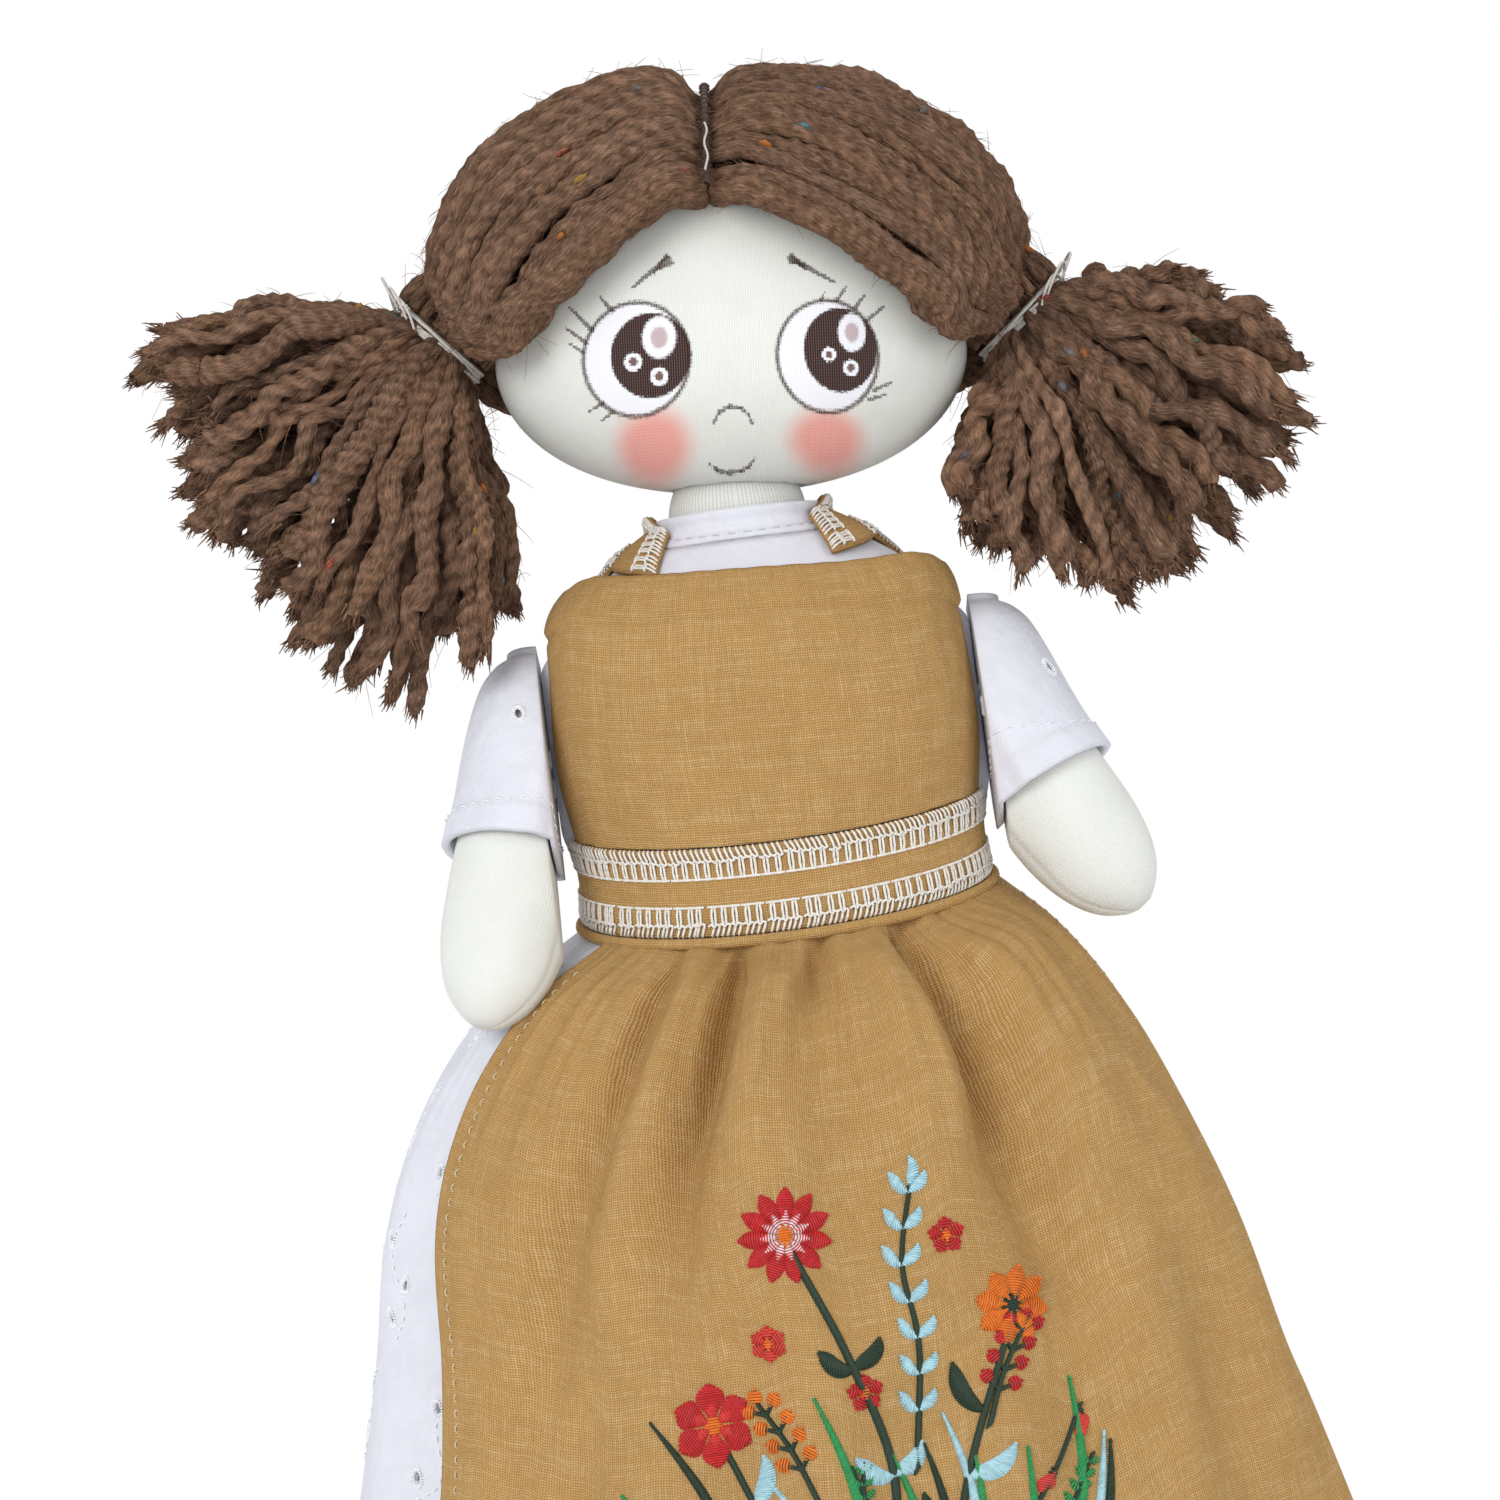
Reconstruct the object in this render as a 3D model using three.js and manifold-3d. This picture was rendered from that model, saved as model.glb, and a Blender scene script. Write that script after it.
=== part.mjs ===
// Stuffed rag doll in an eyelet dress and a linen apron, in millimetres, +Z up, facing -Y
import * as THREE from 'three';
import { mergeVertices } from 'three/addons/utils/BufferGeometryUtils.js';
import Module from 'manifold-3d';

const wasm = await Module();
wasm.setup();

// Clearances and cloth
const SEAM_GAP = 0.35;
const CLOTH = 1;
const LINEN = 1.2;
const SLOPE_STEP = 0.5;
const CUT_OVERRUN = 40;

// Torso and neck
const WAIST_HEIGHT = 251;
const TORSO_BASE_HEIGHT = 200;
const TORSO_TOP_HEIGHT = 313;
const TORSO_HALF_WIDTH = 36;
const TORSO_HALF_DEPTH = 27;
const NECK_RADIUS = 12.6;
const NECK_BALL_RISE = 4.5;
const NECK_BALL_HEIGHT = TORSO_TOP_HEIGHT + NECK_BALL_RISE;
const COLLAR_EASE = 1;
const COLLAR_FOOT = 3.5;
const COLLAR_RISE = 5.5;
const COLLAR_TOP_HEIGHT = TORSO_TOP_HEIGHT + COLLAR_RISE;
const COLLAR_CLOTH = 1.2;

// Head, in its own frame with the centre of the neck ball as origin
const HEAD_TILT_DEGREES = 5;
const HEAD_HALF_WIDTH = 43;
const HEAD_HALF_DEPTH = 35;
const HEAD_WIDEST_RISE = 30.5;
const HEAD_LOWER_HEIGHT = 26;
const HEAD_UPPER_HEIGHT = 43;
const ROUNDNESS_SHARE = 2.2;
const SOCKET_CLEARANCE = 0.4;

// Wig
const WIG_HALF_WIDTH = 55.7;
const WIG_HALF_DEPTH = 46;
const WIG_WIDEST_RISE = 41;
const WIG_UPPER_HEIGHT = 41.5;
const WIG_LOWER_HEIGHT = 32;
const WIG_EDGE_RISE = 25;
const WIG_NAPE_RISE = 12;
const FACE_OPENING_BACK = 3;
const HAIRLINE_HALF_WIDTH = 42.3;
const HAIRLINE_TOP_RISE = 56.5;
const HAIRLINE_SIDE_RISE = 29;
const PARTING_GAP = 1.8;
const PARTING_DIP = 3.2;
const PARTING_DIP_WIDTH = 7;
const PARTING_THREAD_RADIUS = 0.55;
const PARTING_THREAD_SINK_SHARE = 2.4;
const PARTING_START_DEGREES = -62;
const PARTING_END_DEGREES = 106;

// Pigtails
const PIGTAIL_ROOT_OUT = 54;
const PIGTAIL_ROOT_RISE = 33;
const PIGTAIL_DROP_DEGREES = 52;
const PIGTAIL_ROOT_RADIUS = 10.5;
const PIGTAIL_SEAT_CLEARANCE = 0.6;
const PIGTAIL_THROAT_RADIUS = 9.5;
const PIGTAIL_THROAT_START = 5;
const PIGTAIL_THROAT_END = 8.2;
const ROOT_START_DEGREES = -80;
const ROOT_END_DEGREES = 25;
const LEFT_PIGTAIL = { length: 61, spread: 46 };
const RIGHT_PIGTAIL = { length: 58, spread: 42 };
const PIGTAIL_HALF_DEPTH = 21;
const TIE_THREAD_RADIUS = 1;
const PIGTAIL_REST_GAP = 1.6;

// Arms and sleeves, offsets per side are to the outside and to the front
const SHOULDER_OUT = 40;
const SHOULDER_BACK = 2;
const SHOULDER_DROP = 17;
const SHOULDER_HEIGHT = TORSO_TOP_HEIGHT - SHOULDER_DROP;
const ARM_HALF_WIDTH = 11.6;
const ARM_HALF_DEPTH = 10;
const ARM_SEAT_RADIUS = 5;
const ARM_SEAT_DROP = 7;
const ARM_SIDE_CLEARANCE = 0.3;
const LEFT_ARM = { drop: 63, lean: 8, bend: 8, forward: 27 };
const RIGHT_ARM = { drop: 57, lean: 2, bend: 21, forward: 15 };
const SLEEVE_DROP = 34;
const SLEEVE_FLARE = 0.7;

// Apron
const BAND_HEIGHT = 16;
const BAND_RISE = 11;
const BAND_CLOTH = 1.6;
const BIB_TOP_DROP = 5;
const BIB_TOP_RISE = TORSO_TOP_HEIGHT - BIB_TOP_DROP - WAIST_HEIGHT;
const BIB_CORNER_DROP = 7;
const STRAP_CLOTH = 1;
const APRON_HEM_HEIGHT = 101;

// Dress skirt
const WAIST_SEAM_DROP = 4;
const DRESS_HEM_HEIGHT = 86;
const SKIRT_HALF_WIDTH = 100;
const SKIRT_HALF_DEPTH = 72;
const SKIRT_SWAY = 8;
const FOLD_DEPTH = 4.6;
const SKIRT_LAYER_GAP = 0.5;

// Bow at the back
const BOW_KNOT_HALF_WIDTH = 9;
const BOW_KNOT_HALF_HEIGHT = 9.5;
const BOW_KNOT_HALF_DEPTH = 4.5;
const BOW_LOOP_LENGTH = 52;
const BOW_LOOP_HALF_DEPTH = 6.5;
const BOW_RIBBON_WIDTH = 18;
const BOW_LOOP_RISE_DEGREES = 24;
const BOW_TAIL_DROP = 98;

// Legs and shoes
const HIP_CLEARANCE = 0.7;
const LEG_OUT = 17;
const LEG_HIP_RADIUS = 13.3;
const HIP_HEIGHT = TORSO_BASE_HEIGHT - HIP_CLEARANCE - LEG_HIP_RADIUS;
const LEG_ANKLE_RADIUS = 8.2;
const LEG_END_HEIGHT = 12;
const LEG_DOME_DEGREES = 82;
const SHOE_LENGTH = 52;
const SHOE_HALF_WIDTH = 13;
const SHOE_HEIGHT = 21;
const SHOE_HEEL_BACK = 19;
const SOLE_THICKNESS = 3.5;
const SOLE_MARGIN = 0.9;
const STRAP_HEIGHT = 5;
const STRAP_THICKNESS = 1.2;

const FULL_TURN = Math.PI * 2;
const QUARTER_TURN = Math.PI / 2;
const RING_POINTS = 32;
const LIMB_POINTS = 16;
const PIGTAIL_POINTS = 20;

const KNIT = { color: '#ece6d8', roughness: 0.9 };
const YARN = { color: '#6b4a37', roughness: 0.95 };
const COTTON = { color: '#f1f1f3', roughness: 0.88 };
const FLAX = { color: '#b88a43', roughness: 0.92 };
const THREAD = { color: '#dcd5cc', roughness: 0.6 };
const SHOE_FELT = { color: '#7a5238', roughness: 0.9 };
const SOLE_LEATHER = { color: '#4c3425', roughness: 0.8 };

// Closed solid from points and triangles, with its faces turned outwards
function solidFrom(points, triangles) {
  const positions = new Float32Array(points.flatMap((point) => [point.x, point.y, point.z]));
  const cross = new THREE.Vector3();
  const volume = triangles.reduce((sum, [a, b, c]) =>
    sum + cross.crossVectors(points[a], points[b]).dot(points[c]), 0);
  const facing = volume < 0 ? triangles.map(([a, b, c]) => [a, c, b]) : triangles;
  const geometry = new THREE.BufferGeometry();
  geometry.setAttribute('position', new THREE.BufferAttribute(positions, 3));
  geometry.setIndex(facing.flat());
  return geometry;
}

// Solid through closed rings of points, with a flat cap at each end
function loftSolid(rings) {
  const count = rings[0].length;
  const points = rings.flat();
  const triangles = [];
  for (let ring = 0; ring < rings.length - 1; ring += 1) {
    for (let index = 0; index < count; index += 1) {
      const next = (index + 1) % count;
      const low = ring * count;
      const high = low + count;
      triangles.push([low + index, low + next, high + next], [low + index, high + next, high + index]);
    }
  }
  const capAt = (ring, turned) => {
    const centre = new THREE.Vector3();
    rings[ring].forEach((point) => centre.add(point));
    points.push(centre.divideScalar(count));
    const hub = points.length - 1;
    for (let index = 0; index < count; index += 1) {
      const here = ring * count + index;
      const next = ring * count + (index + 1) % count;
      triangles.push(turned ? [hub, next, here] : [hub, here, next]);
    }
  };
  capAt(0, true);
  capAt(rings.length - 1, false);
  return solidFrom(points, triangles);
}

// Cloth of some thickness between an outer and an inner grid of points
function sheetSolid(outer, inner, wraps) {
  const rows = outer.length;
  const columns = outer[0].length;
  const points = [...outer.flat(), ...inner.flat()];
  const triangles = [];
  const at = (side, row, column) => side * rows * columns + row * columns + (column % columns);
  const quad = (a, b, c, d) => triangles.push([a, b, c], [a, c, d]);
  const spans = wraps ? columns : columns - 1;
  for (let column = 0; column < spans; column += 1) {
    for (let row = 0; row < rows - 1; row += 1) {
      quad(at(0, row, column), at(0, row, column + 1), at(0, row + 1, column + 1), at(0, row + 1, column));
      quad(at(1, row, column), at(1, row + 1, column), at(1, row + 1, column + 1), at(1, row, column + 1));
    }
    const top = rows - 1;
    quad(at(0, 0, column), at(1, 0, column), at(1, 0, column + 1), at(0, 0, column + 1));
    quad(at(0, top, column), at(0, top, column + 1), at(1, top, column + 1), at(1, top, column));
  }
  for (let row = 0; row < rows - 1 && !wraps; row += 1) {
    const side = columns - 1;
    quad(at(0, row, 0), at(0, row + 1, 0), at(1, row + 1, 0), at(1, row, 0));
    quad(at(0, row, side), at(1, row, side), at(1, row + 1, side), at(0, row + 1, side));
  }
  return solidFrom(points, triangles);
}

// Conversions for cuts and joins
function toManifold(geometry) {
  const bare = new THREE.BufferGeometry();
  bare.setAttribute('position', geometry.getAttribute('position').clone());
  if (geometry.index) {
    bare.setIndex(geometry.index.clone());
  }
  const merged = mergeVertices(bare);
  return new wasm.Manifold(new wasm.Mesh({
    numProp: 3,
    vertProperties: new Float32Array(merged.getAttribute('position').array),
    triVerts: new Uint32Array(merged.index.array),
  }));
}

function fromManifold(manifold) {
  const mesh = manifold.getMesh();
  const geometry = new THREE.BufferGeometry();
  geometry.setAttribute('position', new THREE.BufferAttribute(new Float32Array(mesh.vertProperties), 3));
  geometry.setIndex(new THREE.BufferAttribute(new Uint32Array(mesh.triVerts), 1));
  return geometry;
}

function cutBy(geometry, cutters) {
  const cut = (rest, cutter) => rest.subtract(toManifold(cutter));
  return fromManifold(cutters.reduce(cut, toManifold(geometry)));
}

// Smooth value of a table's column at a key, through all the table's rows
function tableValue(rows, key, column) {
  const last = rows.length - 1;
  const held = Math.min(Math.max(key, rows[0][0]), rows[last][0]);
  let row = 0;
  while (row < last - 1 && rows[row + 1][0] < held) {
    row += 1;
  }
  const slopeAt = (index) => {
    const before = rows[Math.max(index - 1, 0)];
    const after = rows[Math.min(index + 1, last)];
    return (after[column] - before[column]) / (after[0] - before[0]);
  };
  const span = rows[row + 1][0] - rows[row][0];
  const t = (held - rows[row][0]) / span;
  const ease = t * t * (3 - 2 * t);
  const leave = t * (1 - t) * (1 - t) * span * slopeAt(row);
  const arrive = t * t * (t - 1) * span * slopeAt(row + 1);
  return rows[row][column] * (1 - ease) + rows[row + 1][column] * ease + leave + arrive;
}

const radians = (degrees) => THREE.MathUtils.degToRad(degrees);
const stepsTo = (count) => Array.from({ length: count + 1 }, (_, index) => index / count);

// Torso rows of height, half width and half depth shares, from the seat to the neck
const TORSO_SHARES = [
  [0, 0.72, 0.67], [0.022, 0.86, 0.83], [0.07, 0.97, 0.94], [0.19, 1.03, 1], [0.36, 0.96, 0.945],
  [0.5, 0.93, 0.925], [0.66, 1, 1], [0.79, 0.985, 1], [0.88, 0.9, 0.925], [0.93, 0.79, 0.815],
  [0.973, 0.61, 0.667], [1, 0.47, 0.56],
];

// Half width and half depth of the torso at a height, and of the neck foot above it
function torsoHalves(height) {
  const share = (height - TORSO_BASE_HEIGHT) / (TORSO_TOP_HEIGHT - TORSO_BASE_HEIGHT);
  const width = TORSO_HALF_WIDTH * tableValue(TORSO_SHARES, share, 1);
  const depth = TORSO_HALF_DEPTH * tableValue(TORSO_SHARES, share, 2);
  const above = height - TORSO_TOP_HEIGHT;
  if (above <= 0) {
    return [width, depth];
  }
  const fall = Math.max(1 - above / COLLAR_FOOT, 0) ** 2;
  const neck = NECK_RADIUS + COLLAR_EASE;
  return [neck + (width - neck) * fall, neck + (depth - neck) * fall];
}

// Point on the torso at an angle from the front and a height, pushed out along the surface normal
function torsoPoint(angle, height, offset) {
  const [width, depth] = torsoHalves(height);
  const higher = torsoHalves(height + SLOPE_STEP);
  const lower = torsoHalves(height - SLOPE_STEP);
  const slope = (higher[0] + higher[1] - lower[0] - lower[1]) / (4 * SLOPE_STEP);
  const out = offset / Math.hypot(1, slope);
  return new THREE.Vector3(
    (width + out) * Math.sin(angle),
    -(depth + out) * Math.cos(angle),
    height - out * slope,
  );
}

// Rise of the waistband's middle above its front, at an angle from the front
const bandRise = (angle) => BAND_RISE * Math.sin(angle / 2) ** 2;
const bandTop = (angle) => WAIST_HEIGHT + bandRise(angle) + BAND_HEIGHT / 2;
const bandBottom = (angle) => WAIST_HEIGHT + bandRise(angle) - BAND_HEIGHT / 2;
const waistSeam = (angle) => WAIST_HEIGHT + bandRise(angle) - WAIST_SEAM_DROP;

// Cloth on the torso, with a row of points at each of the heights that it is given for an angle
function torsoCloth({ angles, heights, offset, thickness, wraps }) {
  const rows = heights(0).length;
  const gridAt = (distance) => Array.from({ length: rows }, (_, row) => angles.map((angle) =>
    torsoPoint(angle, heights(angle)[row], distance)));
  return sheetSolid(gridAt(offset + thickness), gridAt(offset), wraps);
}

const torsoHeight = (share) => TORSO_BASE_HEIGHT + (TORSO_TOP_HEIGHT - TORSO_BASE_HEIGHT) * share;

// Heights of the torso's own rings between two heights, and those two heights
function ringHeights(lower, upper) {
  const inside = TORSO_RING_SHARES.map(torsoHeight).filter((height) => height > lower && height < upper);
  return [lower, ...inside, upper];
}

const around = (count) => Array.from({ length: count }, (_, index) => FULL_TURN * index / count);
const between = (from, to, count) => stepsTo(count).map((share) => from + (to - from) * share);

const TORSO_MIDRIFF_SHARE = 0.57;
const TORSO_RING_SHARES = [...TORSO_SHARES.map((row) => row[0]), 0.12, 0.27, TORSO_MIDRIFF_SHARE, 0.84, 0.955]
  .sort((a, b) => a - b);
const DRESS_OFFSET = SEAM_GAP;
const COVER_OFFSET = DRESS_OFFSET + COLLAR_CLOTH + SEAM_GAP;

function torso() {
  return loftSolid(TORSO_RING_SHARES.map(torsoHeight).map((height) => around(RING_POINTS).map((angle) => {
    const [width, depth] = torsoHalves(height);
    return new THREE.Vector3(width * Math.sin(angle), -depth * Math.cos(angle), height);
  })));
}

function dressBodice() {
  const rings = ringHeights(torsoHeight(TORSO_MIDRIFF_SHARE), TORSO_TOP_HEIGHT - SEAM_GAP - CLOTH);
  return torsoCloth({
    angles: around(RING_POINTS), heights: (angle) => [waistSeam(angle), ...rings],
    offset: DRESS_OFFSET, thickness: CLOTH, wraps: true,
  });
}

// Standing collar from the bodice's top edge up round the neck
function dressNeckband() {
  const foot = TORSO_TOP_HEIGHT + SEAM_GAP - CLOTH / 2;
  return torsoCloth({
    angles: around(RING_POINTS), heights: () => between(foot, COLLAR_TOP_HEIGHT, 4),
    offset: DRESS_OFFSET, thickness: COLLAR_CLOTH, wraps: true,
  });
}

const BIB_HALF_ANGLE = radians(77);
const BIB_CORNER_SHARE = 0.72;
const BIB_CHEST_SHARE = 0.86;

// Bib from the waistband to a top edge that drops at its corners
function apronBib() {
  const topAt = (angle) => {
    const past = Math.max(Math.abs(angle) / BIB_HALF_ANGLE - BIB_CORNER_SHARE, 0) / (1 - BIB_CORNER_SHARE);
    return WAIST_HEIGHT + BIB_TOP_RISE - BIB_CORNER_DROP * past * past;
  };
  const chest = torsoHeight(BIB_CHEST_SHARE);
  const rings = ringHeights(torsoHeight(TORSO_MIDRIFF_SHARE), chest);
  return torsoCloth({
    angles: between(-BIB_HALF_ANGLE, BIB_HALF_ANGLE, 18),
    heights: (angle) => [bandTop(angle) + SEAM_GAP, ...rings, ...between(chest, topAt(angle), 3).slice(1)],
    offset: COVER_OFFSET, thickness: LINEN, wraps: false,
  });
}

function apronWaistband() {
  return torsoCloth({
    angles: around(RING_POINTS), heights: (angle) => between(bandBottom(angle), bandTop(angle), 2),
    offset: COVER_OFFSET, thickness: BAND_CLOTH, wraps: true,
  });
}

// Strap edges from the bib over the shoulder to the waistband, as angle in degrees and rise over the
// waist as a share of the bib's height
const STRAP_INNER_SHARES = [[33, 1.02], [42, 1.09], [60, 1.15], [90, 1.17], [120, 1.15], [140, 1.08],
  [150, 0.88], [156, 0.55]];
const STRAP_OUTER_SHARES = [[76, 1.02], [80, 1.022], [84, 1.03], [90, 1.035], [98, 1.01], [108, 0.94],
  [120, 0.78], [128, 0.5]];
const STRAP_ROWS = 15;
const STRAP_COLUMNS = 4;

function apronStrap(side) {
  const last = STRAP_INNER_SHARES.length;
  const keyed = (edge) => edge.map(([angle, share], index) => [index, angle, share]);
  const footAngle = (edge) => edge[last - 1][0];
  const edgeAt = (edge, share) => {
    const foot = footAngle(edge);
    const footShare = (bandTop(radians(foot)) + SEAM_GAP - WAIST_HEIGHT) / BIB_TOP_RISE;
    const rows = keyed([...edge, [foot, footShare]]);
    return [tableValue(rows, share * last, 1), tableValue(rows, share * last, 2)];
  };
  const gridAt = (offset) => stepsTo(STRAP_ROWS).map((along) => {
    const inner = edgeAt(STRAP_INNER_SHARES, along);
    const outer = edgeAt(STRAP_OUTER_SHARES, along);
    return stepsTo(STRAP_COLUMNS).map((across) => {
      const angle = radians(inner[0] + (outer[0] - inner[0]) * across);
      const rise = BIB_TOP_RISE * (inner[1] + (outer[1] - inner[1]) * across);
      return torsoPoint(side * angle, WAIST_HEIGHT + rise, offset);
    });
  });
  const lift = COVER_OFFSET + SEAM_GAP / 2;
  return sheetSolid(gridAt(lift + STRAP_CLOTH), gridAt(lift), false);
}

// Skirts share one fan of columns, closer together at the front, so that their facets run parallel
const SKIRT_COLUMNS = 60;
const FRONT_CROWD_SHARE = 0.35;
const SKIRT_FOLDS = 12;
const FOLD_SHARES = [1, 0.75, 1.1, 0.7, 0.95, 0.65, 0.8, 0.6, 0.85, 0.7, 0.9, 0.8];

// Drop below the waist and swell of the dress skirt, as shares of its length and hem
const SKIRT_SHARES = [
  [0.05, 0.36, 0.371, 0, 0.08], [0.11, 0.51, 0.44, 0.5, 0.25], [0.2, 0.64, 0.525, 0.79, 0.45],
  [0.31, 0.73, 0.61, 0.94, 0.65], [0.46, 0.8, 0.72, 0.78, 0.82], [0.68, 0.9, 0.855, 0.75, 0.95],
  [0.91, 0.975, 0.965, 0.5, 1], [1, 1, 1, 0.44, 1],
];
const APRON_FIRST_COLUMN = -13;
const APRON_LAST_COLUMN = 19;
const SKIRT_LENGTH = WAIST_HEIGHT - DRESS_HEM_HEIGHT;
const APRON_HEM_SHARE = (WAIST_HEIGHT - APRON_HEM_HEIGHT) / SKIRT_LENGTH;

function columnAngle(column) {
  const even = FULL_TURN * column / SKIRT_COLUMNS;
  return even - FRONT_CROWD_SHARE * Math.sin(even);
}

// Point on the dress skirt's outside, pushed outwards by an offset
function skirtPoint(column, share, offset) {
  const angle = columnAngle(column);
  const phase = SKIRT_FOLDS * column / SKIRT_COLUMNS;
  const fold = FOLD_SHARES[((Math.round(phase) % SKIRT_FOLDS) + SKIRT_FOLDS) % SKIRT_FOLDS];
  const depth = FOLD_DEPTH * fold * tableValue(SKIRT_SHARES, share, 4);
  const wave = depth * (Math.cos(FULL_TURN * phase) - 1) / 2;
  const width = SKIRT_HALF_WIDTH * tableValue(SKIRT_SHARES, share, 1) + offset + wave;
  const back = SKIRT_HALF_DEPTH * tableValue(SKIRT_SHARES, share, 2) + offset + wave;
  const sway = -SKIRT_SWAY * tableValue(SKIRT_SHARES, share, 3);
  const level = 1 - Math.min(share / SKIRT_SHARES[3][0], 1);
  return new THREE.Vector3(
    sway + width * Math.sin(angle),
    -back * Math.cos(angle),
    WAIST_HEIGHT - SKIRT_LENGTH * share + bandRise(angle) * level,
  );
}

const dressTopOffset = DRESS_OFFSET + CLOTH;

function dressSkirt() {
  const columns = Array.from({ length: SKIRT_COLUMNS }, (_, index) => index);
  const gridAt = (offset) => [
    columns.map((column) => {
      const angle = columnAngle(column);
      return torsoPoint(angle, waistSeam(angle) - SEAM_GAP, dressTopOffset + offset);
    }),
    columns.map((column) => {
      const angle = columnAngle(column);
      return torsoPoint(angle, bandBottom(angle) - SEAM_GAP, dressTopOffset + offset);
    }),
    ...SKIRT_SHARES.slice(1).map((row) => columns.map((column) => skirtPoint(column, row[0], offset))),
  ];
  return sheetSolid(gridAt(0), gridAt(-CLOTH), true);
}

function apronSkirt() {
  const columns = Array.from({ length: APRON_LAST_COLUMN - APRON_FIRST_COLUMN + 1 },
    (_, index) => APRON_FIRST_COLUMN + index);
  const shares = SKIRT_SHARES.slice(1).map((row) => row[0]).filter((share) => share < APRON_HEM_SHARE);
  shares.push(APRON_HEM_SHARE);
  const gridAt = (offset) => [
    columns.map((column) => {
      const angle = columnAngle(column);
      return torsoPoint(angle, bandBottom(angle) - SEAM_GAP, COVER_OFFSET + offset);
    }),
    ...shares.map((share) => columns.map((column) => skirtPoint(column, share, SKIRT_LAYER_GAP + offset))),
  ];
  return sheetSolid(gridAt(LINEN), gridAt(0), false);
}

// Bow tails over the back of the dress skirt, in the skirt's own columns
function bowTail(side) {
  const columns = side < 0 ? [31, 32, 33] : [27, 28, 29];
  const dropShare = BOW_TAIL_DROP / SKIRT_LENGTH;
  const shares = SKIRT_SHARES.slice(1).map((row) => row[0]).filter((share) => share < dropShare);
  shares.push(dropShare);
  const bandOut = COVER_OFFSET + BAND_CLOTH + SEAM_GAP;
  const gridAt = (offset) => [
    ...[0, 1].map((share) => columns.map((column) => {
      const angle = columnAngle(column);
      const start = WAIST_HEIGHT + BAND_RISE - BOW_KNOT_HALF_HEIGHT - SEAM_GAP;
      return torsoPoint(angle, start + (bandBottom(angle) - start) * share, bandOut + offset);
    })),
    ...shares.map((share) => columns.map((column) => skirtPoint(column, share, SKIRT_LAYER_GAP + offset))),
  ];
  return sheetSolid(gridAt(LINEN), gridAt(0), false);
}

function bandBackDepth() {
  return torsoHalves(WAIST_HEIGHT + BAND_RISE)[1] + COVER_OFFSET + BAND_CLOTH;
}

function bowKnot(offset) {
  const geometry = new THREE.SphereGeometry(1, 14, 10);
  geometry.scale(BOW_KNOT_HALF_WIDTH + offset, BOW_KNOT_HALF_DEPTH + offset, BOW_KNOT_HALF_HEIGHT + offset);
  return geometry;
}

const LOOP_SHARES = [[0, 0.25], [0.15, 0.55], [0.4, 0.92], [0.7, 1], [0.9, 0.68], [1, 0.2]];
const LOOP_STEPS = 9;

// One bow loop: a ribbon bent into a flat teardrop that is open from top to bottom, held in the knot
function bowLoop(side) {
  const outline = (inset) => {
    const length = BOW_LOOP_LENGTH - 2 * inset;
    const edge = (side) => stepsTo(LOOP_STEPS).map((share) => {
      const half = BOW_LOOP_HALF_DEPTH * tableValue(LOOP_SHARES, share, 1) - inset;
      return new THREE.Vector2(inset + length * share, side * Math.max(half, inset / 3));
    });
    return [...edge(-1), ...edge(1).reverse()];
  };
  const shape = new THREE.Shape(outline(0));
  shape.holes.push(new THREE.Path(outline(LINEN)));
  const ribbon = new THREE.ExtrudeGeometry(shape, { depth: BOW_RIBBON_WIDTH, bevelEnabled: false });
  ribbon.translate(0, 0, -BOW_RIBBON_WIDTH / 2);
  ribbon.rotateY(-radians(BOW_LOOP_RISE_DEGREES));
  ribbon.translate(BOW_KNOT_HALF_WIDTH / 2, BOW_KNOT_HALF_DEPTH / 2, 0);
  return turned(cutBy(ribbon, [bowKnot(SEAM_GAP)]), side);
}

// Superellipsoid rings for the head and the wig
function roundedSolid({ width, depth, middle, lower, upper, rings, dip }) {
  const power = ROUNDNESS_SHARE;
  const shares = stepsTo(rings).map((share) => -Math.cos(Math.PI * (0.02 + 0.96 * share)));
  return loftSolid(shares.map((share) => {
    const reach = (1 - Math.abs(share) ** power) ** (1 / power);
    const rise = middle + share * (share < 0 ? lower : upper);
    return around(RING_POINTS).map((angle) => {
      const x = width * reach * Math.sin(angle);
      const notch = Math.max(share, 0) * dip * Math.exp(-((x / PARTING_DIP_WIDTH) ** 2));
      const y = -(depth * reach - notch / 2) * Math.cos(angle);
      return new THREE.Vector3(x, y, rise - notch);
    });
  }));
}

function headForm(offset) {
  return roundedSolid({
    width: HEAD_HALF_WIDTH + offset, depth: HEAD_HALF_DEPTH + offset, middle: HEAD_WIDEST_RISE,
    lower: HEAD_LOWER_HEIGHT + offset, upper: HEAD_UPPER_HEIGHT + offset, rings: 15, dip: 0,
  });
}

function head() {
  const socket = new THREE.SphereGeometry(NECK_RADIUS + SOCKET_CLEARANCE, 20, 14);
  return cutBy(headForm(0), [socket]);
}

function neck() {
  const height = NECK_BALL_HEIGHT - TORSO_TOP_HEIGHT - SEAM_GAP;
  const dome = stepsTo(6).map((share) => new THREE.Vector2(
    NECK_RADIUS * Math.cos(QUARTER_TURN * share), NECK_RADIUS * Math.sin(QUARTER_TURN * share)));
  dome[dome.length - 1].x = 0;
  const profile = [new THREE.Vector2(0, -height), new THREE.Vector2(NECK_RADIUS, -height), ...dome];
  const geometry = new THREE.LatheGeometry(profile, 20);
  geometry.rotateX(QUARTER_TURN);
  return geometry;
}

// Hairline points as shares of its half width and of its rise from the sides to the top
const HAIRLINE_SHARES = [
  [0, 1], [0.19, 0.89], [0.355, 0.76], [0.575, 0.555], [0.745, 0.365], [0.9, 0.18], [1, 0],
];

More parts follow.
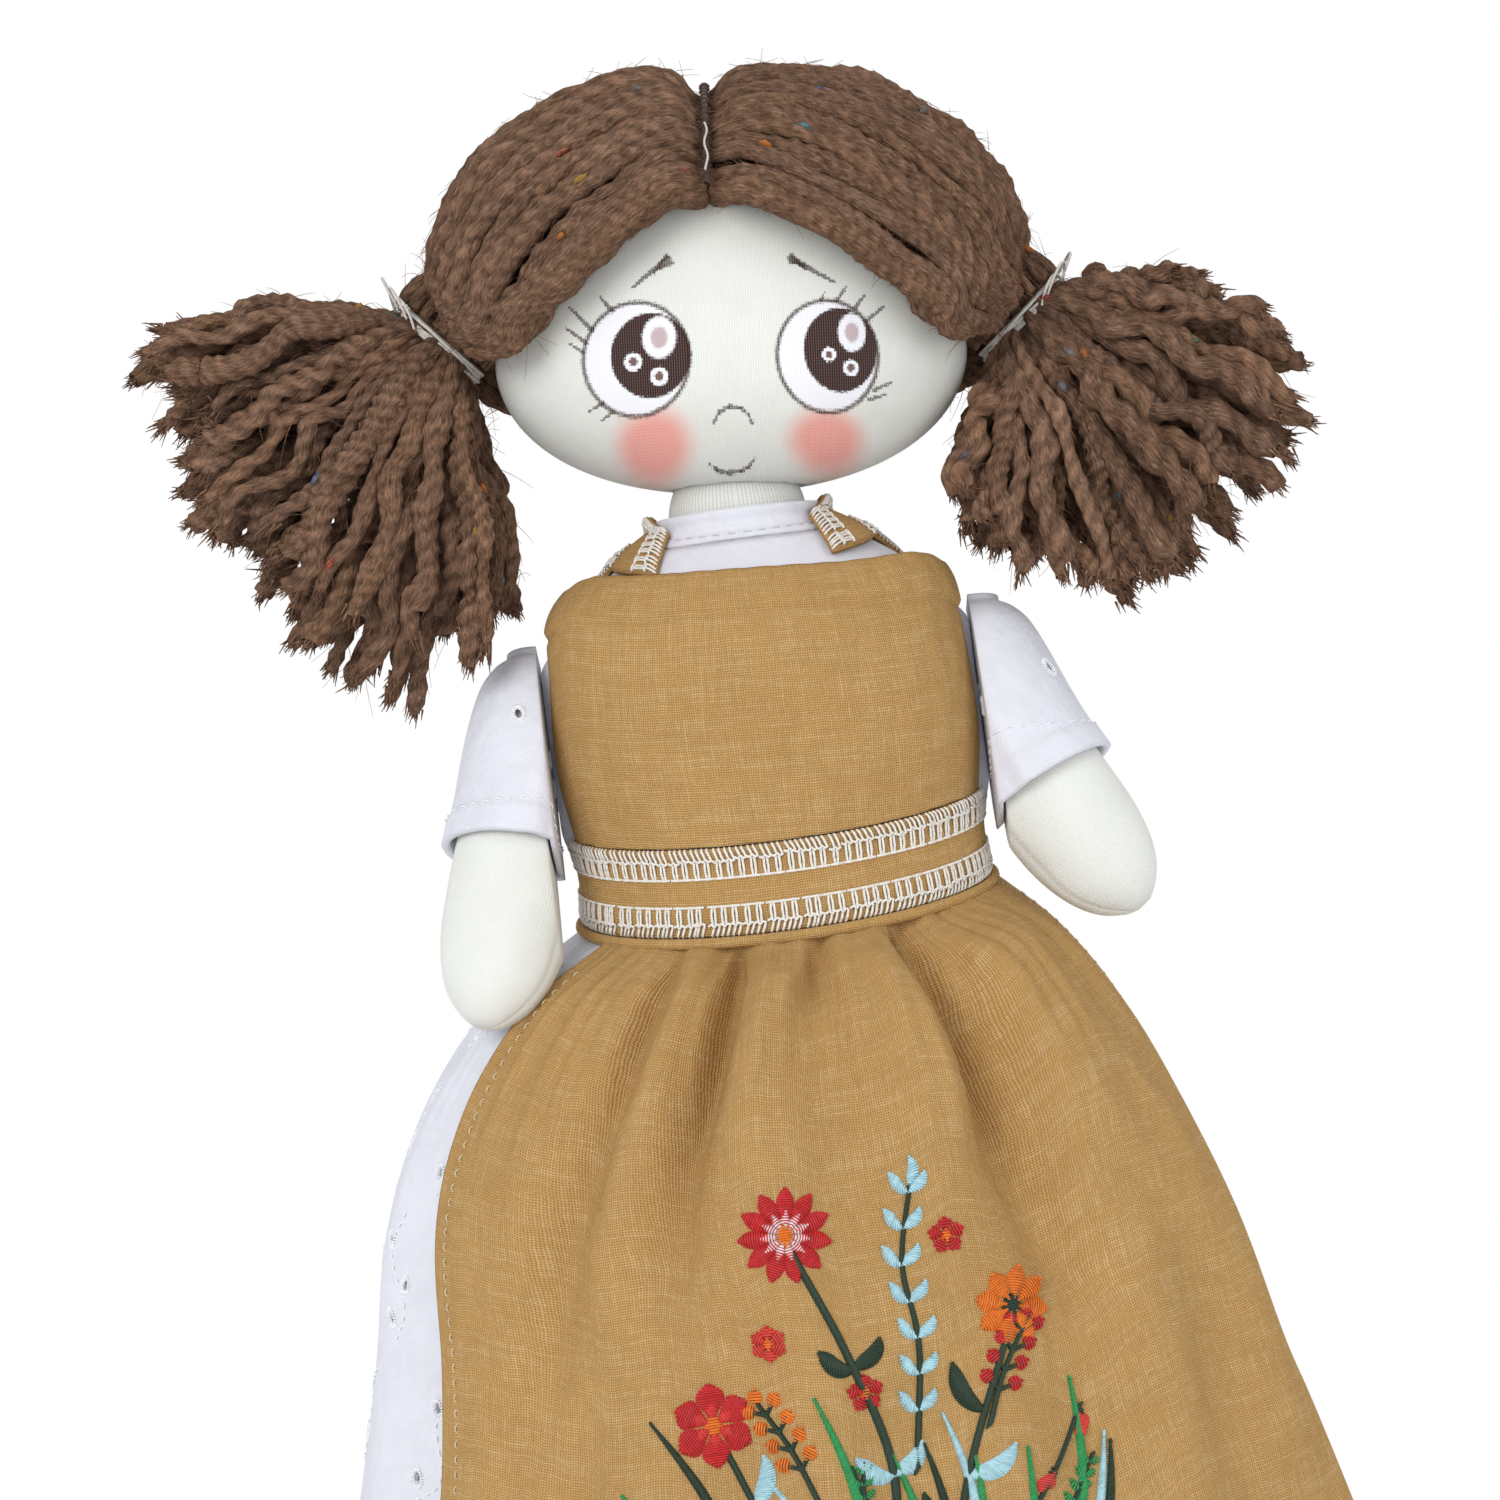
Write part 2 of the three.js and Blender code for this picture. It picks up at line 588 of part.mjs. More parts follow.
// Block in front of the face, under the hairline
function faceOpening() {
  const rise = HAIRLINE_TOP_RISE - HAIRLINE_SIDE_RISE;
  const points = HAIRLINE_SHARES.map(([across, up]) =>
    new THREE.Vector2(HAIRLINE_HALF_WIDTH * across, HAIRLINE_SIDE_RISE + rise * up));
  const mirrored = points.slice(1).reverse().map((point) => new THREE.Vector2(-point.x, point.y));
  const wide = WIG_HALF_WIDTH + CUT_OVERRUN;
  const low = -CUT_OVERRUN;
  const outline = [...mirrored, ...points, new THREE.Vector2(wide, WIG_EDGE_RISE),
    new THREE.Vector2(wide, low), new THREE.Vector2(-wide, low), new THREE.Vector2(-wide, WIG_EDGE_RISE)];
  const depth = WIG_HALF_DEPTH + CUT_OVERRUN;
  const geometry = new THREE.ExtrudeGeometry(new THREE.Shape(outline), { depth, bevelEnabled: false });
  geometry.rotateX(QUARTER_TURN);
  geometry.translate(0, -FACE_OPENING_BACK, 0);
  return geometry;
}

// Block under the wig's lower edge, from the ties down to the nape
function napeOpening() {
  const far = WIG_HALF_DEPTH + CUT_OVERRUN;
  const low = -CUT_OVERRUN;
  const outline = [[-far, low], [far, low], [far, WIG_NAPE_RISE], [WIG_HALF_DEPTH, WIG_NAPE_RISE],
    [-FACE_OPENING_BACK, WIG_EDGE_RISE], [-far, WIG_EDGE_RISE]]
    .map(([back, up]) => new THREE.Vector2(back, up));
  const depth = 2 * (WIG_HALF_WIDTH + CUT_OVERRUN);
  const geometry = new THREE.ExtrudeGeometry(new THREE.Shape(outline), { depth, bevelEnabled: false });
  geometry.rotateX(QUARTER_TURN);
  geometry.rotateZ(QUARTER_TURN);
  geometry.translate(-depth / 2, 0, 0);
  return geometry;
}

function wigForm(offset) {
  return roundedSolid({
    width: WIG_HALF_WIDTH + offset, depth: WIG_HALF_DEPTH + offset, middle: WIG_WIDEST_RISE,
    lower: WIG_LOWER_HEIGHT + offset, upper: WIG_UPPER_HEIGHT + offset, rings: 16, dip: PARTING_DIP,
  });
}

// Half of the wig cap on one side of the parting, with a round seat for its pigtail
function wigHalf(side) {
  const wide = WIG_HALF_WIDTH + CUT_OVERRUN;
  const tall = 4 * CUT_OVERRUN + WIG_UPPER_HEIGHT;
  const otherSide = new THREE.BoxGeometry(wide, 2 * wide, 2 * tall);
  otherSide.translate(-side * (wide / 2 - PARTING_GAP / 2), 0, 0);
  const seat = new THREE.SphereGeometry(PIGTAIL_ROOT_RADIUS + PIGTAIL_SEAT_CLEARANCE, 20, 14);
  seat.translate(side * PIGTAIL_ROOT_OUT, 0, PIGTAIL_ROOT_RISE);
  return cutBy(wigForm(0), [headForm(SEAM_GAP), faceOpening(), napeOpening(), otherSide, seat]);
}

// Thread along the parting, from the hairline over the crown to the nape
function partingStitch() {
  const lift = -PARTING_THREAD_SINK_SHARE * PARTING_THREAD_RADIUS;
  const path = new THREE.CatmullRomCurve3(stepsTo(12).map((share) => {
    const turn = radians(PARTING_START_DEGREES + (PARTING_END_DEGREES - PARTING_START_DEGREES) * share);
    const power = 2 / ROUNDNESS_SHARE;
    const y = (WIG_HALF_DEPTH - PARTING_DIP / 2 + lift) * Math.sign(turn) * Math.abs(Math.sin(turn)) ** power;
    const up = Math.sign(Math.cos(turn)) * Math.abs(Math.cos(turn)) ** power;
    const reach = up > 0 ? WIG_UPPER_HEIGHT - PARTING_DIP + lift : WIG_LOWER_HEIGHT + lift;
    return new THREE.Vector3(0, y, WIG_WIDEST_RISE + reach * up);
  }));
  const section = new THREE.Shape(around(6).map((angle) =>
    new THREE.Vector2(PARTING_THREAD_RADIUS * Math.cos(angle), PARTING_THREAD_RADIUS * Math.sin(angle))));
  return new THREE.ExtrudeGeometry(section, { steps: 20, extrudePath: path });
}

// Pigtail rows: distance from the root, half spread and half depth, as shares
const PIGTAIL_SHARES = [
  [0.18, 0.56, 0.58], [0.26, 0.76, 0.72], [0.38, 0.96, 0.88], [0.5, 1, 1],
  [0.64, 0.94, 0.98], [0.78, 0.76, 0.86], [0.91, 0.5, 0.62], [1, 0.24, 0.3],
];

// Bunch of hair along +Z from its round root, spread flat along X
function pigtailForm(size) {
  const rootRows = between(ROOT_START_DEGREES, ROOT_END_DEGREES, 4).map((turn) => {
    const radius = PIGTAIL_ROOT_RADIUS * Math.cos(radians(turn));
    return [PIGTAIL_ROOT_RADIUS * Math.sin(radians(turn)), radius, radius];
  });
  const throatRows = [PIGTAIL_THROAT_START, PIGTAIL_THROAT_END].map((rise) =>
    [rise, PIGTAIL_THROAT_RADIUS, PIGTAIL_THROAT_RADIUS]);
  const bunchRows = PIGTAIL_SHARES.map(([share, spread, depth]) =>
    [size.length * share, size.spread * spread, PIGTAIL_HALF_DEPTH * depth]);
  const rows = [...rootRows, ...throatRows, ...bunchRows];
  return loftSolid(rows.map(([rise, spread, depth]) => around(PIGTAIL_POINTS).map((angle) =>
    new THREE.Vector3(spread * Math.cos(angle), depth * Math.sin(angle), rise))));
}

// Thin thread wound round the pigtail's throat
function hairTie() {
  const ring = PIGTAIL_THROAT_RADIUS + SEAM_GAP + TIE_THREAD_RADIUS;
  const geometry = new THREE.TorusGeometry(ring, TIE_THREAD_RADIUS, 6, 20);
  return geometry;
}

const ARM_SHARES = [
  [0, 0.34], [0.03, 0.55], [0.09, 0.74], [0.2, 0.86], [0.36, 0.93], [0.5, 0.98], [0.64, 1], [0.77, 0.97],
  [0.87, 0.84], [0.94, 0.63], [0.985, 0.34], [1, 0.15],
];

// Rings of a limb round the arm's bent middle line, from the shoulder down
function armRings(form, shares, grow) {
  const line = (share) => new THREE.Vector3(
    form.lean * share + form.bend * share * share,
    -form.forward * share,
    -form.drop * share,
  );
  return shares.map((share) => {
    const centre = line(share);
    const step = SLOPE_STEP / form.drop;
    const along = line(share + step).sub(line(share - step)).normalize();
    const depthways = new THREE.Vector3(0, 1, 0).cross(along).cross(along).normalize();
    const sideways = depthways.clone().cross(along).normalize();
    const size = tableValue(ARM_SHARES, share, 1);
    return around(LIMB_POINTS).map((angle) => centre.clone()
      .addScaledVector(sideways, (ARM_HALF_WIDTH * size + grow(share)) * Math.cos(angle))
      .addScaledVector(depthways, (ARM_HALF_DEPTH * size + grow(share)) * Math.sin(angle)));
  });
}

// Space beside the torso that the arm never enters, in the arm's own frame
function torsoSide(form) {
  const widest = TORSO_HALF_WIDTH + COVER_OFFSET + LINEN + ARM_SIDE_CLEARANCE;
  const wall = CUT_OVERRUN;
  const tall = 3 * form.drop;
  const box = new THREE.BoxGeometry(wall, tall, tall);
  box.translate(widest - SHOULDER_OUT - wall / 2, 0, 0);
  return box;
}

function turned(geometry, side) {
  const copy = geometry.clone();
  if (side < 0) {
    copy.scale(-1, 1, 1);
    const index = copy.index.array;
    for (let corner = 0; corner < index.length; corner += 3) {
      [index[corner + 1], index[corner + 2]] = [index[corner + 2], index[corner + 1]];
    }
  }
  return copy;
}

// Arm with a round seat at the shoulder, sewn to the side of the bodice
function arm(side, form) {
  const shares = ARM_SHARES.map((row) => row[0]);
  const limb = toManifold(cutBy(loftSolid(armRings(form, shares, () => 0)), [torsoSide(form)]));
  const shoulder = torsoHalves(SHOULDER_HEIGHT - ARM_SEAT_DROP - ARM_SEAT_RADIUS)[0];
  const bodice = shoulder + DRESS_OFFSET + CLOTH + SEAM_GAP;
  const reach = TORSO_HALF_WIDTH + COVER_OFFSET + LINEN + LINEN - bodice;
  const seat = new THREE.CylinderGeometry(ARM_SEAT_RADIUS, ARM_SEAT_RADIUS, reach, 20);
  seat.rotateZ(QUARTER_TURN);
  seat.translate(bodice - SHOULDER_OUT + reach / 2, 0, -ARM_SEAT_DROP);
  return turned(fromManifold(limb.add(toManifold(seat))), side);
}

const SLEEVE_CROWN_SHARE = -0.018;
const SLEEVE_ROW_SHARES = [0, 0.03, 0.09, 0.2, 0.32, 0.44];

// Sleeve from its crown on the shoulder to its cuff, open towards the torso
function sleeve(side, form) {
  const cuff = SLEEVE_DROP / form.drop;
  const rows = SLEEVE_ROW_SHARES.filter((share) => share < cuff);
  const past = 2 * cuff - rows[rows.length - 1];
  const growAt = (base) => (share) => base + SLEEVE_FLARE * Math.max(share, 0) / cuff;
  const outer = [SLEEVE_CROWN_SHARE, ...rows, cuff];
  const inner = [SLEEVE_CROWN_SHARE / 3, ...rows.slice(1), cuff, past];
  const outside = loftSolid(armRings(form, outer, growAt(SEAM_GAP + CLOTH)));
  const inside = loftSolid(armRings(form, inner, growAt(SEAM_GAP)));
  const seatHole = new THREE.CylinderGeometry(ARM_SEAT_RADIUS + SEAM_GAP, ARM_SEAT_RADIUS + SEAM_GAP,
    2 * ARM_SEAT_RADIUS, 20);
  seatHole.rotateZ(QUARTER_TURN);
  seatHole.translate(TORSO_HALF_WIDTH - SHOULDER_OUT, 0, -ARM_SEAT_DROP);
  return turned(cutBy(outside, [inside, torsoSide(form), seatHole]), side);
}

const SHOULDER_ROOM_SHARE = 1.7;

// Room round the shoulders that the pigtails stay out of, so that the arms swing and the head turns
function shoulderRoom() {
  const radius = SHOULDER_OUT + SHOULDER_ROOM_SHARE * ARM_HALF_WIDTH;
  const arm = ARM_HALF_WIDTH + SEAM_GAP + CLOTH + SLEEVE_FLARE;
  const top = SHOULDER_HEIGHT - ARM_SEAT_DROP + arm + PIGTAIL_REST_GAP;
  const room = new THREE.CylinderGeometry(radius, radius, top, RING_POINTS);
  room.rotateX(QUARTER_TURN);
  room.translate(0, 0, top / 2);
  return room;
}

const LEG_SHARES = [[0, 1], [0.3, 0.9], [0.5, 0.8], [0.62, 0.79], [0.8, 0.72], [0.92, 0.63], [1, 0.617]];
const LEG_DROP = HIP_HEIGHT - LEG_END_HEIGHT;

// Radius of the leg at a share of its drop, slimmed evenly towards the ankle
function legRadius(share) {
  const ankleShare = LEG_SHARES[LEG_SHARES.length - 1][1];
  const slim = LEG_ANKLE_RADIUS / LEG_HIP_RADIUS / ankleShare;
  return LEG_HIP_RADIUS * tableValue(LEG_SHARES, share, 1) * (1 + (slim - 1) * share);
}

function leg() {
  const dome = between(LEG_DOME_DEGREES, 0, 5).map((turn) => {
    const rise = radians(turn);
    return [LEG_HIP_RADIUS * Math.sin(rise), LEG_HIP_RADIUS * Math.cos(rise)];
  });
  const lower = LEG_SHARES.slice(1).map(([share]) => [-LEG_DROP * share, legRadius(share)]);
  return loftSolid([...dome, ...lower].map(([rise, radius]) => around(LIMB_POINTS).map((angle) =>
    new THREE.Vector3(radius * Math.sin(angle), -radius * Math.cos(angle), rise))));
}

const SHOE_SHARES = [
  [0, 0.42, 0.62], [0.04, 0.62, 0.85], [0.14, 0.82, 1], [0.34, 0.86, 1], [0.52, 0.88, 0.9],
  [0.7, 0.99, 0.7], [0.85, 0.94, 0.56], [0.95, 0.7, 0.42], [1, 0.42, 0.26],
];

const SHOE_CROWN_SHARE = 0.8;

// Shoe over the foot, flat underneath, with a socket for the leg
function shoe() {
  const height = SHOE_HEIGHT - SOLE_THICKNESS;
  const form = loftSolid(SHOE_SHARES.map(([share, wide, tall]) => around(LIMB_POINTS).map((angle) =>
    new THREE.Vector3(
      SHOE_HALF_WIDTH * wide * Math.cos(angle),
      SHOE_HEEL_BACK - SHOE_LENGTH * share,
      SOLE_THICKNESS + SEAM_GAP + height * tall * Math.max(Math.sin(angle), 0) ** SHOE_CROWN_SHARE,
    ))));
  const socket = new THREE.CylinderGeometry(LEG_ANKLE_RADIUS + SEAM_GAP, LEG_ANKLE_RADIUS + SEAM_GAP,
    2 * SHOE_HEIGHT, LIMB_POINTS);
  socket.rotateX(QUARTER_TURN);
  socket.translate(0, 0, LEG_END_HEIGHT - SEAM_GAP + SHOE_HEIGHT);
  return cutBy(form, [socket]);
}

function sole() {
  const side = SHOE_SHARES.map(([share, wide]) => new THREE.Vector2(
    SHOE_HALF_WIDTH * wide + SOLE_MARGIN,
    SHOE_HEEL_BACK + SOLE_MARGIN - (SHOE_LENGTH + 2 * SOLE_MARGIN) * share,
  ));
  const mirrored = side.slice().reverse().map((point) => new THREE.Vector2(-point.x, point.y));
  return new THREE.ExtrudeGeometry(new THREE.Shape([...side, ...mirrored]),
    { depth: SOLE_THICKNESS, bevelEnabled: false });
}

// Strap round the ankle, just over the shoe
function ankleStrap() {
  const bottom = SHOE_HEIGHT + SEAM_GAP + SOLE_THICKNESS / 2;
  const inside = legRadius((HIP_HEIGHT - bottom) / LEG_DROP) + SEAM_GAP;
  const gridAt = (radius) => between(bottom, bottom + STRAP_HEIGHT, 2).map((height) =>
    around(LIMB_POINTS).map((angle) =>
      new THREE.Vector3(radius * Math.sin(angle), -radius * Math.cos(angle), height)));
  return sheetSolid(gridAt(inside + STRAP_THICKNESS), gridAt(inside), true);
}

function named(name, geometry, look) {
  const material = new THREE.MeshStandardMaterial({ ...look, metalness: 0 });
  const mesh = new THREE.Mesh(geometry, material);
  mesh.name = name;
  return mesh;
}

const doll = new THREE.Group();

// Torso with the dress and the apron
function addClothedTorso() {
  doll.add(
    named('body', torso(), KNIT),
    named('dress_bodice', dressBodice(), COTTON),
    named('dress_neckband', dressNeckband(), COTTON),
    named('dress_skirt', dressSkirt(), COTTON),
    named('apron_bib', apronBib(), FLAX),
    named('apron_waistband', apronWaistband(), FLAX),
    named('apron_skirt', apronSkirt(), FLAX),
    named('strap_left', apronStrap(-1), FLAX),
    named('strap_right', apronStrap(1), FLAX),
    named('bow_tail_left', bowTail(-1), FLAX),
    named('bow_tail_right', bowTail(1), FLAX),
  );
}

function addBow() {
  const bow = new THREE.Group();
  bow.position.set(0, bandBackDepth() + SEAM_GAP + BOW_KNOT_HALF_DEPTH, WAIST_HEIGHT + BAND_RISE);
  bow.add(named('bow_knot', bowKnot(0), FLAX));
  [['bow_loop_left', -1], ['bow_loop_right', 1]].forEach(([name, side]) => {
    bow.add(named(name, bowLoop(side), FLAX));
  });
  doll.add(bow);
}

function pigtailFrame(side) {
  const frame = new THREE.Group();
  frame.position.set(side * PIGTAIL_ROOT_OUT, 0, PIGTAIL_ROOT_RISE);
  frame.rotation.y = side * (QUARTER_TURN + radians(PIGTAIL_DROP_DEGREES));
  return frame;
}

function addHead() {
  const frame = new THREE.Group();
  frame.position.set(0, 0, NECK_BALL_HEIGHT);
  frame.rotation.y = radians(HEAD_TILT_DEGREES);
  frame.add(
    named('head', head(), KNIT),
    named('hair_left', wigHalf(-1), YARN),
    named('hair_right', wigHalf(1), YARN),
    named('parting_stitch', partingStitch(), THREAD),
  );
  [['left', -1, LEFT_PIGTAIL], ['right', 1, RIGHT_PIGTAIL]].forEach(([word, side, size]) => {
    const bunch = pigtailFrame(side);
    frame.add(bunch);
    frame.updateWorldMatrix(true, true);
    const room = shoulderRoom();
    room.applyMatrix4(bunch.matrixWorld.clone().invert());
    bunch.add(named(`pigtail_${word}`, cutBy(pigtailForm(size), [room]), YARN));
    const tie = named(`hair_tie_${word}`, hairTie(), THREAD);
    tie.position.z = (PIGTAIL_THROAT_START + PIGTAIL_THROAT_END) / 2;
    bunch.add(tie);
  });
  doll.add(frame);
  const stem = named('neck', neck(), KNIT);
  stem.position.set(0, 0, NECK_BALL_HEIGHT);
  doll.add(stem);
}

function addArms() {
  [['left', -1, LEFT_ARM], ['right', 1, RIGHT_ARM]].forEach(([word, side, form]) => {
    const shoulder = new THREE.Group();
    shoulder.position.set(side * SHOULDER_OUT, SHOULDER_BACK, SHOULDER_HEIGHT);
    shoulder.add(
      named(`arm_${word}`, arm(side, form), KNIT),
      named(`sleeve_${word}`, sleeve(side, form), COTTON),
    );
    doll.add(shoulder);
  });
}

function addLegs() {
  [['left', -1], ['right', 1]].forEach(([word, side]) => {
    const limb = new THREE.Group();
    limb.position.x = side * LEG_OUT;
    const leggy = named(`leg_${word}`, leg(), KNIT);
    leggy.position.z = HIP_HEIGHT;
    limb.add(
      leggy,
      named(`shoe_${word}`, shoe(), SHOE_FELT),
      named(`sole_${word}`, sole(), SOLE_LEATHER),
      named(`ankle_strap_${word}`, ankleStrap(), SHOE_FELT),
    );
    doll.add(limb);
  });
}

addClothedTorso();
addBow();
addHead();
addArms();
addLegs();

// The origin lies on the floor under the middle of the doll's bounding box
doll.updateWorldMatrix(true, true);
const reach = new THREE.Box3().setFromObject(doll, true);
const middle = reach.getCenter(new THREE.Vector3());
doll.position.set(-middle.x, -middle.y, -reach.min.z);

export default doll;
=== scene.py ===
"""Rag doll with a tweed yarn wig, a white eyelet dress and a linen apron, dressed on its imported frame."""

import logging
import math
from dataclasses import dataclass
from enum import Enum
from typing import Callable, Optional, Sequence, Union

import bpy
import numpy as np
from mathutils import Matrix, Vector
from mathutils.bvhtree import BVHTree


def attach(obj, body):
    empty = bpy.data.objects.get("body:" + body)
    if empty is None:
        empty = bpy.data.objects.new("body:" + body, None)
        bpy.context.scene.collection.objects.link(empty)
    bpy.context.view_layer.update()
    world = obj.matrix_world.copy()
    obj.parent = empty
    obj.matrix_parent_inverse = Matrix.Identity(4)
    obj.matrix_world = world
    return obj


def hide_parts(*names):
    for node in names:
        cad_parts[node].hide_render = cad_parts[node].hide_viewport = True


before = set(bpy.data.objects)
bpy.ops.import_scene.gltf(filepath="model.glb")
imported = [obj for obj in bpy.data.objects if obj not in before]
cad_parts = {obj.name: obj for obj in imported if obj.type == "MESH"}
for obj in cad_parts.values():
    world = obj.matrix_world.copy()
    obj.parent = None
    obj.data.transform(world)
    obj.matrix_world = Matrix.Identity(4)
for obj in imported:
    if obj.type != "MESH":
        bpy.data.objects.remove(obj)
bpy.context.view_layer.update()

Array = np.ndarray
Chance = np.random.Generator
Colour = tuple[float, float, float]
Rows = Sequence[Sequence[float]]
Piece = bpy.types.Object
Node = bpy.types.Node
Tree = bpy.types.NodeTree
Socket = Union[bpy.types.NodeSocket, float, Sequence[float]]
Fill = Callable[["Graph", Sequence[Socket]], Sequence[Socket]]

log = logging.getLogger("doll")
MM = 0.001
AXIS_X = -0.4155205855722528
NECK_HEIGHT = 317.5
TURN = 2 * math.pi
NO_TINT = (0.5, 0.5, 0.5)


class Slot(Enum):
    """Material slots of the record."""

    KNIT = "knit"
    EYELET = "eyelet_cotton"
    LINEN = "apron_linen"
    YARN = "tweed_yarn"
    THREAD = "thread"
    FELT = "shoe_felt"
    LEATHER = "sole_leather"


class Hold(Enum):
    """Ways a sheet of cloth is held."""

    DRAPED = "draped"
    HUNG = "hung"
    GATHERED = "gathered"
    FOLDED = "folded"
    STRETCHED = "stretched"


def smooth(low: float, high: float, value: Array) -> Array:
    """Smooth step from 0 at low to 1 at high."""
    share = np.clip((np.asarray(value, float) - low) / (high - low), 0, 1)
    return share * share * (3 - 2 * share)


def bell(away: Array, half: float) -> Array:
    """Bell curve that is 1 where nothing is away and falls off over a half width."""
    return np.exp(-((away / half) ** 2))


def circle(count: int) -> Array:
    """Angles all round, the last short of a full turn."""
    return np.arange(count) * TURN / count


def around(wide: Array, deep: Array, angle: Array, height: Array) -> Array:
    """Points round an upright axis, at angles from the front."""
    return np.stack(np.broadcast_arrays(wide * np.sin(angle), -deep * np.cos(angle), height), -1)


def turned(u: Array, v: Array, angle: float) -> tuple[Array, Array]:
    """Flat coordinates turned by an angle."""
    c, s = math.cos(angle), math.sin(angle)
    return u * c - v * s, u * s + v * c


def arc(start: Array, end: Array, share: Array) -> Array:
    """Directions along the great arcs from starts to an end, at shares of their length."""
    wide = np.arccos(np.clip(start @ end, -1, 1))[..., None]
    leave, arrive = np.sin((1 - share) * wide) / np.sin(wide), np.sin(share * wide) / np.sin(wide)
    return start[..., None, :] * leave[..., None] + end * arrive[..., None]


def through(keys: Sequence[float], values: Array, wanted: Array) -> Array:
    """Smooth values through rows of points.

    Args:
        keys: Key of each row, rising.
        values: Rows of values, (rows, ...).
        wanted: Keys to read at.

    Returns:
        One row of values for each wanted key.
    """
    key, last = np.asarray(keys, float), len(keys) - 1
    row = np.clip(np.searchsorted(key, wanted, side="left") - 1, 0, last - 1)
    before, after = np.maximum(np.arange(last + 1) - 1, 0), np.minimum(np.arange(last + 1) + 1, last)
    shape = (-1,) + (1,) * (values.ndim - 1)
    slopes = (values[after] - values[before]) / (key[after] - key[before]).reshape(shape)
    span = (key[row + 1] - key[row]).reshape(shape)
    t = ((wanted - key[row]) / span.ravel()).reshape(shape)
    rise = t * t * (3 - 2 * t)
    leave, arrive = t * (1 - t) ** 2 * span * slopes[row], t * t * (t - 1) * span * slopes[row + 1]
    return values[row] * (1 - rise) + values[row + 1] * rise + leave + arrive


def table(rows: Rows, keys: Array, column: int = 1) -> Array:
    """Smooth values of a table's column, one for each key."""
    grid, wanted = np.asarray(rows, float), np.asarray(keys, float)
    held = np.clip(wanted, grid[0, 0], grid[-1, 0])
    return through(grid[:, 0], grid[:, column], held.ravel()).reshape(held.shape)


def unit(vectors: Array) -> Array:
    """Vectors at length one."""
    return vectors / np.maximum(np.linalg.norm(vectors, axis=-1, keepdims=True), 1e-9)


def curve_points(points: Array, count: int) -> Array:
    """Catmull-Rom curve through points.

    Args:
        points: Points to pass through, (n, 3) or (n, 2).
        count: Number of points wanted, evenly spaced in length.

    Returns:
        The curve's points.
    """
    held = np.asarray(points, float)
    held = np.vstack([2 * held[0] - held[1], held, 2 * held[-1] - held[-2]])
    spots = np.linspace(0, len(held) - 3, 8 * len(held))
    index = np.minimum(spots.astype(int), len(held) - 4)
    t = (spots - index)[:, None]
    a, b, c, d = (held[index + step] for step in range(4))
    dense = 0.5 * (2 * b + (c - a) * t + (2 * a - 5 * b + 4 * c - d) * t**2
                   + (3 * b - a - 3 * c + d) * t**3)
    run = np.r_[0, np.cumsum(np.linalg.norm(np.diff(dense, axis=0), axis=1))]
    wanted = np.linspace(0, run[-1], count)
    return np.stack([np.interp(wanted, run, dense[:, axis]) for axis in range(dense.shape[1])], 1)


def link(thing: Piece) -> Piece:
    """Puts an object in the scene."""
    bpy.context.scene.collection.objects.link(thing)
    return thing


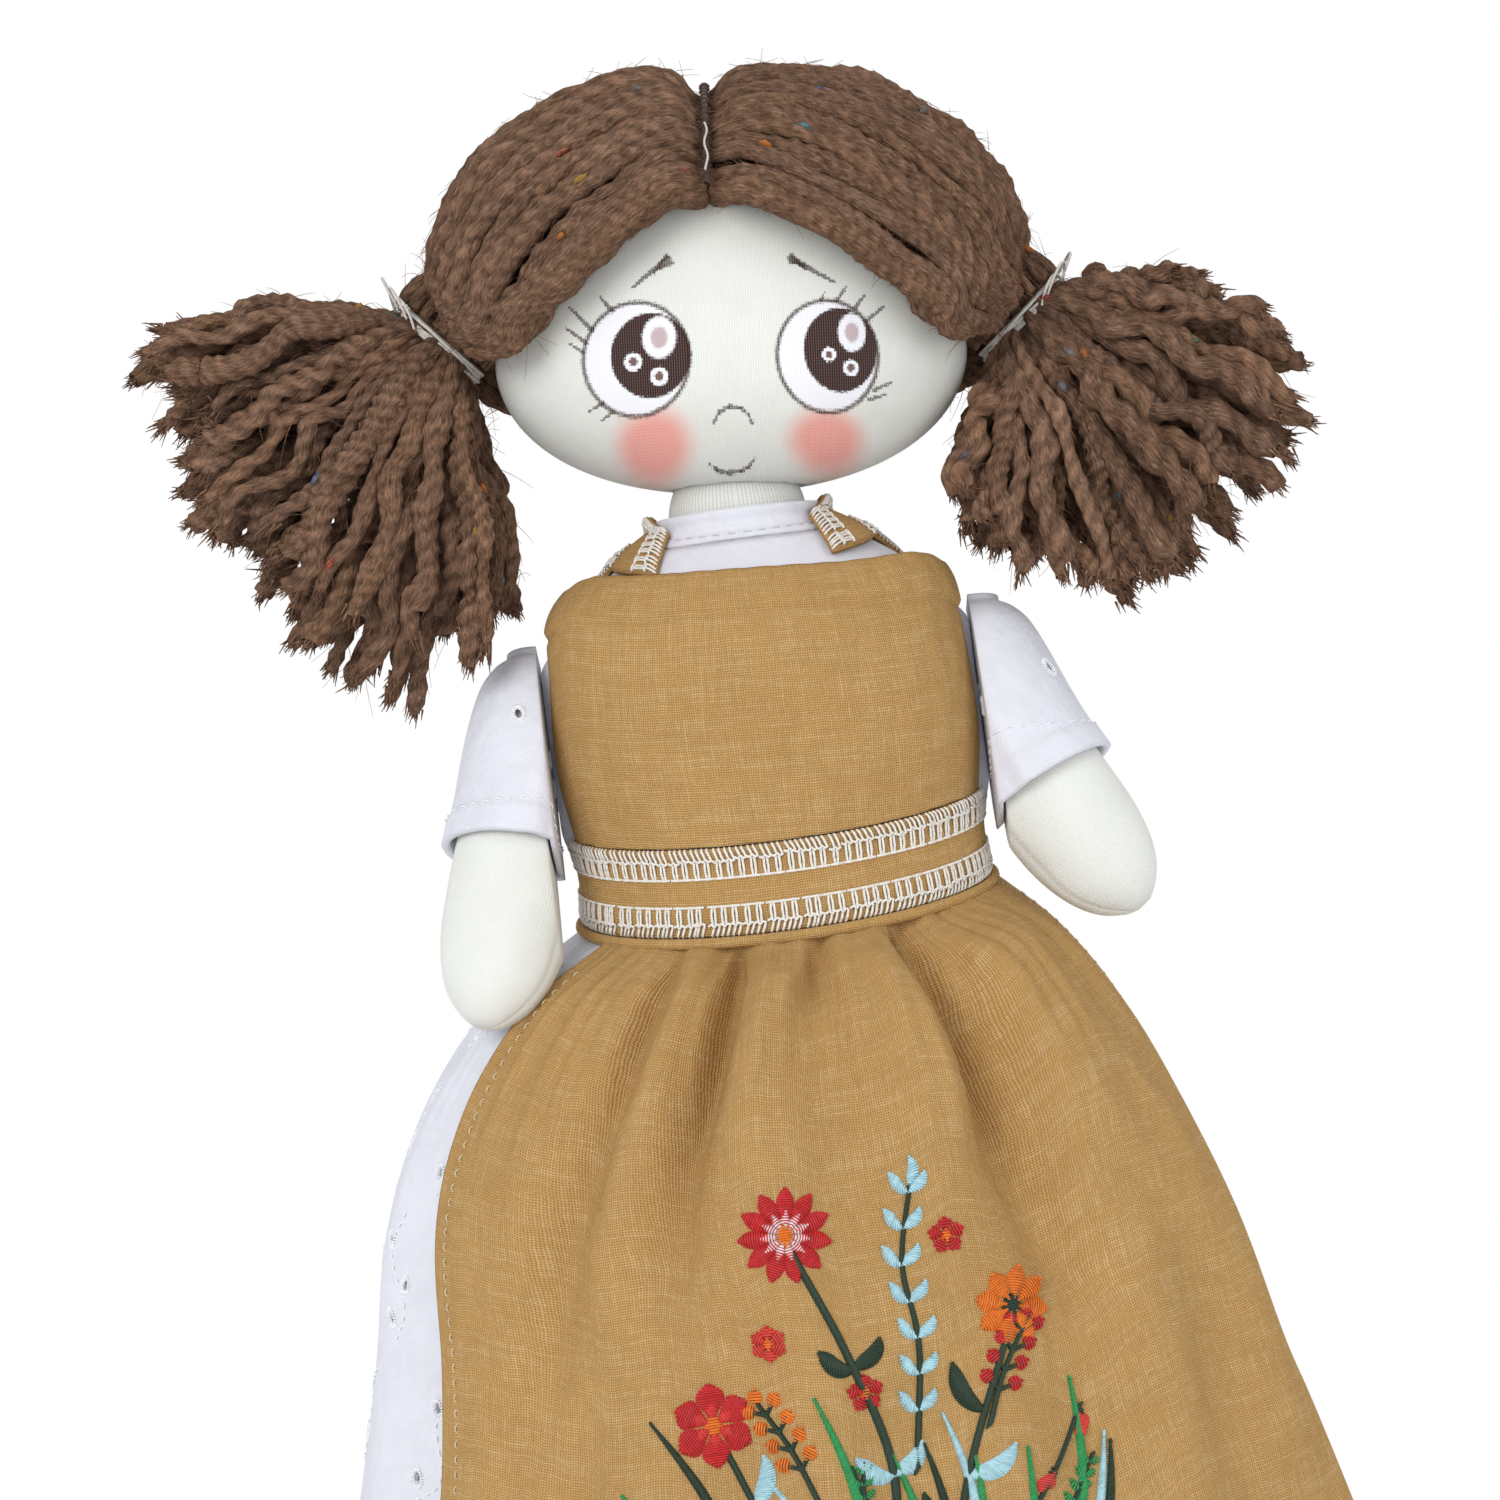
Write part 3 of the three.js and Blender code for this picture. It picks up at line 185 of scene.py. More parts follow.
class Mesher:
    """Collects the points, faces, flat coordinates and tints of one piece, in millimetres."""

    def __init__(self) -> None:
        """Starts an empty piece."""
        self.points: list[Array] = []
        self.faces: list[Array] = []
        self.flat: list[Array] = []
        self.tints: list[Array] = []
        self.looks: list[Array] = []
        self.count = 0

    def add(self, points: Array, faces: Array, flat: Array, tint: Array, look: int = 0) -> None:
        """Adds points and four-cornered faces.

        Args:
            points: Points, (n, 3).
            faces: Corner indexes, (m, 4).
            flat: Flat coordinates of each corner, (m, 4, 2).
            tint: Colour of each point, (n, 3), or one colour.
            look: Index of the faces' material.
        """
        colours = np.ones((len(points), 4))
        colours[:, :3] = tint
        self.points.append(points)
        self.faces.append(faces + self.count)
        self.flat.append(flat)
        self.tints.append(colours)
        self.looks.append(np.full(len(faces), look))
        self.count += len(points)

    def grid(self, points: Array, flat: Optional[Array] = None, wraps: bool = False, flip: bool = False,
             keep: Optional[Array] = None, tint: Sequence[float] = NO_TINT, look: int = 0) -> None:
        """Adds a grid of points as a surface.

        Args:
            points: Points, (rows, columns, 3).
            flat: Flat coordinates, with one column more where the grid wraps.
            wraps: Whether the last column joins the first.
            flip: Whether the faces look the other way.
            keep: Which faces stay, (rows - 1, faces across).
            tint: Colour of the surface.
            look: Index of the faces' material.
        """
        rows, columns = points.shape[:2]
        across = columns if wraps else columns - 1
        if flat is None:
            flat = flat_of(points, wraps)
        row, column = np.meshgrid(np.arange(rows - 1), np.arange(across), indexing="ij")
        after = (column + 1) % columns
        faces = np.stack([row * columns + column, row * columns + after,
                          (row + 1) * columns + after, (row + 1) * columns + column], -1)
        corners = np.stack([flat[row, column], flat[row, column + 1],
                            flat[row + 1, column + 1], flat[row + 1, column]], 2)
        if keep is not None:
            faces, corners = faces[keep], corners[keep]
        faces, corners = faces.reshape(-1, 4), corners.reshape(-1, 4, 2)
        if flip:
            faces, corners = faces[:, ::-1], corners[:, ::-1]
        self.add(points.reshape(-1, 3), faces, corners, tint, look)

    def cloth(self, outer: Array, inner: Array, wraps: bool = False, keep: Optional[Array] = None) -> None:
        """Adds a closed layer of cloth between two grids, whose rows run downwards.

        Args:
            outer: Outside points, (rows, columns, 3).
            inner: Inside points, of the same shape.
            wraps: Whether the last column joins the first.
            keep: Which faces stay.
        """
        rows, columns = outer.shape[:2]
        flat = flat_of(outer, wraps)
        keep = np.ones((rows - 1, columns if wraps else columns - 1), bool) if keep is None else keep
        row, column = np.nonzero(keep)
        after = (column + 1) % columns
        corner = {"a": (row, column, column), "b": (row, after, column + 1),
                  "c": (row + 1, after, column + 1), "d": (row + 1, column, column)}
        index = {word: spot[0] * columns + spot[1] for word, spot in corner.items()}
        place = {word: flat[spot[0], spot[2]] for word, spot in corner.items()}
        inside = rows * columns
        faces = [np.stack([index[word] for word in "dcba"], -1),
                 np.stack([index[word] + inside for word in "abcd"], -1)]
        places = [np.stack([place[word] for word in order], 1) for order in ("dcba", "abcd")]
        ringed = np.pad(keep, ((1, 1), (0, 0)))
        ringed = np.pad(ringed, ((0, 0), (1, 1)), "wrap") if wraps else np.pad(ringed, ((0, 0), (1, 1)))
        for start, end, up, across in (("a", "b", 0, 1), ("b", "c", 1, 2), ("c", "d", 2, 1),
                                       ("d", "a", 1, 0)):
            bare = ~ringed[row + up, column + across]
            faces.append(np.stack([index[start], index[end], index[end] + inside,
                                   index[start] + inside], -1)[bare])
            near, far = place[start], place[end]
            places.append(np.stack([near, far, far + 0.4, near + 0.4], 1)[bare])
        self.add(np.concatenate([outer.reshape(-1, 3), inner.reshape(-1, 3)]), np.concatenate(faces),
                 np.concatenate(places), NO_TINT)

    def skin(self, rings: Array, flip: bool = True) -> None:
        """Adds closed rings whose ends are drawn together."""
        self.grid(loft(rings), None, True, flip)

    def tubes(self, paths: Array, radii: Array, sides: int = 6, tint: Sequence[float] = NO_TINT,
              plies: int = 0, lay: float = 0.35, depth: float = 0.16, look: int = 0,
              shade: float = 0.0) -> None:
        """Adds round threads or strands along paths.

        Args:
            paths: Middle lines, (count, steps, 3).
            radii: Radius at each step, one number or an array that fits (count, steps).
            sides: Points round each tube.
            tint: Colour of each tube, (count, 3), or one colour.
            plies: Number of twisted plies that show, or 0 for a smooth tube.
            lay: Turns of the plies in each millimetre.
            depth: Depth of the grooves between plies, as a share of the radius.
            look: Index of the faces' material.
            shade: Share of the colour darkened in the grooves between plies, as painted shade.
        """
        count, steps = paths.shape[:2]
        radii = np.broadcast_to(np.asarray(radii, float), (count, steps))
        along = unit(np.gradient(paths, axis=1))
        normal = np.zeros_like(along)
        seed = np.where(np.abs(along[:, :1, 2:]) < 0.9, [[[0.0, 0.0, 1.0]]], [[[1.0, 0.0, 0.0]]])[:, 0]
        for step in range(steps):
            seed = unit(seed - along[:, step] * np.sum(seed * along[:, step], -1, keepdims=True))
            normal[:, step] = seed
        across = np.cross(along, normal)
        run = np.zeros((count, steps))
        run[:, 1:] = np.cumsum(np.linalg.norm(np.diff(paths, axis=1), axis=2), axis=1)
        turn = np.arange(sides) * TURN / sides
        size = np.ones((count, steps, sides))
        if plies:
            size += depth * np.cos(plies * (turn - TURN * lay * run[..., None]))
        reach = (radii[..., None] * size)[..., None]
        ring = (paths[:, :, None] + reach * (normal[:, :, None] * np.cos(turn)[:, None]
                                             + across[:, :, None] * np.sin(turn)[:, None]))
        tube, step, side = np.meshgrid(np.arange(count), np.arange(steps - 1), np.arange(sides),
                                       indexing="ij")
        base, after = (tube * steps + step) * sides, (side + 1) % sides
        faces = np.stack([base + side, base + after, base + sides + after, base + sides + side], -1)
        girth = TURN * radii.mean(1)[:, None, None] / sides
        u = np.broadcast_to(tube * 7.3 + side * girth, tube.shape)
        v0 = np.broadcast_to(run[:, :-1, None], tube.shape)
        v1 = np.broadcast_to(run[:, 1:, None], tube.shape)
        flat = np.stack([np.stack([u, v0], -1), np.stack([u + girth, v0], -1),
                         np.stack([u + girth, v1], -1), np.stack([u, v1], -1)], -2)
        colours = np.repeat(np.broadcast_to(tint, (count, 3)), steps * sides, axis=0)
        # painted shade: the colour darkens in the grooves between the plies
        if plies:
            colours = colours * (1 - shade * (1 - (size - 1) / depth) / 2).reshape(-1, 1)
        self.add(ring.reshape(-1, 3), faces.reshape(-1, 4), flat.reshape(-1, 4, 2), colours, look)

    def build(self, name: str, looks: Sequence[bpy.types.Material],
              extra: Optional[dict[str, Callable[[Array], Array]]] = None) -> Piece:
        """Makes the object, moved to the doll's place.

        Args:
            name: Name of the piece.
            looks: Its materials.
            extra: More flat coordinates by name, each a function of the points in millimetres.

        Returns:
            The new object.
        """
        points, faces = np.vstack(self.points), np.vstack(self.faces)
        mesh = bpy.data.meshes.new(name)
        mesh.vertices.add(len(points))
        mesh.vertices.foreach_set("co", ((points + (AXIS_X, 0, 0)) * MM).astype(np.float32).ravel())
        mesh.loops.add(faces.size)
        mesh.loops.foreach_set("vertex_index", faces.astype(np.int32).ravel())
        mesh.polygons.add(len(faces))
        mesh.polygons.foreach_set("loop_start", np.arange(0, faces.size, 4, dtype=np.int32))
        mesh.polygons.foreach_set("material_index", np.concatenate(self.looks).astype(np.int32))
        mesh.polygons.foreach_set("use_smooth", np.ones(len(faces), bool))
        mesh.update(calc_edges=True)
        mesh.uv_layers.new(name="flat").data.foreach_set(
            "uv", np.concatenate(self.flat).astype(np.float32).ravel())
        for word, place in (extra or {}).items():
            layer = mesh.uv_layers.new(name=word)
            layer.data.foreach_set("uv", place(points)[faces.ravel()].astype(np.float32).ravel())
        mesh.attributes.new("tint", "FLOAT_COLOR", "POINT").data.foreach_set(
            "color", np.vstack(self.tints).astype(np.float32).ravel())
        for look in looks:
            mesh.materials.append(look)
        return link(bpy.data.objects.new(name, mesh))

    def piece(self, name: str, look: "Finish", body: str, slot: Slot, *nodes: str) -> Piece:
        """Makes the piece in one finish, on its body, and hides the solids that it stands for."""
        return settle(self.build(name, [look.make()]), body, slot, *nodes)

    def tree(self) -> BVHTree:
        """Search tree of the faces, in millimetres."""
        return BVHTree.FromPolygons(np.vstack(self.points).tolist(), np.vstack(self.faces).tolist())


def flat_of(points: Array, wraps: bool) -> Array:
    """Flat coordinates of a grid, from the lengths along its middle row and its columns.

    Args:
        points: Points, (rows, columns, 3).
        wraps: Whether the last column joins the first.

    Returns:
        Coordinates in millimetres, (rows, columns, 2), with one column more where the grid wraps.
    """
    held = np.concatenate([points, points[:, :1]], 1) if wraps else points
    across = np.linalg.norm(np.diff(held, axis=1), axis=2)
    row = across[int(len(across) * 0.6)]
    u = np.r_[0, np.cumsum(row)]
    down = np.linalg.norm(np.diff(held, axis=0), axis=2)
    v = np.vstack([np.zeros(held.shape[1]), np.cumsum(down, axis=0)])
    return np.stack([np.broadcast_to(u - u[-1] / 2, v.shape), v], -1)


def loft(rings: Array) -> Array:
    """Closed rings, (rows, columns, 3), with two rows more at each end that draw it together."""
    first, last = rings[0].mean(0), rings[-1].mean(0)
    start = [first + (rings[0] - first) * share for share in (0.02, 0.6)]
    end = [last + (rings[-1] - last) * share for share in (0.6, 0.02)]
    return np.concatenate([np.stack(start), rings, np.stack(end)])


def settle(piece: Piece, body: str, slot: Slot, *nodes: str) -> Piece:
    """Attaches a piece to its body and hides the solids that it stands for.

    Args:
        piece: The piece.
        body: Body that it rides on.
        slot: Not used.
        *nodes: Solids that it replaces.

    Returns:
        The piece.
    """
    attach(piece, body)
    if nodes:
        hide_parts(*nodes)
    log.info("%s: %d faces", piece.name, len(piece.data.polygons))
    return piece


class Graph:
    """Short calls that add nodes to one node tree."""

    def __init__(self, tree: Tree) -> None:
        """Starts with an empty tree."""
        self.tree = tree
        tree.nodes.clear()

    def add(self, kind: str, *values: Optional[Socket], **facts: object) -> Node:
        """Adds a node.

        Args:
            kind: Type of the node.
            *values: Its inputs in order, each a socket, a value or None.
            **facts: Its properties.

        Returns:
            The node.
        """
        node = self.tree.nodes.new(kind)
        for name, fact in facts.items():
            setattr(node, name, fact)
        for index, value in enumerate(values):
            if value is not None:
                self.put(node.inputs[index], value)
        return node

    def put(self, socket: bpy.types.NodeSocket, value: Socket) -> None:
        """Links a socket or sets its value."""
        if isinstance(value, bpy.types.NodeSocket):
            self.tree.links.new(value, socket)
        elif socket.type == "RGBA" and not isinstance(value, (int, float)):
            socket.default_value = (*value, 1) if len(value) == 3 else value
        else:
            socket.default_value = value

    def math(self, kind: str, a: Socket, b: Optional[Socket] = None, c: Optional[Socket] = None) -> Socket:
        """Result of a math node."""
        return self.add("ShaderNodeMath", a, b, c, operation=kind).outputs[0]

    def times(self, a: Socket, b: Socket) -> Socket:
        """Product of two values."""
        return self.math("MULTIPLY", a, b)

    def plus(self, a: Socket, b: Socket) -> Socket:
        """Sum of two values."""
        return self.math("ADD", a, b)

    def vector(self, kind: str, a: Socket, b: Optional[Socket] = None) -> Socket:
        """Result of a vector math node."""
        return self.add("ShaderNodeVectorMath", a, b, operation=kind).outputs[0]

    def measure(self, kind: str, a: Socket, b: Optional[Socket] = None) -> Socket:
        """Length or dot product of vectors."""
        return self.add("ShaderNodeVectorMath", a, b, operation=kind).outputs["Value"]

    def scale(self, a: Socket, factor: Socket) -> Socket:
        """Vector times a value."""
        return self.add("ShaderNodeVectorMath", a, None, None, factor, operation="SCALE").outputs[0]

    def split(self, a: Socket) -> tuple[Socket, Socket]:
        """First two parts of a vector."""
        return tuple(self.add("ShaderNodeSeparateXYZ", a).outputs)[:2]

    def join(self, x: Socket, y: Socket, z: float) -> Socket:
        """Vector of three parts."""
        return self.add("ShaderNodeCombineXYZ", x, y, z).outputs[0]

    def span(self, value: Socket, low: float, high: float, start: float = 0.0, end: float = 1.0) -> Socket:
        """Value moved smoothly from low..high to start..end."""
        return self.add("ShaderNodeMapRange", value, low, high, start, end,
                        interpolation_type="SMOOTHSTEP").outputs[0]

    def mix(self, share: Socket, a: Socket, b: Socket, kind: str = "MIX") -> Socket:
        """Mix of two colours."""
        node = self.add("ShaderNodeMix", data_type="RGBA", blend_type=kind)
        self.put(node.inputs[0], share)
        self.put(node.inputs[6], a)
        self.put(node.inputs[7], b)
        return node.outputs[2]

    def noise(self, place: Socket, scale: float, detail: float = 2.0, rough: float = 0.5) -> Socket:
        """Value of a noise texture."""
        return self.add("ShaderNodeTexNoise", place, None, scale, detail, rough).outputs[0]

    def group(self, tree: Tree, *values: Optional[Socket]) -> Node:
        """Adds a node group with its inputs in order."""
        node = self.tree.nodes.new("ShaderNodeGroup")
        node.node_tree = tree
        for socket, value in zip(node.inputs, values):
            if value is not None:
                self.put(socket, value)
        return node

    def flat(self, name: str = "flat") -> Socket:
        """Flat coordinates of the piece, in millimetres."""
        return self.add("ShaderNodeUVMap", uv_map=name).outputs[0]

    def place(self) -> Socket:
        """Place on the doll, in millimetres."""
        return self.vector("MULTIPLY", self.add("ShaderNodeTexCoord").outputs["Object"], (1000.0,) * 3)

    def tint(self) -> Socket:
        """Colour that the mesh gives."""
        return self.add("ShaderNodeAttribute", attribute_name="tint").outputs["Color"]


def effect(inputs: dict[str, Optional[float]], *outputs: str) -> Callable[[Fill], Callable[[], Tree]]:
    """Turns a function that fills a shader node group into one that gives the group, made once.

    Args:
        inputs: First value of each input by its name, or None for a vector.
        *outputs: Names of the outputs.

    Returns:
        The wrapper of the filling function, whose name becomes the group's.
    """

    def wrap(fill: Fill) -> Callable[[], Tree]:
        """Wraps the filling function."""

        def made() -> Tree:
            """The group, found again by its name."""
            tree = bpy.data.node_groups.get(fill.__name__)
            if tree:
                return tree
            tree = bpy.data.node_groups.new(fill.__name__, "ShaderNodeTree")
            for word, value in inputs.items():
                kind = "NodeSocketVector" if value is None else "NodeSocketFloat"
                socket = tree.interface.new_socket(word, in_out="INPUT", socket_type=kind)
                if value is not None:
                    socket.default_value = value
            for word in outputs:
                tree.interface.new_socket(word, in_out="OUTPUT", socket_type="NodeSocketFloat")
            graph = Graph(tree)
            entry = graph.add("NodeGroupInput")
            graph.add("NodeGroupOutput", *fill(graph, entry.outputs))
            return tree

        return made

    return wrap


@effect({"Place": None, "Across": 0.45, "Along": 0.45, "Uneven": 0.4}, "Height", "Gap", "Slub")
def thread_weave(graph: Graph, given: Sequence[Socket]) -> Sequence[Socket]:
    """Plain weave of uneven threads that cross over and under, over flat millimetres."""
    place, across, along, uneven = given[:4]
    drift = graph.add("ShaderNodeTexNoise", place, None, 0.35, 2.0).outputs["Color"]
    drift = graph.scale(graph.vector("SUBTRACT", drift, (0.5, 0.5, 0.5)), uneven)
    cell_u, cell_v = graph.split(graph.vector("ADD", place, drift))
    u, v = graph.math("DIVIDE", cell_u, across), graph.math("DIVIDE", cell_v, along)
    bump_u, bump_v = (graph.math("ABSOLUTE", graph.math("SINE", graph.times(line, math.pi)))
                      for line in (u, v))
    column, row = graph.math("FLOOR", u), graph.math("FLOOR", v)
    over = graph.math("FLOORED_MODULO", graph.plus(column, row), 2.0)
    under = graph.math("SUBTRACT", 1.0, over)
    warp = graph.times(bump_u, graph.plus(0.45, graph.times(graph.times(bump_v, over), 0.55)))
    weft = graph.times(bump_v, graph.plus(0.45, graph.times(graph.times(bump_u, under), 0.55)))
    height = graph.math("MAXIMUM", warp, weft)
    gap = graph.span(height, 0.15, 0.62, 1.0, 0.0)
    thread_u = graph.noise(graph.join(column, graph.times(v, 0.05), 0.0), 0.9, 1.0)
    thread_v = graph.noise(graph.join(graph.times(u, 0.05), row, 5.0), 0.9, 1.0)
    return height, gap, graph.times(graph.plus(thread_u, thread_v), 0.5)


@effect({"Place": None, "Wale": 0.43, "Course": 0.5}, "Height", "Gap")
def knit_wales(graph: Graph, given: Sequence[Socket]) -> Sequence[Socket]:
    """Columns of fine knit stitches with small slanted loops, over flat millimetres."""
    place, wale, course = given[:3]
    cell_u, cell_v = graph.split(place)
    across, v = graph.math("FRACT", graph.math("DIVIDE", cell_u, wale)), graph.math("DIVIDE", cell_v, course)
    slant = graph.math("ABSOLUTE", graph.math("SUBTRACT", across, 0.5))
    loop = graph.math("SINE", graph.times(graph.plus(v, slant), TURN))
    rib = graph.math("SINE", graph.times(across, math.pi))
    height = graph.times(rib, graph.math("MULTIPLY_ADD", loop, 0.25, 0.75))
    return height, graph.span(height, 0.1, 0.55, 1.0, 0.0)


@effect({"Place": None, "Scale": 2.0, "Stretch": 4.0}, "Height", "Strand")
def fibre_fuzz(graph: Graph, given: Sequence[Socket]) -> Sequence[Socket]:
    """Loose fibres: fine noise drawn out along the second flat coordinate."""
    place, scale, stretch = given[:3]
    cell_u, cell_v = graph.split(place)
    along = graph.math("DIVIDE", graph.times(cell_v, scale), stretch)
    fine = graph.noise(graph.join(graph.times(cell_u, scale), along, 0.0), 1.0, 3.0, 0.65)
    return fine, graph.span(fine, 0.42, 0.72)


@effect({"Place": None, "Size": 20.0}, "Tone")
def soft_tone(graph: Graph, given: Sequence[Socket]) -> Sequence[Socket]:
    """Broad soft change of tone over a piece, from two sizes of noise."""
    place, size = given[:2]
    held = graph.scale(place, graph.math("DIVIDE", 1.0, size))
    return (graph.span(graph.plus(graph.noise(held, 1.0), graph.noise(held, 3.7)), 0.7, 1.3),)


@effect({"Place": None, "Centre": None, "Radii": None, "Feather": 0.05}, "Ink", "Reach")
def ink_spot(graph: Graph, given: Sequence[Socket]) -> Sequence[Socket]:
    """Soft oval of printed ink, from the distance to its centre as a share of its radii."""
    place, centre, radii, feather = given[:4]
    reach = graph.measure("LENGTH", graph.vector("DIVIDE", graph.vector("SUBTRACT", place, centre), radii))
    low, high = graph.math("SUBTRACT", 1.0, feather), graph.plus(1.0, feather)
    return graph.span(reach, low, high, 1.0, 0.0), reach


@effect({"Place": None, "Start": None, "End": None, "Radius": 0.3}, "Ink")
def ink_stroke(graph: Graph, given: Sequence[Socket]) -> Sequence[Socket]:
    """Short straight stroke of printed ink that thins towards its end."""
    place, start, end, radius = given[:4]
    line, away = graph.vector("SUBTRACT", end, start), graph.vector("SUBTRACT", place, start)
    along, length = graph.measure("DOT_PRODUCT", away, line), graph.measure("DOT_PRODUCT", line, line)
    share = graph.add("ShaderNodeClamp", graph.math("DIVIDE", along, length)).outputs[0]
    off = graph.measure("LENGTH", graph.vector("SUBTRACT", away, graph.scale(line, share)))
    half = graph.times(radius, graph.math("MULTIPLY_ADD", share, -0.55, 1.0))
    return (graph.span(off, graph.times(half, 0.7), graph.times(half, 1.3), 1.0, 0.0),)


def srgb(red: float, green: float, blue: float) -> Colour:
    """Linear colour of an sRGB colour from 0 to 255."""
    return tuple(float(np.where(c <= 10.31475, c / 3294.6, ((c / 255 + 0.055) / 1.055) ** 2.4))
                 for c in (red, green, blue))


@dataclass(frozen=True)
class Finish:
    """Base of the finishes: a matt cloth-like surface with its own sheen."""

    name: str
    roughness: float = 0.9
    sheen: float = 0.05
    shine: float = 0.1
    sheen_tint: Colour = (1.0, 1.0, 1.0)

    def start(self) -> tuple[Graph, Node]:
        """New material's graph and its surface shader."""
        material = bpy.data.materials.new(self.name)
        material.use_nodes = True
        graph = Graph(material.node_tree)
        surface = graph.add("ShaderNodeBsdfPrincipled")
        surface.inputs["Roughness"].default_value = self.roughness
        surface.inputs["Sheen Weight"].default_value = self.sheen
        surface.inputs["Sheen Roughness"].default_value = 0.6
        surface.inputs["Sheen Tint"].default_value = (*self.sheen_tint, 1)
        surface.inputs["Specular IOR Level"].default_value = self.shine
        graph.add("ShaderNodeOutputMaterial", surface.outputs[0])
        return graph, surface

    def dress(self, graph: Graph, surface: Node) -> None:
        """Adds the finish's own colour and relief to the surface shader."""

    def cover(self, graph: Graph, surface: Node, colour: Socket, height: Socket, depth: float,
              strength: float) -> None:
        """Gives the surface its colour and its relief.

        Args:
            graph: Graph of the material.
            surface: Its surface shader.
            colour: Colour over the surface.
            height: Relief from 0 to 1.
            depth: Depth of the relief in millimetres.
            strength: Strength of the bump.
        """
        bump = graph.add("ShaderNodeBump")
        bump.inputs["Strength"].default_value = strength
        bump.inputs["Distance"].default_value = depth * MM
        graph.put(bump.inputs["Height"], height)
        graph.put(surface.inputs["Normal"], bump.outputs[0])
        graph.put(surface.inputs["Base Color"], colour)

    def make(self) -> bpy.types.Material:
        """The finish's material, made once."""
        found = bpy.data.materials.get(self.name)
        if found:
            return found
        graph, surface = self.start()
        self.dress(graph, surface)
        return bpy.data.materials[self.name]


@dataclass(frozen=True)
class Knit(Finish):
    """Fine off-white knit of the stuffed pieces."""

    colour: Colour = srgb(234, 235, 229)
    wale: float = 0.43
    course: float = 0.5
    grooves: float = 0.13

    def cloth(self, graph: Graph) -> tuple[Socket, Socket]:
        """Colour and relief of the bare knit, with painted shade in the grooves between the wales."""
        wales = graph.group(knit_wales(), graph.flat(), self.wale, self.course)
        tone = graph.group(soft_tone(), graph.place(), 22.0)
        bare = graph.mix(tone.outputs[0], self.colour, [c * 0.95 for c in self.colour])
        # painted shade: the knit darkens in the grooves between the wales
        dark = [self.colour[0] * 0.72, self.colour[1] * 0.74, self.colour[2] * 0.74]
        share = graph.times(wales.outputs["Gap"], self.grooves * 3.6)
        return graph.mix(share, bare, dark), wales.outputs["Height"]

    def dress(self, graph: Graph, surface: Node) -> None:
        """Bare knit."""
        colour, height = self.cloth(graph)
        self.cover(graph, surface, colour, height, self.grooves, 0.4)


@dataclass(frozen=True)
class Eye:
    """One printed eye, in millimetres on the face."""

    outline: tuple[float, float, float, float]
    iris: tuple[float, float, float, float]
    shines: tuple[tuple[float, float, float, float], ...]


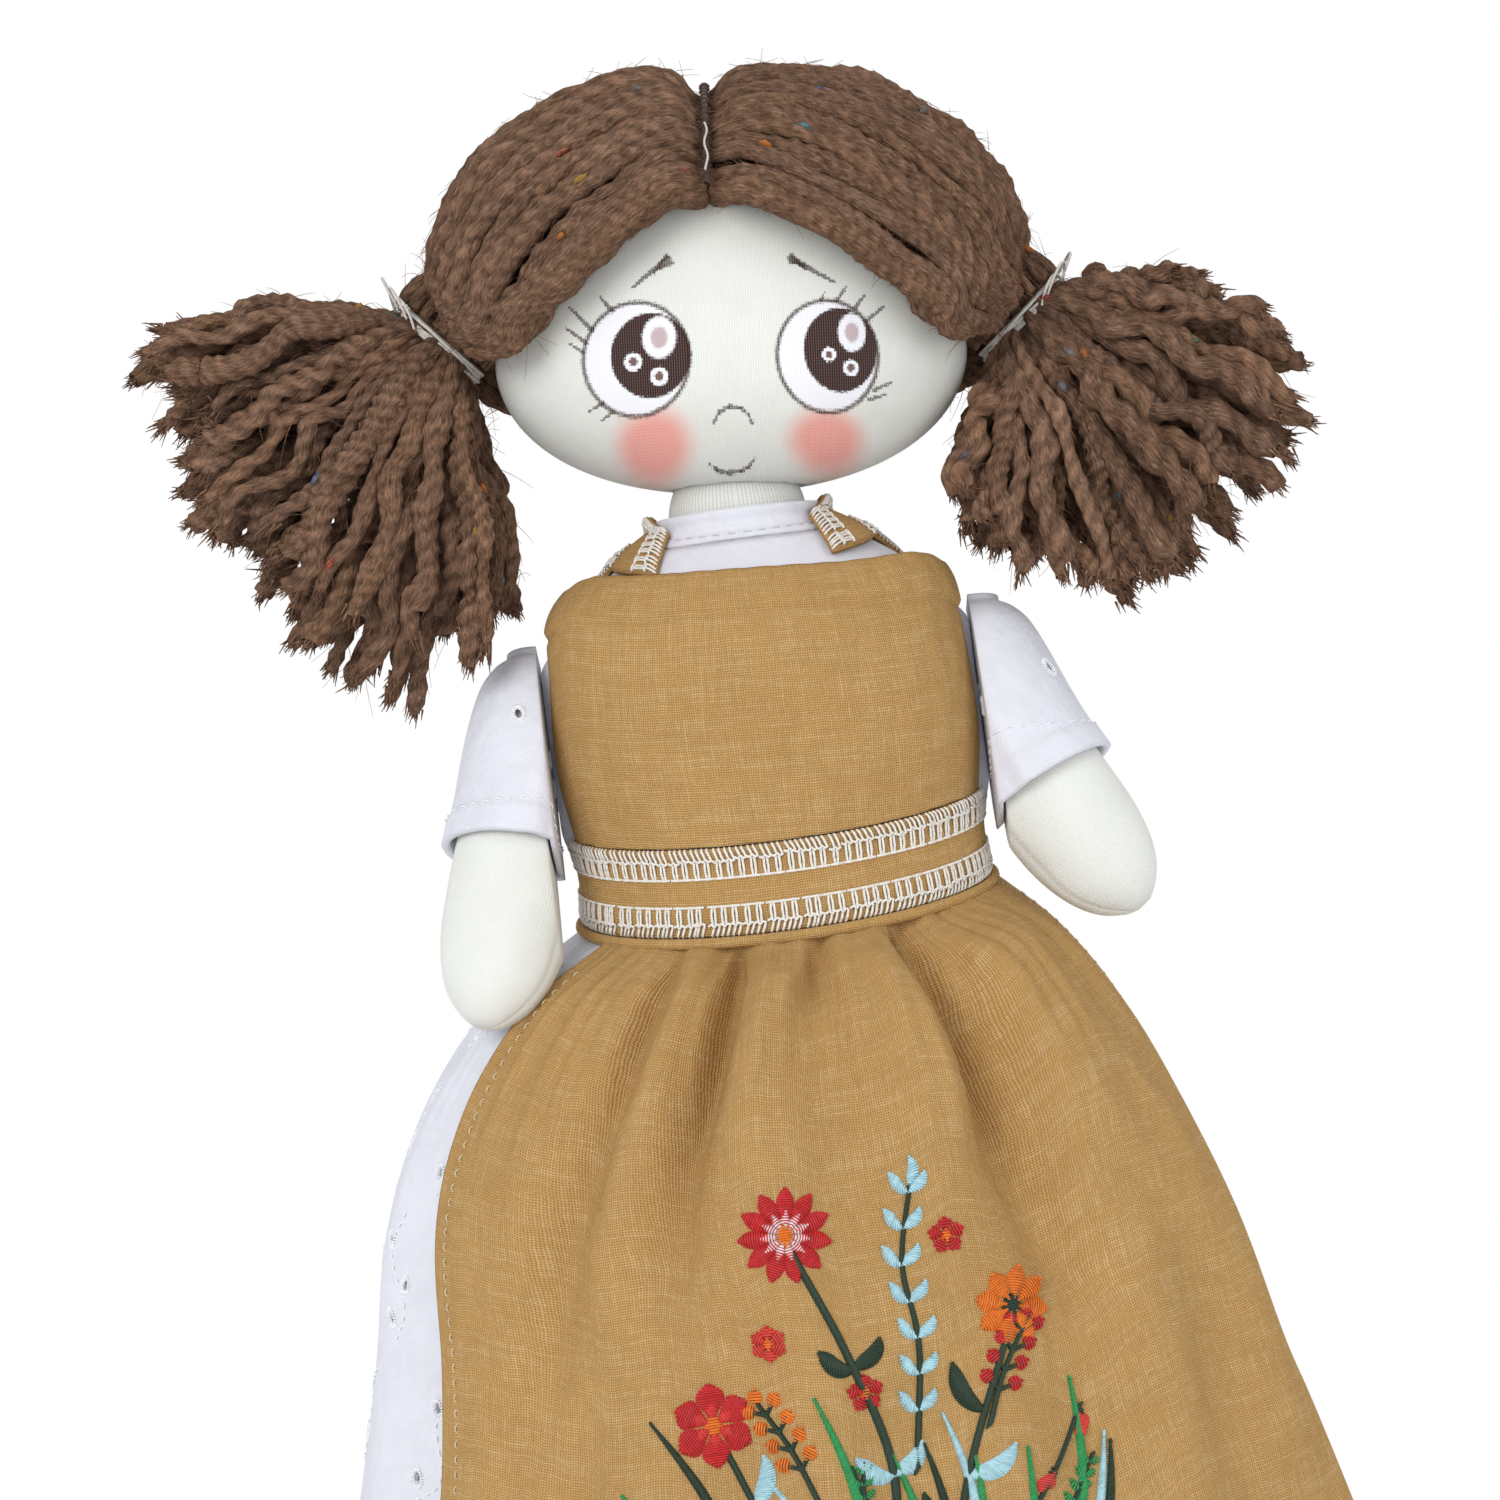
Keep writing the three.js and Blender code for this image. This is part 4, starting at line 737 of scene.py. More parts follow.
@dataclass(frozen=True)
class PrintedFace(Knit):
    """Knit with the doll's face printed on it."""

    ink: Colour = srgb(58, 34, 28)
    white: Colour = srgb(244, 244, 250)
    blush: Colour = srgb(240, 128, 112)
    hearts: tuple[Colour, Colour] = (srgb(196, 178, 180), srgb(120, 98, 94))
    eyes: tuple[Eye, ...] = (
        Eye((-17.58, 25.74, 9.54, 9.89), (-15.04, 26.26, 7.02, 7.28),
            ((-13.55, 29.23, 2.94, 3.64), (-18.11, 25.16, 1.56, 1.56), (-13.58, 22.59, 1.56, 1.56))),
        Eye((15.74, 26.29, 9.03, 9.72), (17.94, 27.40, 6.43, 7.21),
            ((19.94, 30.43, 2.43, 3.30), (15.92, 26.47, 1.22, 1.22), (19.79, 24.34, 1.39, 1.39))),
    )
    cheeks: tuple[tuple[float, float, float, float], ...] = (
        (-14.67, 11.33, 5.80, 5.27), (15.67, 12.32, 5.81, 4.40))
    strokes: tuple[tuple[float, float, float, float, float], ...] = (
        (-4.07, 14.96, -3.2, 16.5, 0.34), (-3.2, 16.5, -1.4, 17.48, 0.42), (-1.4, 17.48, 0.6, 17.2, 0.42),
        (0.6, 17.2, 1.9, 16.2, 0.38), (2.55, 14.90, 1.9, 16.2, 0.34),
        (-3.6, 7.35, -5.04, 8.35, 0.32), (-3.7, 7.3, -1.52, 6.95, 0.38), (-1.52, 6.95, 0.7, 7.3, 0.38),
        (0.7, 7.3, 2.1, 8.0, 0.36), (2.1, 8.0, 3.08, 9.25, 0.32),
        (-12.0, 43.0, -18.2, 38.1, 0.62), (-12.3, 43.4, -14.6, 40.4, 0.42), (-11.4, 42.2, -13.6, 41.2, 0.4),
        (9.3, 43.0, 16.8, 39.1, 0.6), (9.5, 43.5, 12.0, 41.0, 0.42), (9.2, 42.4, 12.2, 41.9, 0.4),
        (-25.3, 30.9, -29.4, 35.2, 0.42), (-26.5, 28.9, -30.0, 31.6, 0.42), (-21.8, 34.2, -24.0, 36.7, 0.42),
        (-27.0, 27.2, -29.4, 28.9, 0.34), (-23.6, 18.4, -26.2, 17.2, 0.38), (-21.8, 17.0, -24.0, 15.5, 0.34),
        (17.3, 35.9, 19.0, 38.4, 0.4), (20.4, 34.6, 22.2, 37.1, 0.4), (22.6, 32.6, 25.6, 35.4, 0.42),
        (24.0, 20.8, 27.1, 22.4, 0.38), (23.0, 19.2, 26.0, 20.2, 0.34), (14.6, 35.9, 15.2, 37.2, 0.3),
    )

    def dress(self, graph: Graph, surface: Node) -> None:
        """Bare knit, then the cheeks, the eyes and the strokes of ink."""
        colour, height = self.cloth(graph)
        spread = graph.add("ShaderNodeTexNoise", graph.flat("print"), None, 2.6, 2.0).outputs["Color"]
        offset = graph.scale(graph.vector("SUBTRACT", spread, (0.5, 0.5, 0.5)), 0.8)
        stitch = graph.vector("SNAP", graph.flat("print"), (self.wale, self.course, 1))
        held = graph.mix(0.6, graph.flat("print"), graph.vector("ADD", stitch, (0.21, 0.25, 0)))
        cleared = graph.vector("MULTIPLY", graph.vector("ADD", held, offset), (1, 1, 0))
        thin = graph.math("MULTIPLY_ADD", height, 0.55, 0.55)
        full = graph.math("MINIMUM", graph.math("MULTIPLY_ADD", height, 0.35, 0.85), 1.0)

        def spot(oval: Sequence[float], feather: float, swell: float = 0.0) -> Socket:
            """Ink of one oval."""
            return graph.group(ink_spot(), cleared, (oval[0], oval[1], 0),
                               (oval[2] + swell, oval[3] + swell, 1), feather).outputs[0]

        def lay(ink: Socket, share: Socket, tone: Colour) -> None:
            """Prints a tone over the colour so far."""
            nonlocal colour
            colour = graph.mix(graph.times(ink, share), colour, tone)

        for cheek in self.cheeks:
            lay(spot(cheek, 0.46, 0.5), graph.times(thin, 0.85), self.blush)
        for eye in self.eyes:
            lay(spot(eye.outline, 0.03, 0.15), thin, self.ink)
            lay(spot(eye.outline, 0.035, -0.55), full, self.white)
            lay(spot(eye.iris, 0.03), full, self.ink)
            for index, shine in enumerate(eye.shines):
                lay(spot(shine, 0.1), full, self.white)
                heart = (shine[0], shine[1], shine[2] * 0.5, shine[3] * 0.52)
                colour = graph.mix(spot(heart, 0.22), colour, self.hearts[min(index, 1)])
        for x0, z0, x1, z1, radius in self.strokes:
            mark = graph.group(ink_stroke(), cleared, (x0, z0, 0), (x1, z1, 0), radius)
            lay(graph.times(mark.outputs[0], thin), 0.9, self.ink)
        self.cover(graph, surface, colour, height, self.grooves, 0.4)


@dataclass(frozen=True)
class Cotton(Finish):
    """White cotton of the dress, with a faint weave."""

    colour: Colour = srgb(228, 229, 238)

    def dress(self, graph: Graph, surface: Node) -> None:
        """Fine plain weave with painted shade in the gaps between threads, and soft creases."""
        weave = graph.group(thread_weave(), graph.flat(), 0.3, 0.3, 0.2)
        tone = graph.group(soft_tone(), graph.place(), 14.0)
        base = graph.mix(tone.outputs[0], self.colour, [c * 0.94 for c in self.colour])
        # painted shade: the cotton darkens in the gaps between the threads
        shade = graph.mix(graph.times(weave.outputs["Gap"], 0.3), base,
                          [c * 0.7 for c in self.colour])
        crease = graph.noise(graph.place(), 0.22, 4.0, 0.62)
        height = graph.math("MULTIPLY_ADD", weave.outputs["Height"], 0.05, crease)
        self.cover(graph, surface, shade, height, 1.3, 0.5)


@dataclass(frozen=True)
class Flax(Finish):
    """Tan linen of the apron, with slubs."""

    colour: Colour = srgb(206, 163, 102)
    pale: Colour = srgb(226, 192, 140)
    # deep: darker linen for random tone and for the painted shade in the weave's gaps
    deep: Colour = srgb(130, 94, 50)
    pitch: float = 0.44

    def dress(self, graph: Graph, surface: Node) -> None:
        """Plain weave with lighter slubs, and gaps between threads darkened as painted shade."""
        weave = graph.group(thread_weave(), graph.flat(), self.pitch, self.pitch, 0.5)
        tone = graph.group(soft_tone(), graph.place(), 16.0)
        slub = graph.times(graph.span(weave.outputs["Slub"], 0.46, 0.68), 0.6)
        base = graph.mix(slub, self.colour, self.pale)
        base = graph.mix(graph.times(tone.outputs[0], 0.12), base, self.deep)
        fuzz = graph.group(fibre_fuzz(), graph.flat(), 1.7, 5.0)
        base = graph.mix(graph.times(fuzz.outputs["Strand"], 0.22), base, self.pale)
        # painted shade: the linen darkens in the gaps between the threads
        shade = graph.mix(graph.times(weave.outputs["Gap"], 0.72), base, self.deep)
        crease = graph.noise(graph.place(), 0.25, 4.0, 0.6)
        height = graph.math("MULTIPLY_ADD", weave.outputs["Height"], 0.3, crease)
        self.cover(graph, surface, shade, height, 1.1, 0.8)


@dataclass(frozen=True)
class Yarn(Finish):
    """Brown tweed yarn, tinted strand by strand."""

    light: Colour = srgb(192, 157, 132)
    # dark: for random tone and for the painted shade in the relief's hollows
    dark: Colour = srgb(58, 38, 29)

    def dress(self, graph: Graph, surface: Node) -> None:
        """Drawn-out fibres between the strand's own tint, a lighter and a darker brown; the darker brown
        also paints shade where the fibre relief is low.
        """
        fuzz = graph.group(fibre_fuzz(), graph.flat(), 3.4, 7.0)
        wool = graph.group(fibre_fuzz(), graph.flat(), 1.1, 2.6)
        tone = graph.group(soft_tone(), graph.place(), 5.0)
        base = graph.mix(graph.times(fuzz.outputs["Strand"], 0.65), graph.tint(), self.light)
        base = graph.mix(graph.times(tone.outputs[0], 0.3), base, self.dark)
        # painted shade: darker where the coarse fibre relief is low
        base = graph.mix(graph.span(wool.outputs["Height"], 0.52, 0.3, 0.0, 0.6), base, self.dark)
        height = graph.plus(graph.times(fuzz.outputs["Height"], 0.7),
                            graph.times(wool.outputs["Height"], 0.9))
        self.cover(graph, surface, base, height, 1.4, 1.0)


@dataclass(frozen=True)
class Floss(Finish):
    """Thread of the stitches, tinted by the mesh."""

    twist: float = 3.0

    def dress(self, graph: Graph, surface: Node) -> None:
        """Fine twisted fibres."""
        fuzz = graph.group(fibre_fuzz(), graph.flat(), 5.0, self.twist)
        shade = graph.mix(0.35, graph.tint(), (0, 0, 0), "MULTIPLY")
        colour = graph.mix(fuzz.outputs["Strand"], graph.tint(), shade)
        self.cover(graph, surface, colour, fuzz.outputs["Height"], 0.12, 0.6)


@dataclass(frozen=True)
class Felt(Finish):
    """Pressed felt of the shoes."""

    colour: Colour = srgb(150, 104, 70)

    def dress(self, graph: Graph, surface: Node) -> None:
        """Matted fibres."""
        place = graph.place()
        mat = graph.noise(place, 1.6, 5.0, 0.7)
        tone = graph.group(soft_tone(), place, 7.0)
        base = graph.mix(graph.span(mat, 0.35, 0.65), [c * 0.72 for c in self.colour], self.colour)
        base = graph.mix(graph.times(tone.outputs[0], 0.25), base, [c * 1.3 for c in self.colour])
        self.cover(graph, surface, base, mat, 0.5, 0.6)


@dataclass(frozen=True)
class Leather(Finish):
    """Brown leather of the soles."""

    colour: Colour = srgb(96, 60, 38)

    def dress(self, graph: Graph, surface: Node) -> None:
        """Fine grain that is paler where it is rubbed."""
        place = graph.place()
        cells = graph.add("ShaderNodeTexVoronoi", place, None, 1.3).outputs["Distance"]
        tone = graph.group(soft_tone(), place, 9.0)
        base = graph.mix(tone.outputs[0], self.colour, [c * 1.7 for c in self.colour])
        colour = graph.mix(graph.span(cells, 0.0, 0.35), [c * 0.5 for c in self.colour], base)
        self.cover(graph, surface, colour, cells, 0.25, 0.5)


KNIT = Knit("knit_finish")
RIB = Knit("rib_finish", wale=0.75, course=0.6, grooves=0.24)
FACE = PrintedFace("face_finish")
COTTON = Cotton("cotton_finish")
LINEN = Flax("linen_finish", sheen_tint=srgb(235, 205, 150))
WOOL = Yarn("yarn_finish", roughness=1.0, sheen=0.1, shine=0.04, sheen_tint=srgb(205, 170, 140))
FLOSS = Floss("thread_finish", roughness=0.6, shine=0.2)
SILK = Floss("satin_finish", roughness=0.42, shine=0.35, twist=6.0)
FELT = Felt("felt_finish", sheen=0.15)
HIDE = Leather("leather_finish", roughness=0.5, sheen=0.0, shine=0.3)


@dataclass(frozen=True)
class TorsoForm:
    """Shape of the stuffed torso and of the cloth that lies on it, in millimetres."""

    base: float = 200.0
    top: float = 313.0
    half_width: float = 36.0
    half_depth: float = 27.0
    neck: float = 13.6
    foot: float = 3.5
    waist: float = 251.0
    band_rise: float = 11.0
    band_half: float = 8.0
    rows: tuple[tuple[float, float, float], ...] = (
        (0, 0.72, 0.67), (0.022, 0.86, 0.83), (0.07, 0.97, 0.94), (0.19, 1.03, 1), (0.36, 0.96, 0.945),
        (0.5, 0.93, 0.925), (0.66, 1, 1), (0.79, 0.985, 1), (0.88, 0.9, 0.925), (0.93, 0.79, 0.815),
        (0.973, 0.61, 0.667), (1, 0.47, 0.56))

    def halves(self, height: Array) -> tuple[Array, Array]:
        """Half width and half depth at a height."""
        share = (height - self.base) / (self.top - self.base)
        width = self.half_width * table(self.rows, share, 1)
        depth = self.half_depth * table(self.rows, share, 2)
        fall = np.where(height > self.top, np.maximum(1 - (height - self.top) / self.foot, 0) ** 2, 1)
        return self.neck * (1 - fall) + width * fall, self.neck * (1 - fall) + depth * fall

    def point(self, angle: Array, height: Array, offset: Array) -> Array:
        """Points at angles from the front and heights, pushed out along the surface."""
        angle, height = np.broadcast_arrays(np.asarray(angle, float), np.asarray(height, float))
        width, depth = self.halves(height)
        above, below = self.halves(height + 0.5), self.halves(height - 0.5)
        slope = (above[0] + above[1] - below[0] - below[1]) / 2
        out = offset / np.hypot(1, slope)
        return around(width + out, depth + out, angle, height - out * slope)

    def rise(self, angle: Array) -> Array:
        """Rise of the waistband's middle above its front."""
        return self.band_rise * np.sin(np.asarray(angle) / 2) ** 2

    def band(self, angle: Array, side: float) -> Array:
        """Height of the waistband's edge, above for a side of 1 and below for -1."""
        return self.waist + self.rise(angle) + side * self.band_half


TORSO = TorsoForm()


@dataclass(frozen=True)
class Crease:
    """Fold line of the skirt in the front view, with its depth and half width in millimetres."""

    depth: float
    half: float
    line: tuple[tuple[float, float], ...]
    tail: float = 0.45

    def dent(self, x: Array, z: Array) -> Array:
        """Depth of the fold at places of the front view."""
        line = np.asarray(self.line, float)
        best, along = np.full(x.shape, 1e9), np.zeros(x.shape)
        for index, (start, end) in enumerate(zip(line[:-1], line[1:])):
            step = end - start
            share = np.clip(((x - start[0]) * step[0] + (z - start[1]) * step[1]) / (step @ step), 0, 1)
            away = np.hypot(x - start[0] - share * step[0], z - start[1] - share * step[1])
            near = away < best
            best = np.where(near, away, best)
            along = np.where(near, (index + share) / (len(line) - 1), along)
        half = self.half * (0.8 + 1.5 * along)
        fade = 1 - (1 - self.tail) * smooth(0.35, 1, along)
        return self.depth * fade * bell(best, half)


@dataclass(frozen=True)
class SkirtForm:
    """Shape of the gathered skirts, in millimetres, with shares of their length and hem."""

    waist: float = 251.0
    length: float = 165.0
    half_width: float = 100.0
    half_depth: float = 72.0
    sway: float = 8.0
    fold: float = 4.6
    folds: int = 12
    crowd: float = 0.35
    heights: tuple[float, ...] = (1, 0.75, 1.1, 0.7, 0.95, 0.65, 0.8, 0.6, 0.85, 0.7, 0.9, 0.8)
    rows: tuple[tuple[float, ...], ...] = (
        (0.05, 0.36, 0.371, 0, 0.08), (0.11, 0.51, 0.44, 0.5, 0.25), (0.2, 0.64, 0.525, 0.79, 0.45),
        (0.31, 0.73, 0.61, 0.94, 0.65), (0.46, 0.8, 0.72, 0.78, 0.82), (0.68, 0.9, 0.855, 0.75, 0.95),
        (0.91, 0.975, 0.965, 0.5, 1), (1, 1, 1, 0.44, 1))
    creases: tuple[Crease, ...] = (
        Crease(5.0, 2.6, ((-9.5, 246), (-11.3, 241.2), (-14.8, 229.7), (-19.7, 217.4), (-24.2, 207.2),
                          (-27, 198), (-29, 190))),
        Crease(3.6, 2.2, ((4.8, 246), (4.5, 240.3), (2.5, 234), (0.3, 230), (-1.5, 222))),
        Crease(2.2, 2.0, ((10.6, 246), (11, 239.5), (11.9, 232.8), (11, 228.5))),
        Crease(5.6, 2.8, ((18.5, 246), (20.2, 240.3), (25.8, 230.8), (29.5, 221.5), (31.3, 211.5),
                          (32.2, 202.7), (36.7, 191.3), (40, 180))),
        Crease(-2.6, 5.0, ((34.7, 240.2), (43.9, 220.2), (57, 198.1), (63.6, 180.3), (71.5, 149.5)), 0.5),
        Crease(3.0, 2.6, ((-20.5, 243.3), (-29.3, 230.2), (-39, 214), (-46.8, 195.6), (-52.6, 174.9),
                          (-61.7, 154.3)), 0.4),
        Crease(1.4, 1.4, ((-7.5, 245), (-7.8, 240.8), (-8.5, 236))),
        Crease(1.2, 1.2, ((-0.7, 245), (-1.1, 240), (-1.9, 236))),
        Crease(1.4, 1.5, ((26, 245), (26.8, 240.4), (28.7, 236))),
        Crease(-2.4, 5.5, ((12.5, 238), (17, 226), (20, 212), (18, 196), (14, 182)), 0.5),
        Crease(-2.2, 5.0, ((-3, 236), (-9, 222), (-13, 206), (-16, 190)), 0.5),
    )

    def angle(self, column: Array) -> Array:
        """Angle of a column from 0 to 60, closer together at the front."""
        even = TURN * np.asarray(column, float) / 60
        return even - self.crowd * np.sin(even)

    def point(self, column: Array, share: float, offset: float) -> Array:
        """Points of one row on the dress skirt's outside, pushed out by an offset."""
        column = np.asarray(column, float)
        angle, phase = self.angle(column), self.folds * column / 60
        low = np.floor(phase).astype(int)
        part = smooth(0, 1, phase - low)
        heights = np.asarray(self.heights)
        fold = heights[low % self.folds] * (1 - part) + heights[(low + 1) % self.folds] * part
        wave = self.fold * fold * table(self.rows, share, 4) * (np.cos(TURN * phase) - 1) / 2
        width = self.half_width * table(self.rows, share, 1) + offset + wave
        back = self.half_depth * table(self.rows, share, 2) + offset + wave
        level = 1 - min(share / self.rows[3][0], 1)
        return np.stack([-self.sway * table(self.rows, share, 3) + width * np.sin(angle),
                         -back * np.cos(angle),
                         self.waist - self.length * share + TORSO.rise(angle) * level], -1)

    def layer(self, columns: Array, shares: Array, offset: float, top: float,
              starts: Sequence[float], lean: float = 0.0) -> Array:
        """Fine grid of a skirt layer, with its gathers and creases.

        Args:
            columns: Columns of the grid.
            shares: Rows of the grid, as shares of the length.
            offset: Distance from the dress skirt's outside.
            top: Distance from the torso at the gathered top.
            starts: Drops below the waistband's middle of the rows on the torso.
            lean: Columns by which the first edge hangs nearer to the front.

        Returns:
            Points, (rows, columns, 3).
        """
        angle = self.angle(columns)
        keys = [drop / self.length for drop in starts] + [row[0] for row in self.rows[1:]]
        rows = [TORSO.point(angle, self.waist + TORSO.rise(angle) - drop, top) for drop in starts]
        edge = lean * (columns[-1] - columns) / (columns[-1] - columns[0])
        for share in (row[0] for row in self.rows[1:]):
            leaning = float(smooth(0.0, 0.12, share) - smooth(0.55, 1, share))
            rows.append(self.point(columns + edge * leaning, share, offset))
        points = through(keys, np.stack(rows), shares)
        gather = (np.sin(41 * angle) + 0.8 * np.sin(67 * angle + 1.7) + 0.7 * np.sin(29 * angle + 0.6)
                  + 0.6 * np.sin(97 * angle + 4.0))
        depth = 0.4 * smooth(0.045, 0.075, shares) * (1 - smooth(0.09, 0.34, shares))
        soft = (np.sin(9 * angle + 2) + np.sin(17 * angle + 14 * shares[:, None])) * 0.45
        away = unit(points * (1, 1, 0))
        front = smooth(0.05, 0.4, -away[..., 1])
        swell = depth[:, None] * gather * front + soft * smooth(0.15, 0.5, shares)[:, None]
        swell = swell + 4.2 * front * (smooth(0.045, 0.1, shares) * (1 - smooth(0.25, 0.6, shares)))[:, None]
        points = points + away * swell[..., None]
        dent = 2.0 * sum(crease.dent(points[..., 0], points[..., 2]) for crease in self.creases)
        dent = dent * front * smooth(0.04, 0.1, shares)[:, None]
        tuck = max(0.0, 0.9 - offset) * 1.1 * front * smooth(0.06, 0.14, shares)[:, None]
        return points - away * (np.clip(dent, -4, 9) * (1.0 if offset > 0.5 else 1.12) + tuck)[..., None]


SKIRT = SkirtForm()
OVERLOCK_PITCH = 2.1
OVERLOCK_TINT = srgb(240, 236, 228)
EYELET_TINT = srgb(246, 247, 253)


class Cloth:
    """A layer of cloth as a fine grid, whose seams and stitches are laid in flat coordinates."""

    def __init__(self, outer: Array, inner: Array, wraps: bool = False) -> None:
        """Takes the outside and the inside points, with rows that run downwards."""
        self.outer, self.inner, self.wraps = outer, inner, wraps
        self.flat = flat_of(outer, wraps)
        held = np.concatenate([outer, outer[:, :1]], 1) if wraps else outer
        self.held = held
        across, down = np.gradient(held, axis=1), np.gradient(held, axis=0)
        self.normals = unit(np.cross(down, across))
        self.width = float(self.flat[0, -1, 0] - self.flat[0, 0, 0])
        self.long = float(self.flat[-1, 0, 1])

    def sheet(self, keep: Optional[Array] = None) -> Mesher:
        """New piece with the closed layer of cloth, or with the faces of it that stay."""
        mesher = Mesher()
        mesher.cloth(self.outer, self.inner, self.wraps, keep)
        return mesher

    def level(self, v: float, inset: float = 0.0, step: float = 0.5) -> Array:
        """Flat places across the cloth at one distance from its top."""
        u = np.arange(self.flat[0, 0, 0] + inset, self.flat[0, -1, 0] - inset, step)
        return np.stack([u, np.full_like(u, v)], 1)

    def spot(self, places: Array, lift: Union[Array, float] = 0.0) -> Array:
        """Points over places of the cloth.

        Args:
            places: Flat coordinates, (..., 2).
            lift: Height over the cloth.

        Returns:
            Points, (..., 3).
        """
        shape = places.shape[:-1]
        u, v = places[..., 0].ravel(), places[..., 1].ravel()
        if self.wraps:
            u = (u - self.flat[0, 0, 0]) % self.width + self.flat[0, 0, 0]
        columns = np.interp(u, self.flat[0, :, 0], np.arange(self.flat.shape[1]))
        column = np.minimum(columns.astype(int), self.flat.shape[1] - 2)
        part = (columns - column)[:, None]
        ends = self.flat[:, column, 1] * (1 - part.T) + self.flat[:, column + 1, 1] * part.T
        row = np.clip((ends <= v).sum(0) - 1, 0, len(ends) - 2)
        picked = np.arange(len(v))
        low, high = ends[row, picked], ends[row + 1, picked]
        share = np.clip((v - low) / np.maximum(high - low, 1e-6), 0, 1)[:, None]

        def read(grid: Array) -> Array:
            """Value between the four grid points round each place."""
            upper = grid[row, column] * (1 - part) + grid[row, column + 1] * part
            lower = grid[row + 1, column] * (1 - part) + grid[row + 1, column + 1] * part
            return upper * (1 - share) + lower * share

        lifted = read(self.held) + unit(read(self.normals)) * np.broadcast_to(lift, shape).reshape(-1, 1)
        return lifted.reshape(*shape, 3)

    def edge(self, side: str, step: float, inset: float = 0.0) -> tuple[Array, Array, Array]:
        """Places along an edge.

        Args:
            side: Name of the edge: top, bottom, first or last.
            step: Distance between the places.
            inset: Distance in from the edge.

        Returns:
            Flat coordinates along the edge, the directions along it, and those into the cloth.
        """
        row, column = {"top": (0, None), "bottom": (-1, None),
                       "first": (None, 0), "last": (None, -1)}[side]
        line = self.flat[row] if column is None else self.flat[:, column]
        run = np.r_[0, np.cumsum(np.linalg.norm(np.diff(line, axis=0), axis=1))]
        wanted = np.arange(step / 2, run[-1], step)
        places = np.stack([np.interp(wanted, run, line[:, axis]) for axis in (0, 1)], 1)
        along = unit(np.gradient(places, axis=0))
        inward = along[:, ::-1] * ((-1, 1) if side in ("top", "last") else (1, -1))
        return places + inward * inset, along, inward

    def stitches(self, mesher: Mesher, line: Array, long: float, gap: float, radius: float,
                 tint: Colour) -> None:
        """Lays running stitches along a line of flat coordinates."""
        run = np.r_[0, np.cumsum(np.linalg.norm(np.diff(line, axis=0), axis=1))]
        starts = np.arange(0.3, run[-1] - long, long + gap)
        spots = starts[:, None] + np.linspace(0, long, 5)
        places = np.stack([np.interp(spots, run, line[:, axis]) for axis in (0, 1)], -1)
        mesher.tubes(self.spot(places, np.array([-0.15, 0.16, 0.24, 0.16, -0.15])), radius, 6, tint)

    def overlock(self, mesher: Mesher, side: str, wide: float, seed: int) -> None:
        """Lays an overlock seam over an edge: rungs, a knotty looper line, edge wraps and a needle line."""
        chance = np.random.default_rng(seed)
        places, along, inward = self.edge(side, OVERLOCK_PITCH)
        wobble = chance.normal(0, 0.16, (len(places), 2))
        places = places + along * wobble[:, :1]
        looper = wide * 0.36 + wobble[:, 1]
        radius = 0.23

        def lay(stops: Sequence[tuple[float, Union[Array, float], float]], thick: float) -> None:
            """One thread for each place: stops along the edge, into the cloth and over it."""
            shifts = np.stack([np.broadcast_to(stop[0], len(places)) for stop in stops], 1)
            depths = np.stack([np.broadcast_to(stop[1], len(places)) for stop in stops], 1)
            path = places[:, None] + along[:, None] * shifts[..., None] + inward[:, None] * depths[..., None]
            mesher.tubes(self.spot(path, np.array([stop[2] for stop in stops])), thick, 6, OVERLOCK_TINT)

        for shift in (-0.22, 0.22):
            lay([(shift, looper, 0.3), (shift * 1.4, looper + 0.8, 0.36),
                 (shift * 1.6, wide * 0.75, 0.33), (shift, wide, 0.05)], radius)
        for shift in (-0.5, 0.45):
            lay([(shift + 0.5, looper, 0.25), (shift + 0.2, looper * 0.5, 0.42), (shift - 0.1, 0.25, 0.3),
                 (shift - 0.2, -0.05, -0.25)], radius)
        lay([(-1.05, looper, 0.3), (-0.45, looper + 0.3, 0.5), (0, looper - 0.25, 0.55),
             (0.5, looper + 0.3, 0.5), (1.05, looper, 0.3)], radius * 1.15)
        lay([(-1.0, wide, 0.0), (-0.6, wide, 0.26), (0, wide + 0.05, 0.3), (0.6, wide, 0.26),
             (1.0, wide, 0.0)], radius)


@dataclass
class TorsoPiece:
    """Stuffed torso and neck."""

    form: TorsoForm = TORSO
    neck_radius: float = 12.6
    neck_foot: float = 313.4

    def build(self) -> None:
        """Makes the torso and the neck that the head turns on."""
        angles = circle(96)
        torso, neck = Mesher(), Mesher()
        torso.skin(self.form.point(angles, np.linspace(self.form.top, self.form.base, 60)[:, None], 0.0))
        torso.piece("torso_body", KNIT, "torso", Slot.KNIT, "body")
        dome = np.linspace(0, math.pi / 2, 14)[:0:-1]
        reach = np.r_[np.maximum(self.neck_radius * np.cos(dome), 0.05), np.full(9, self.neck_radius)]
        rise = np.r_[NECK_HEIGHT + self.neck_radius * np.sin(dome),
                     np.linspace(NECK_HEIGHT, self.neck_foot, 9)]
        neck.skin(around(reach[:, None], reach[:, None], angles, rise[:, None]))
        neck.piece("neck_knit", RIB, "neck", Slot.KNIT, "neck")


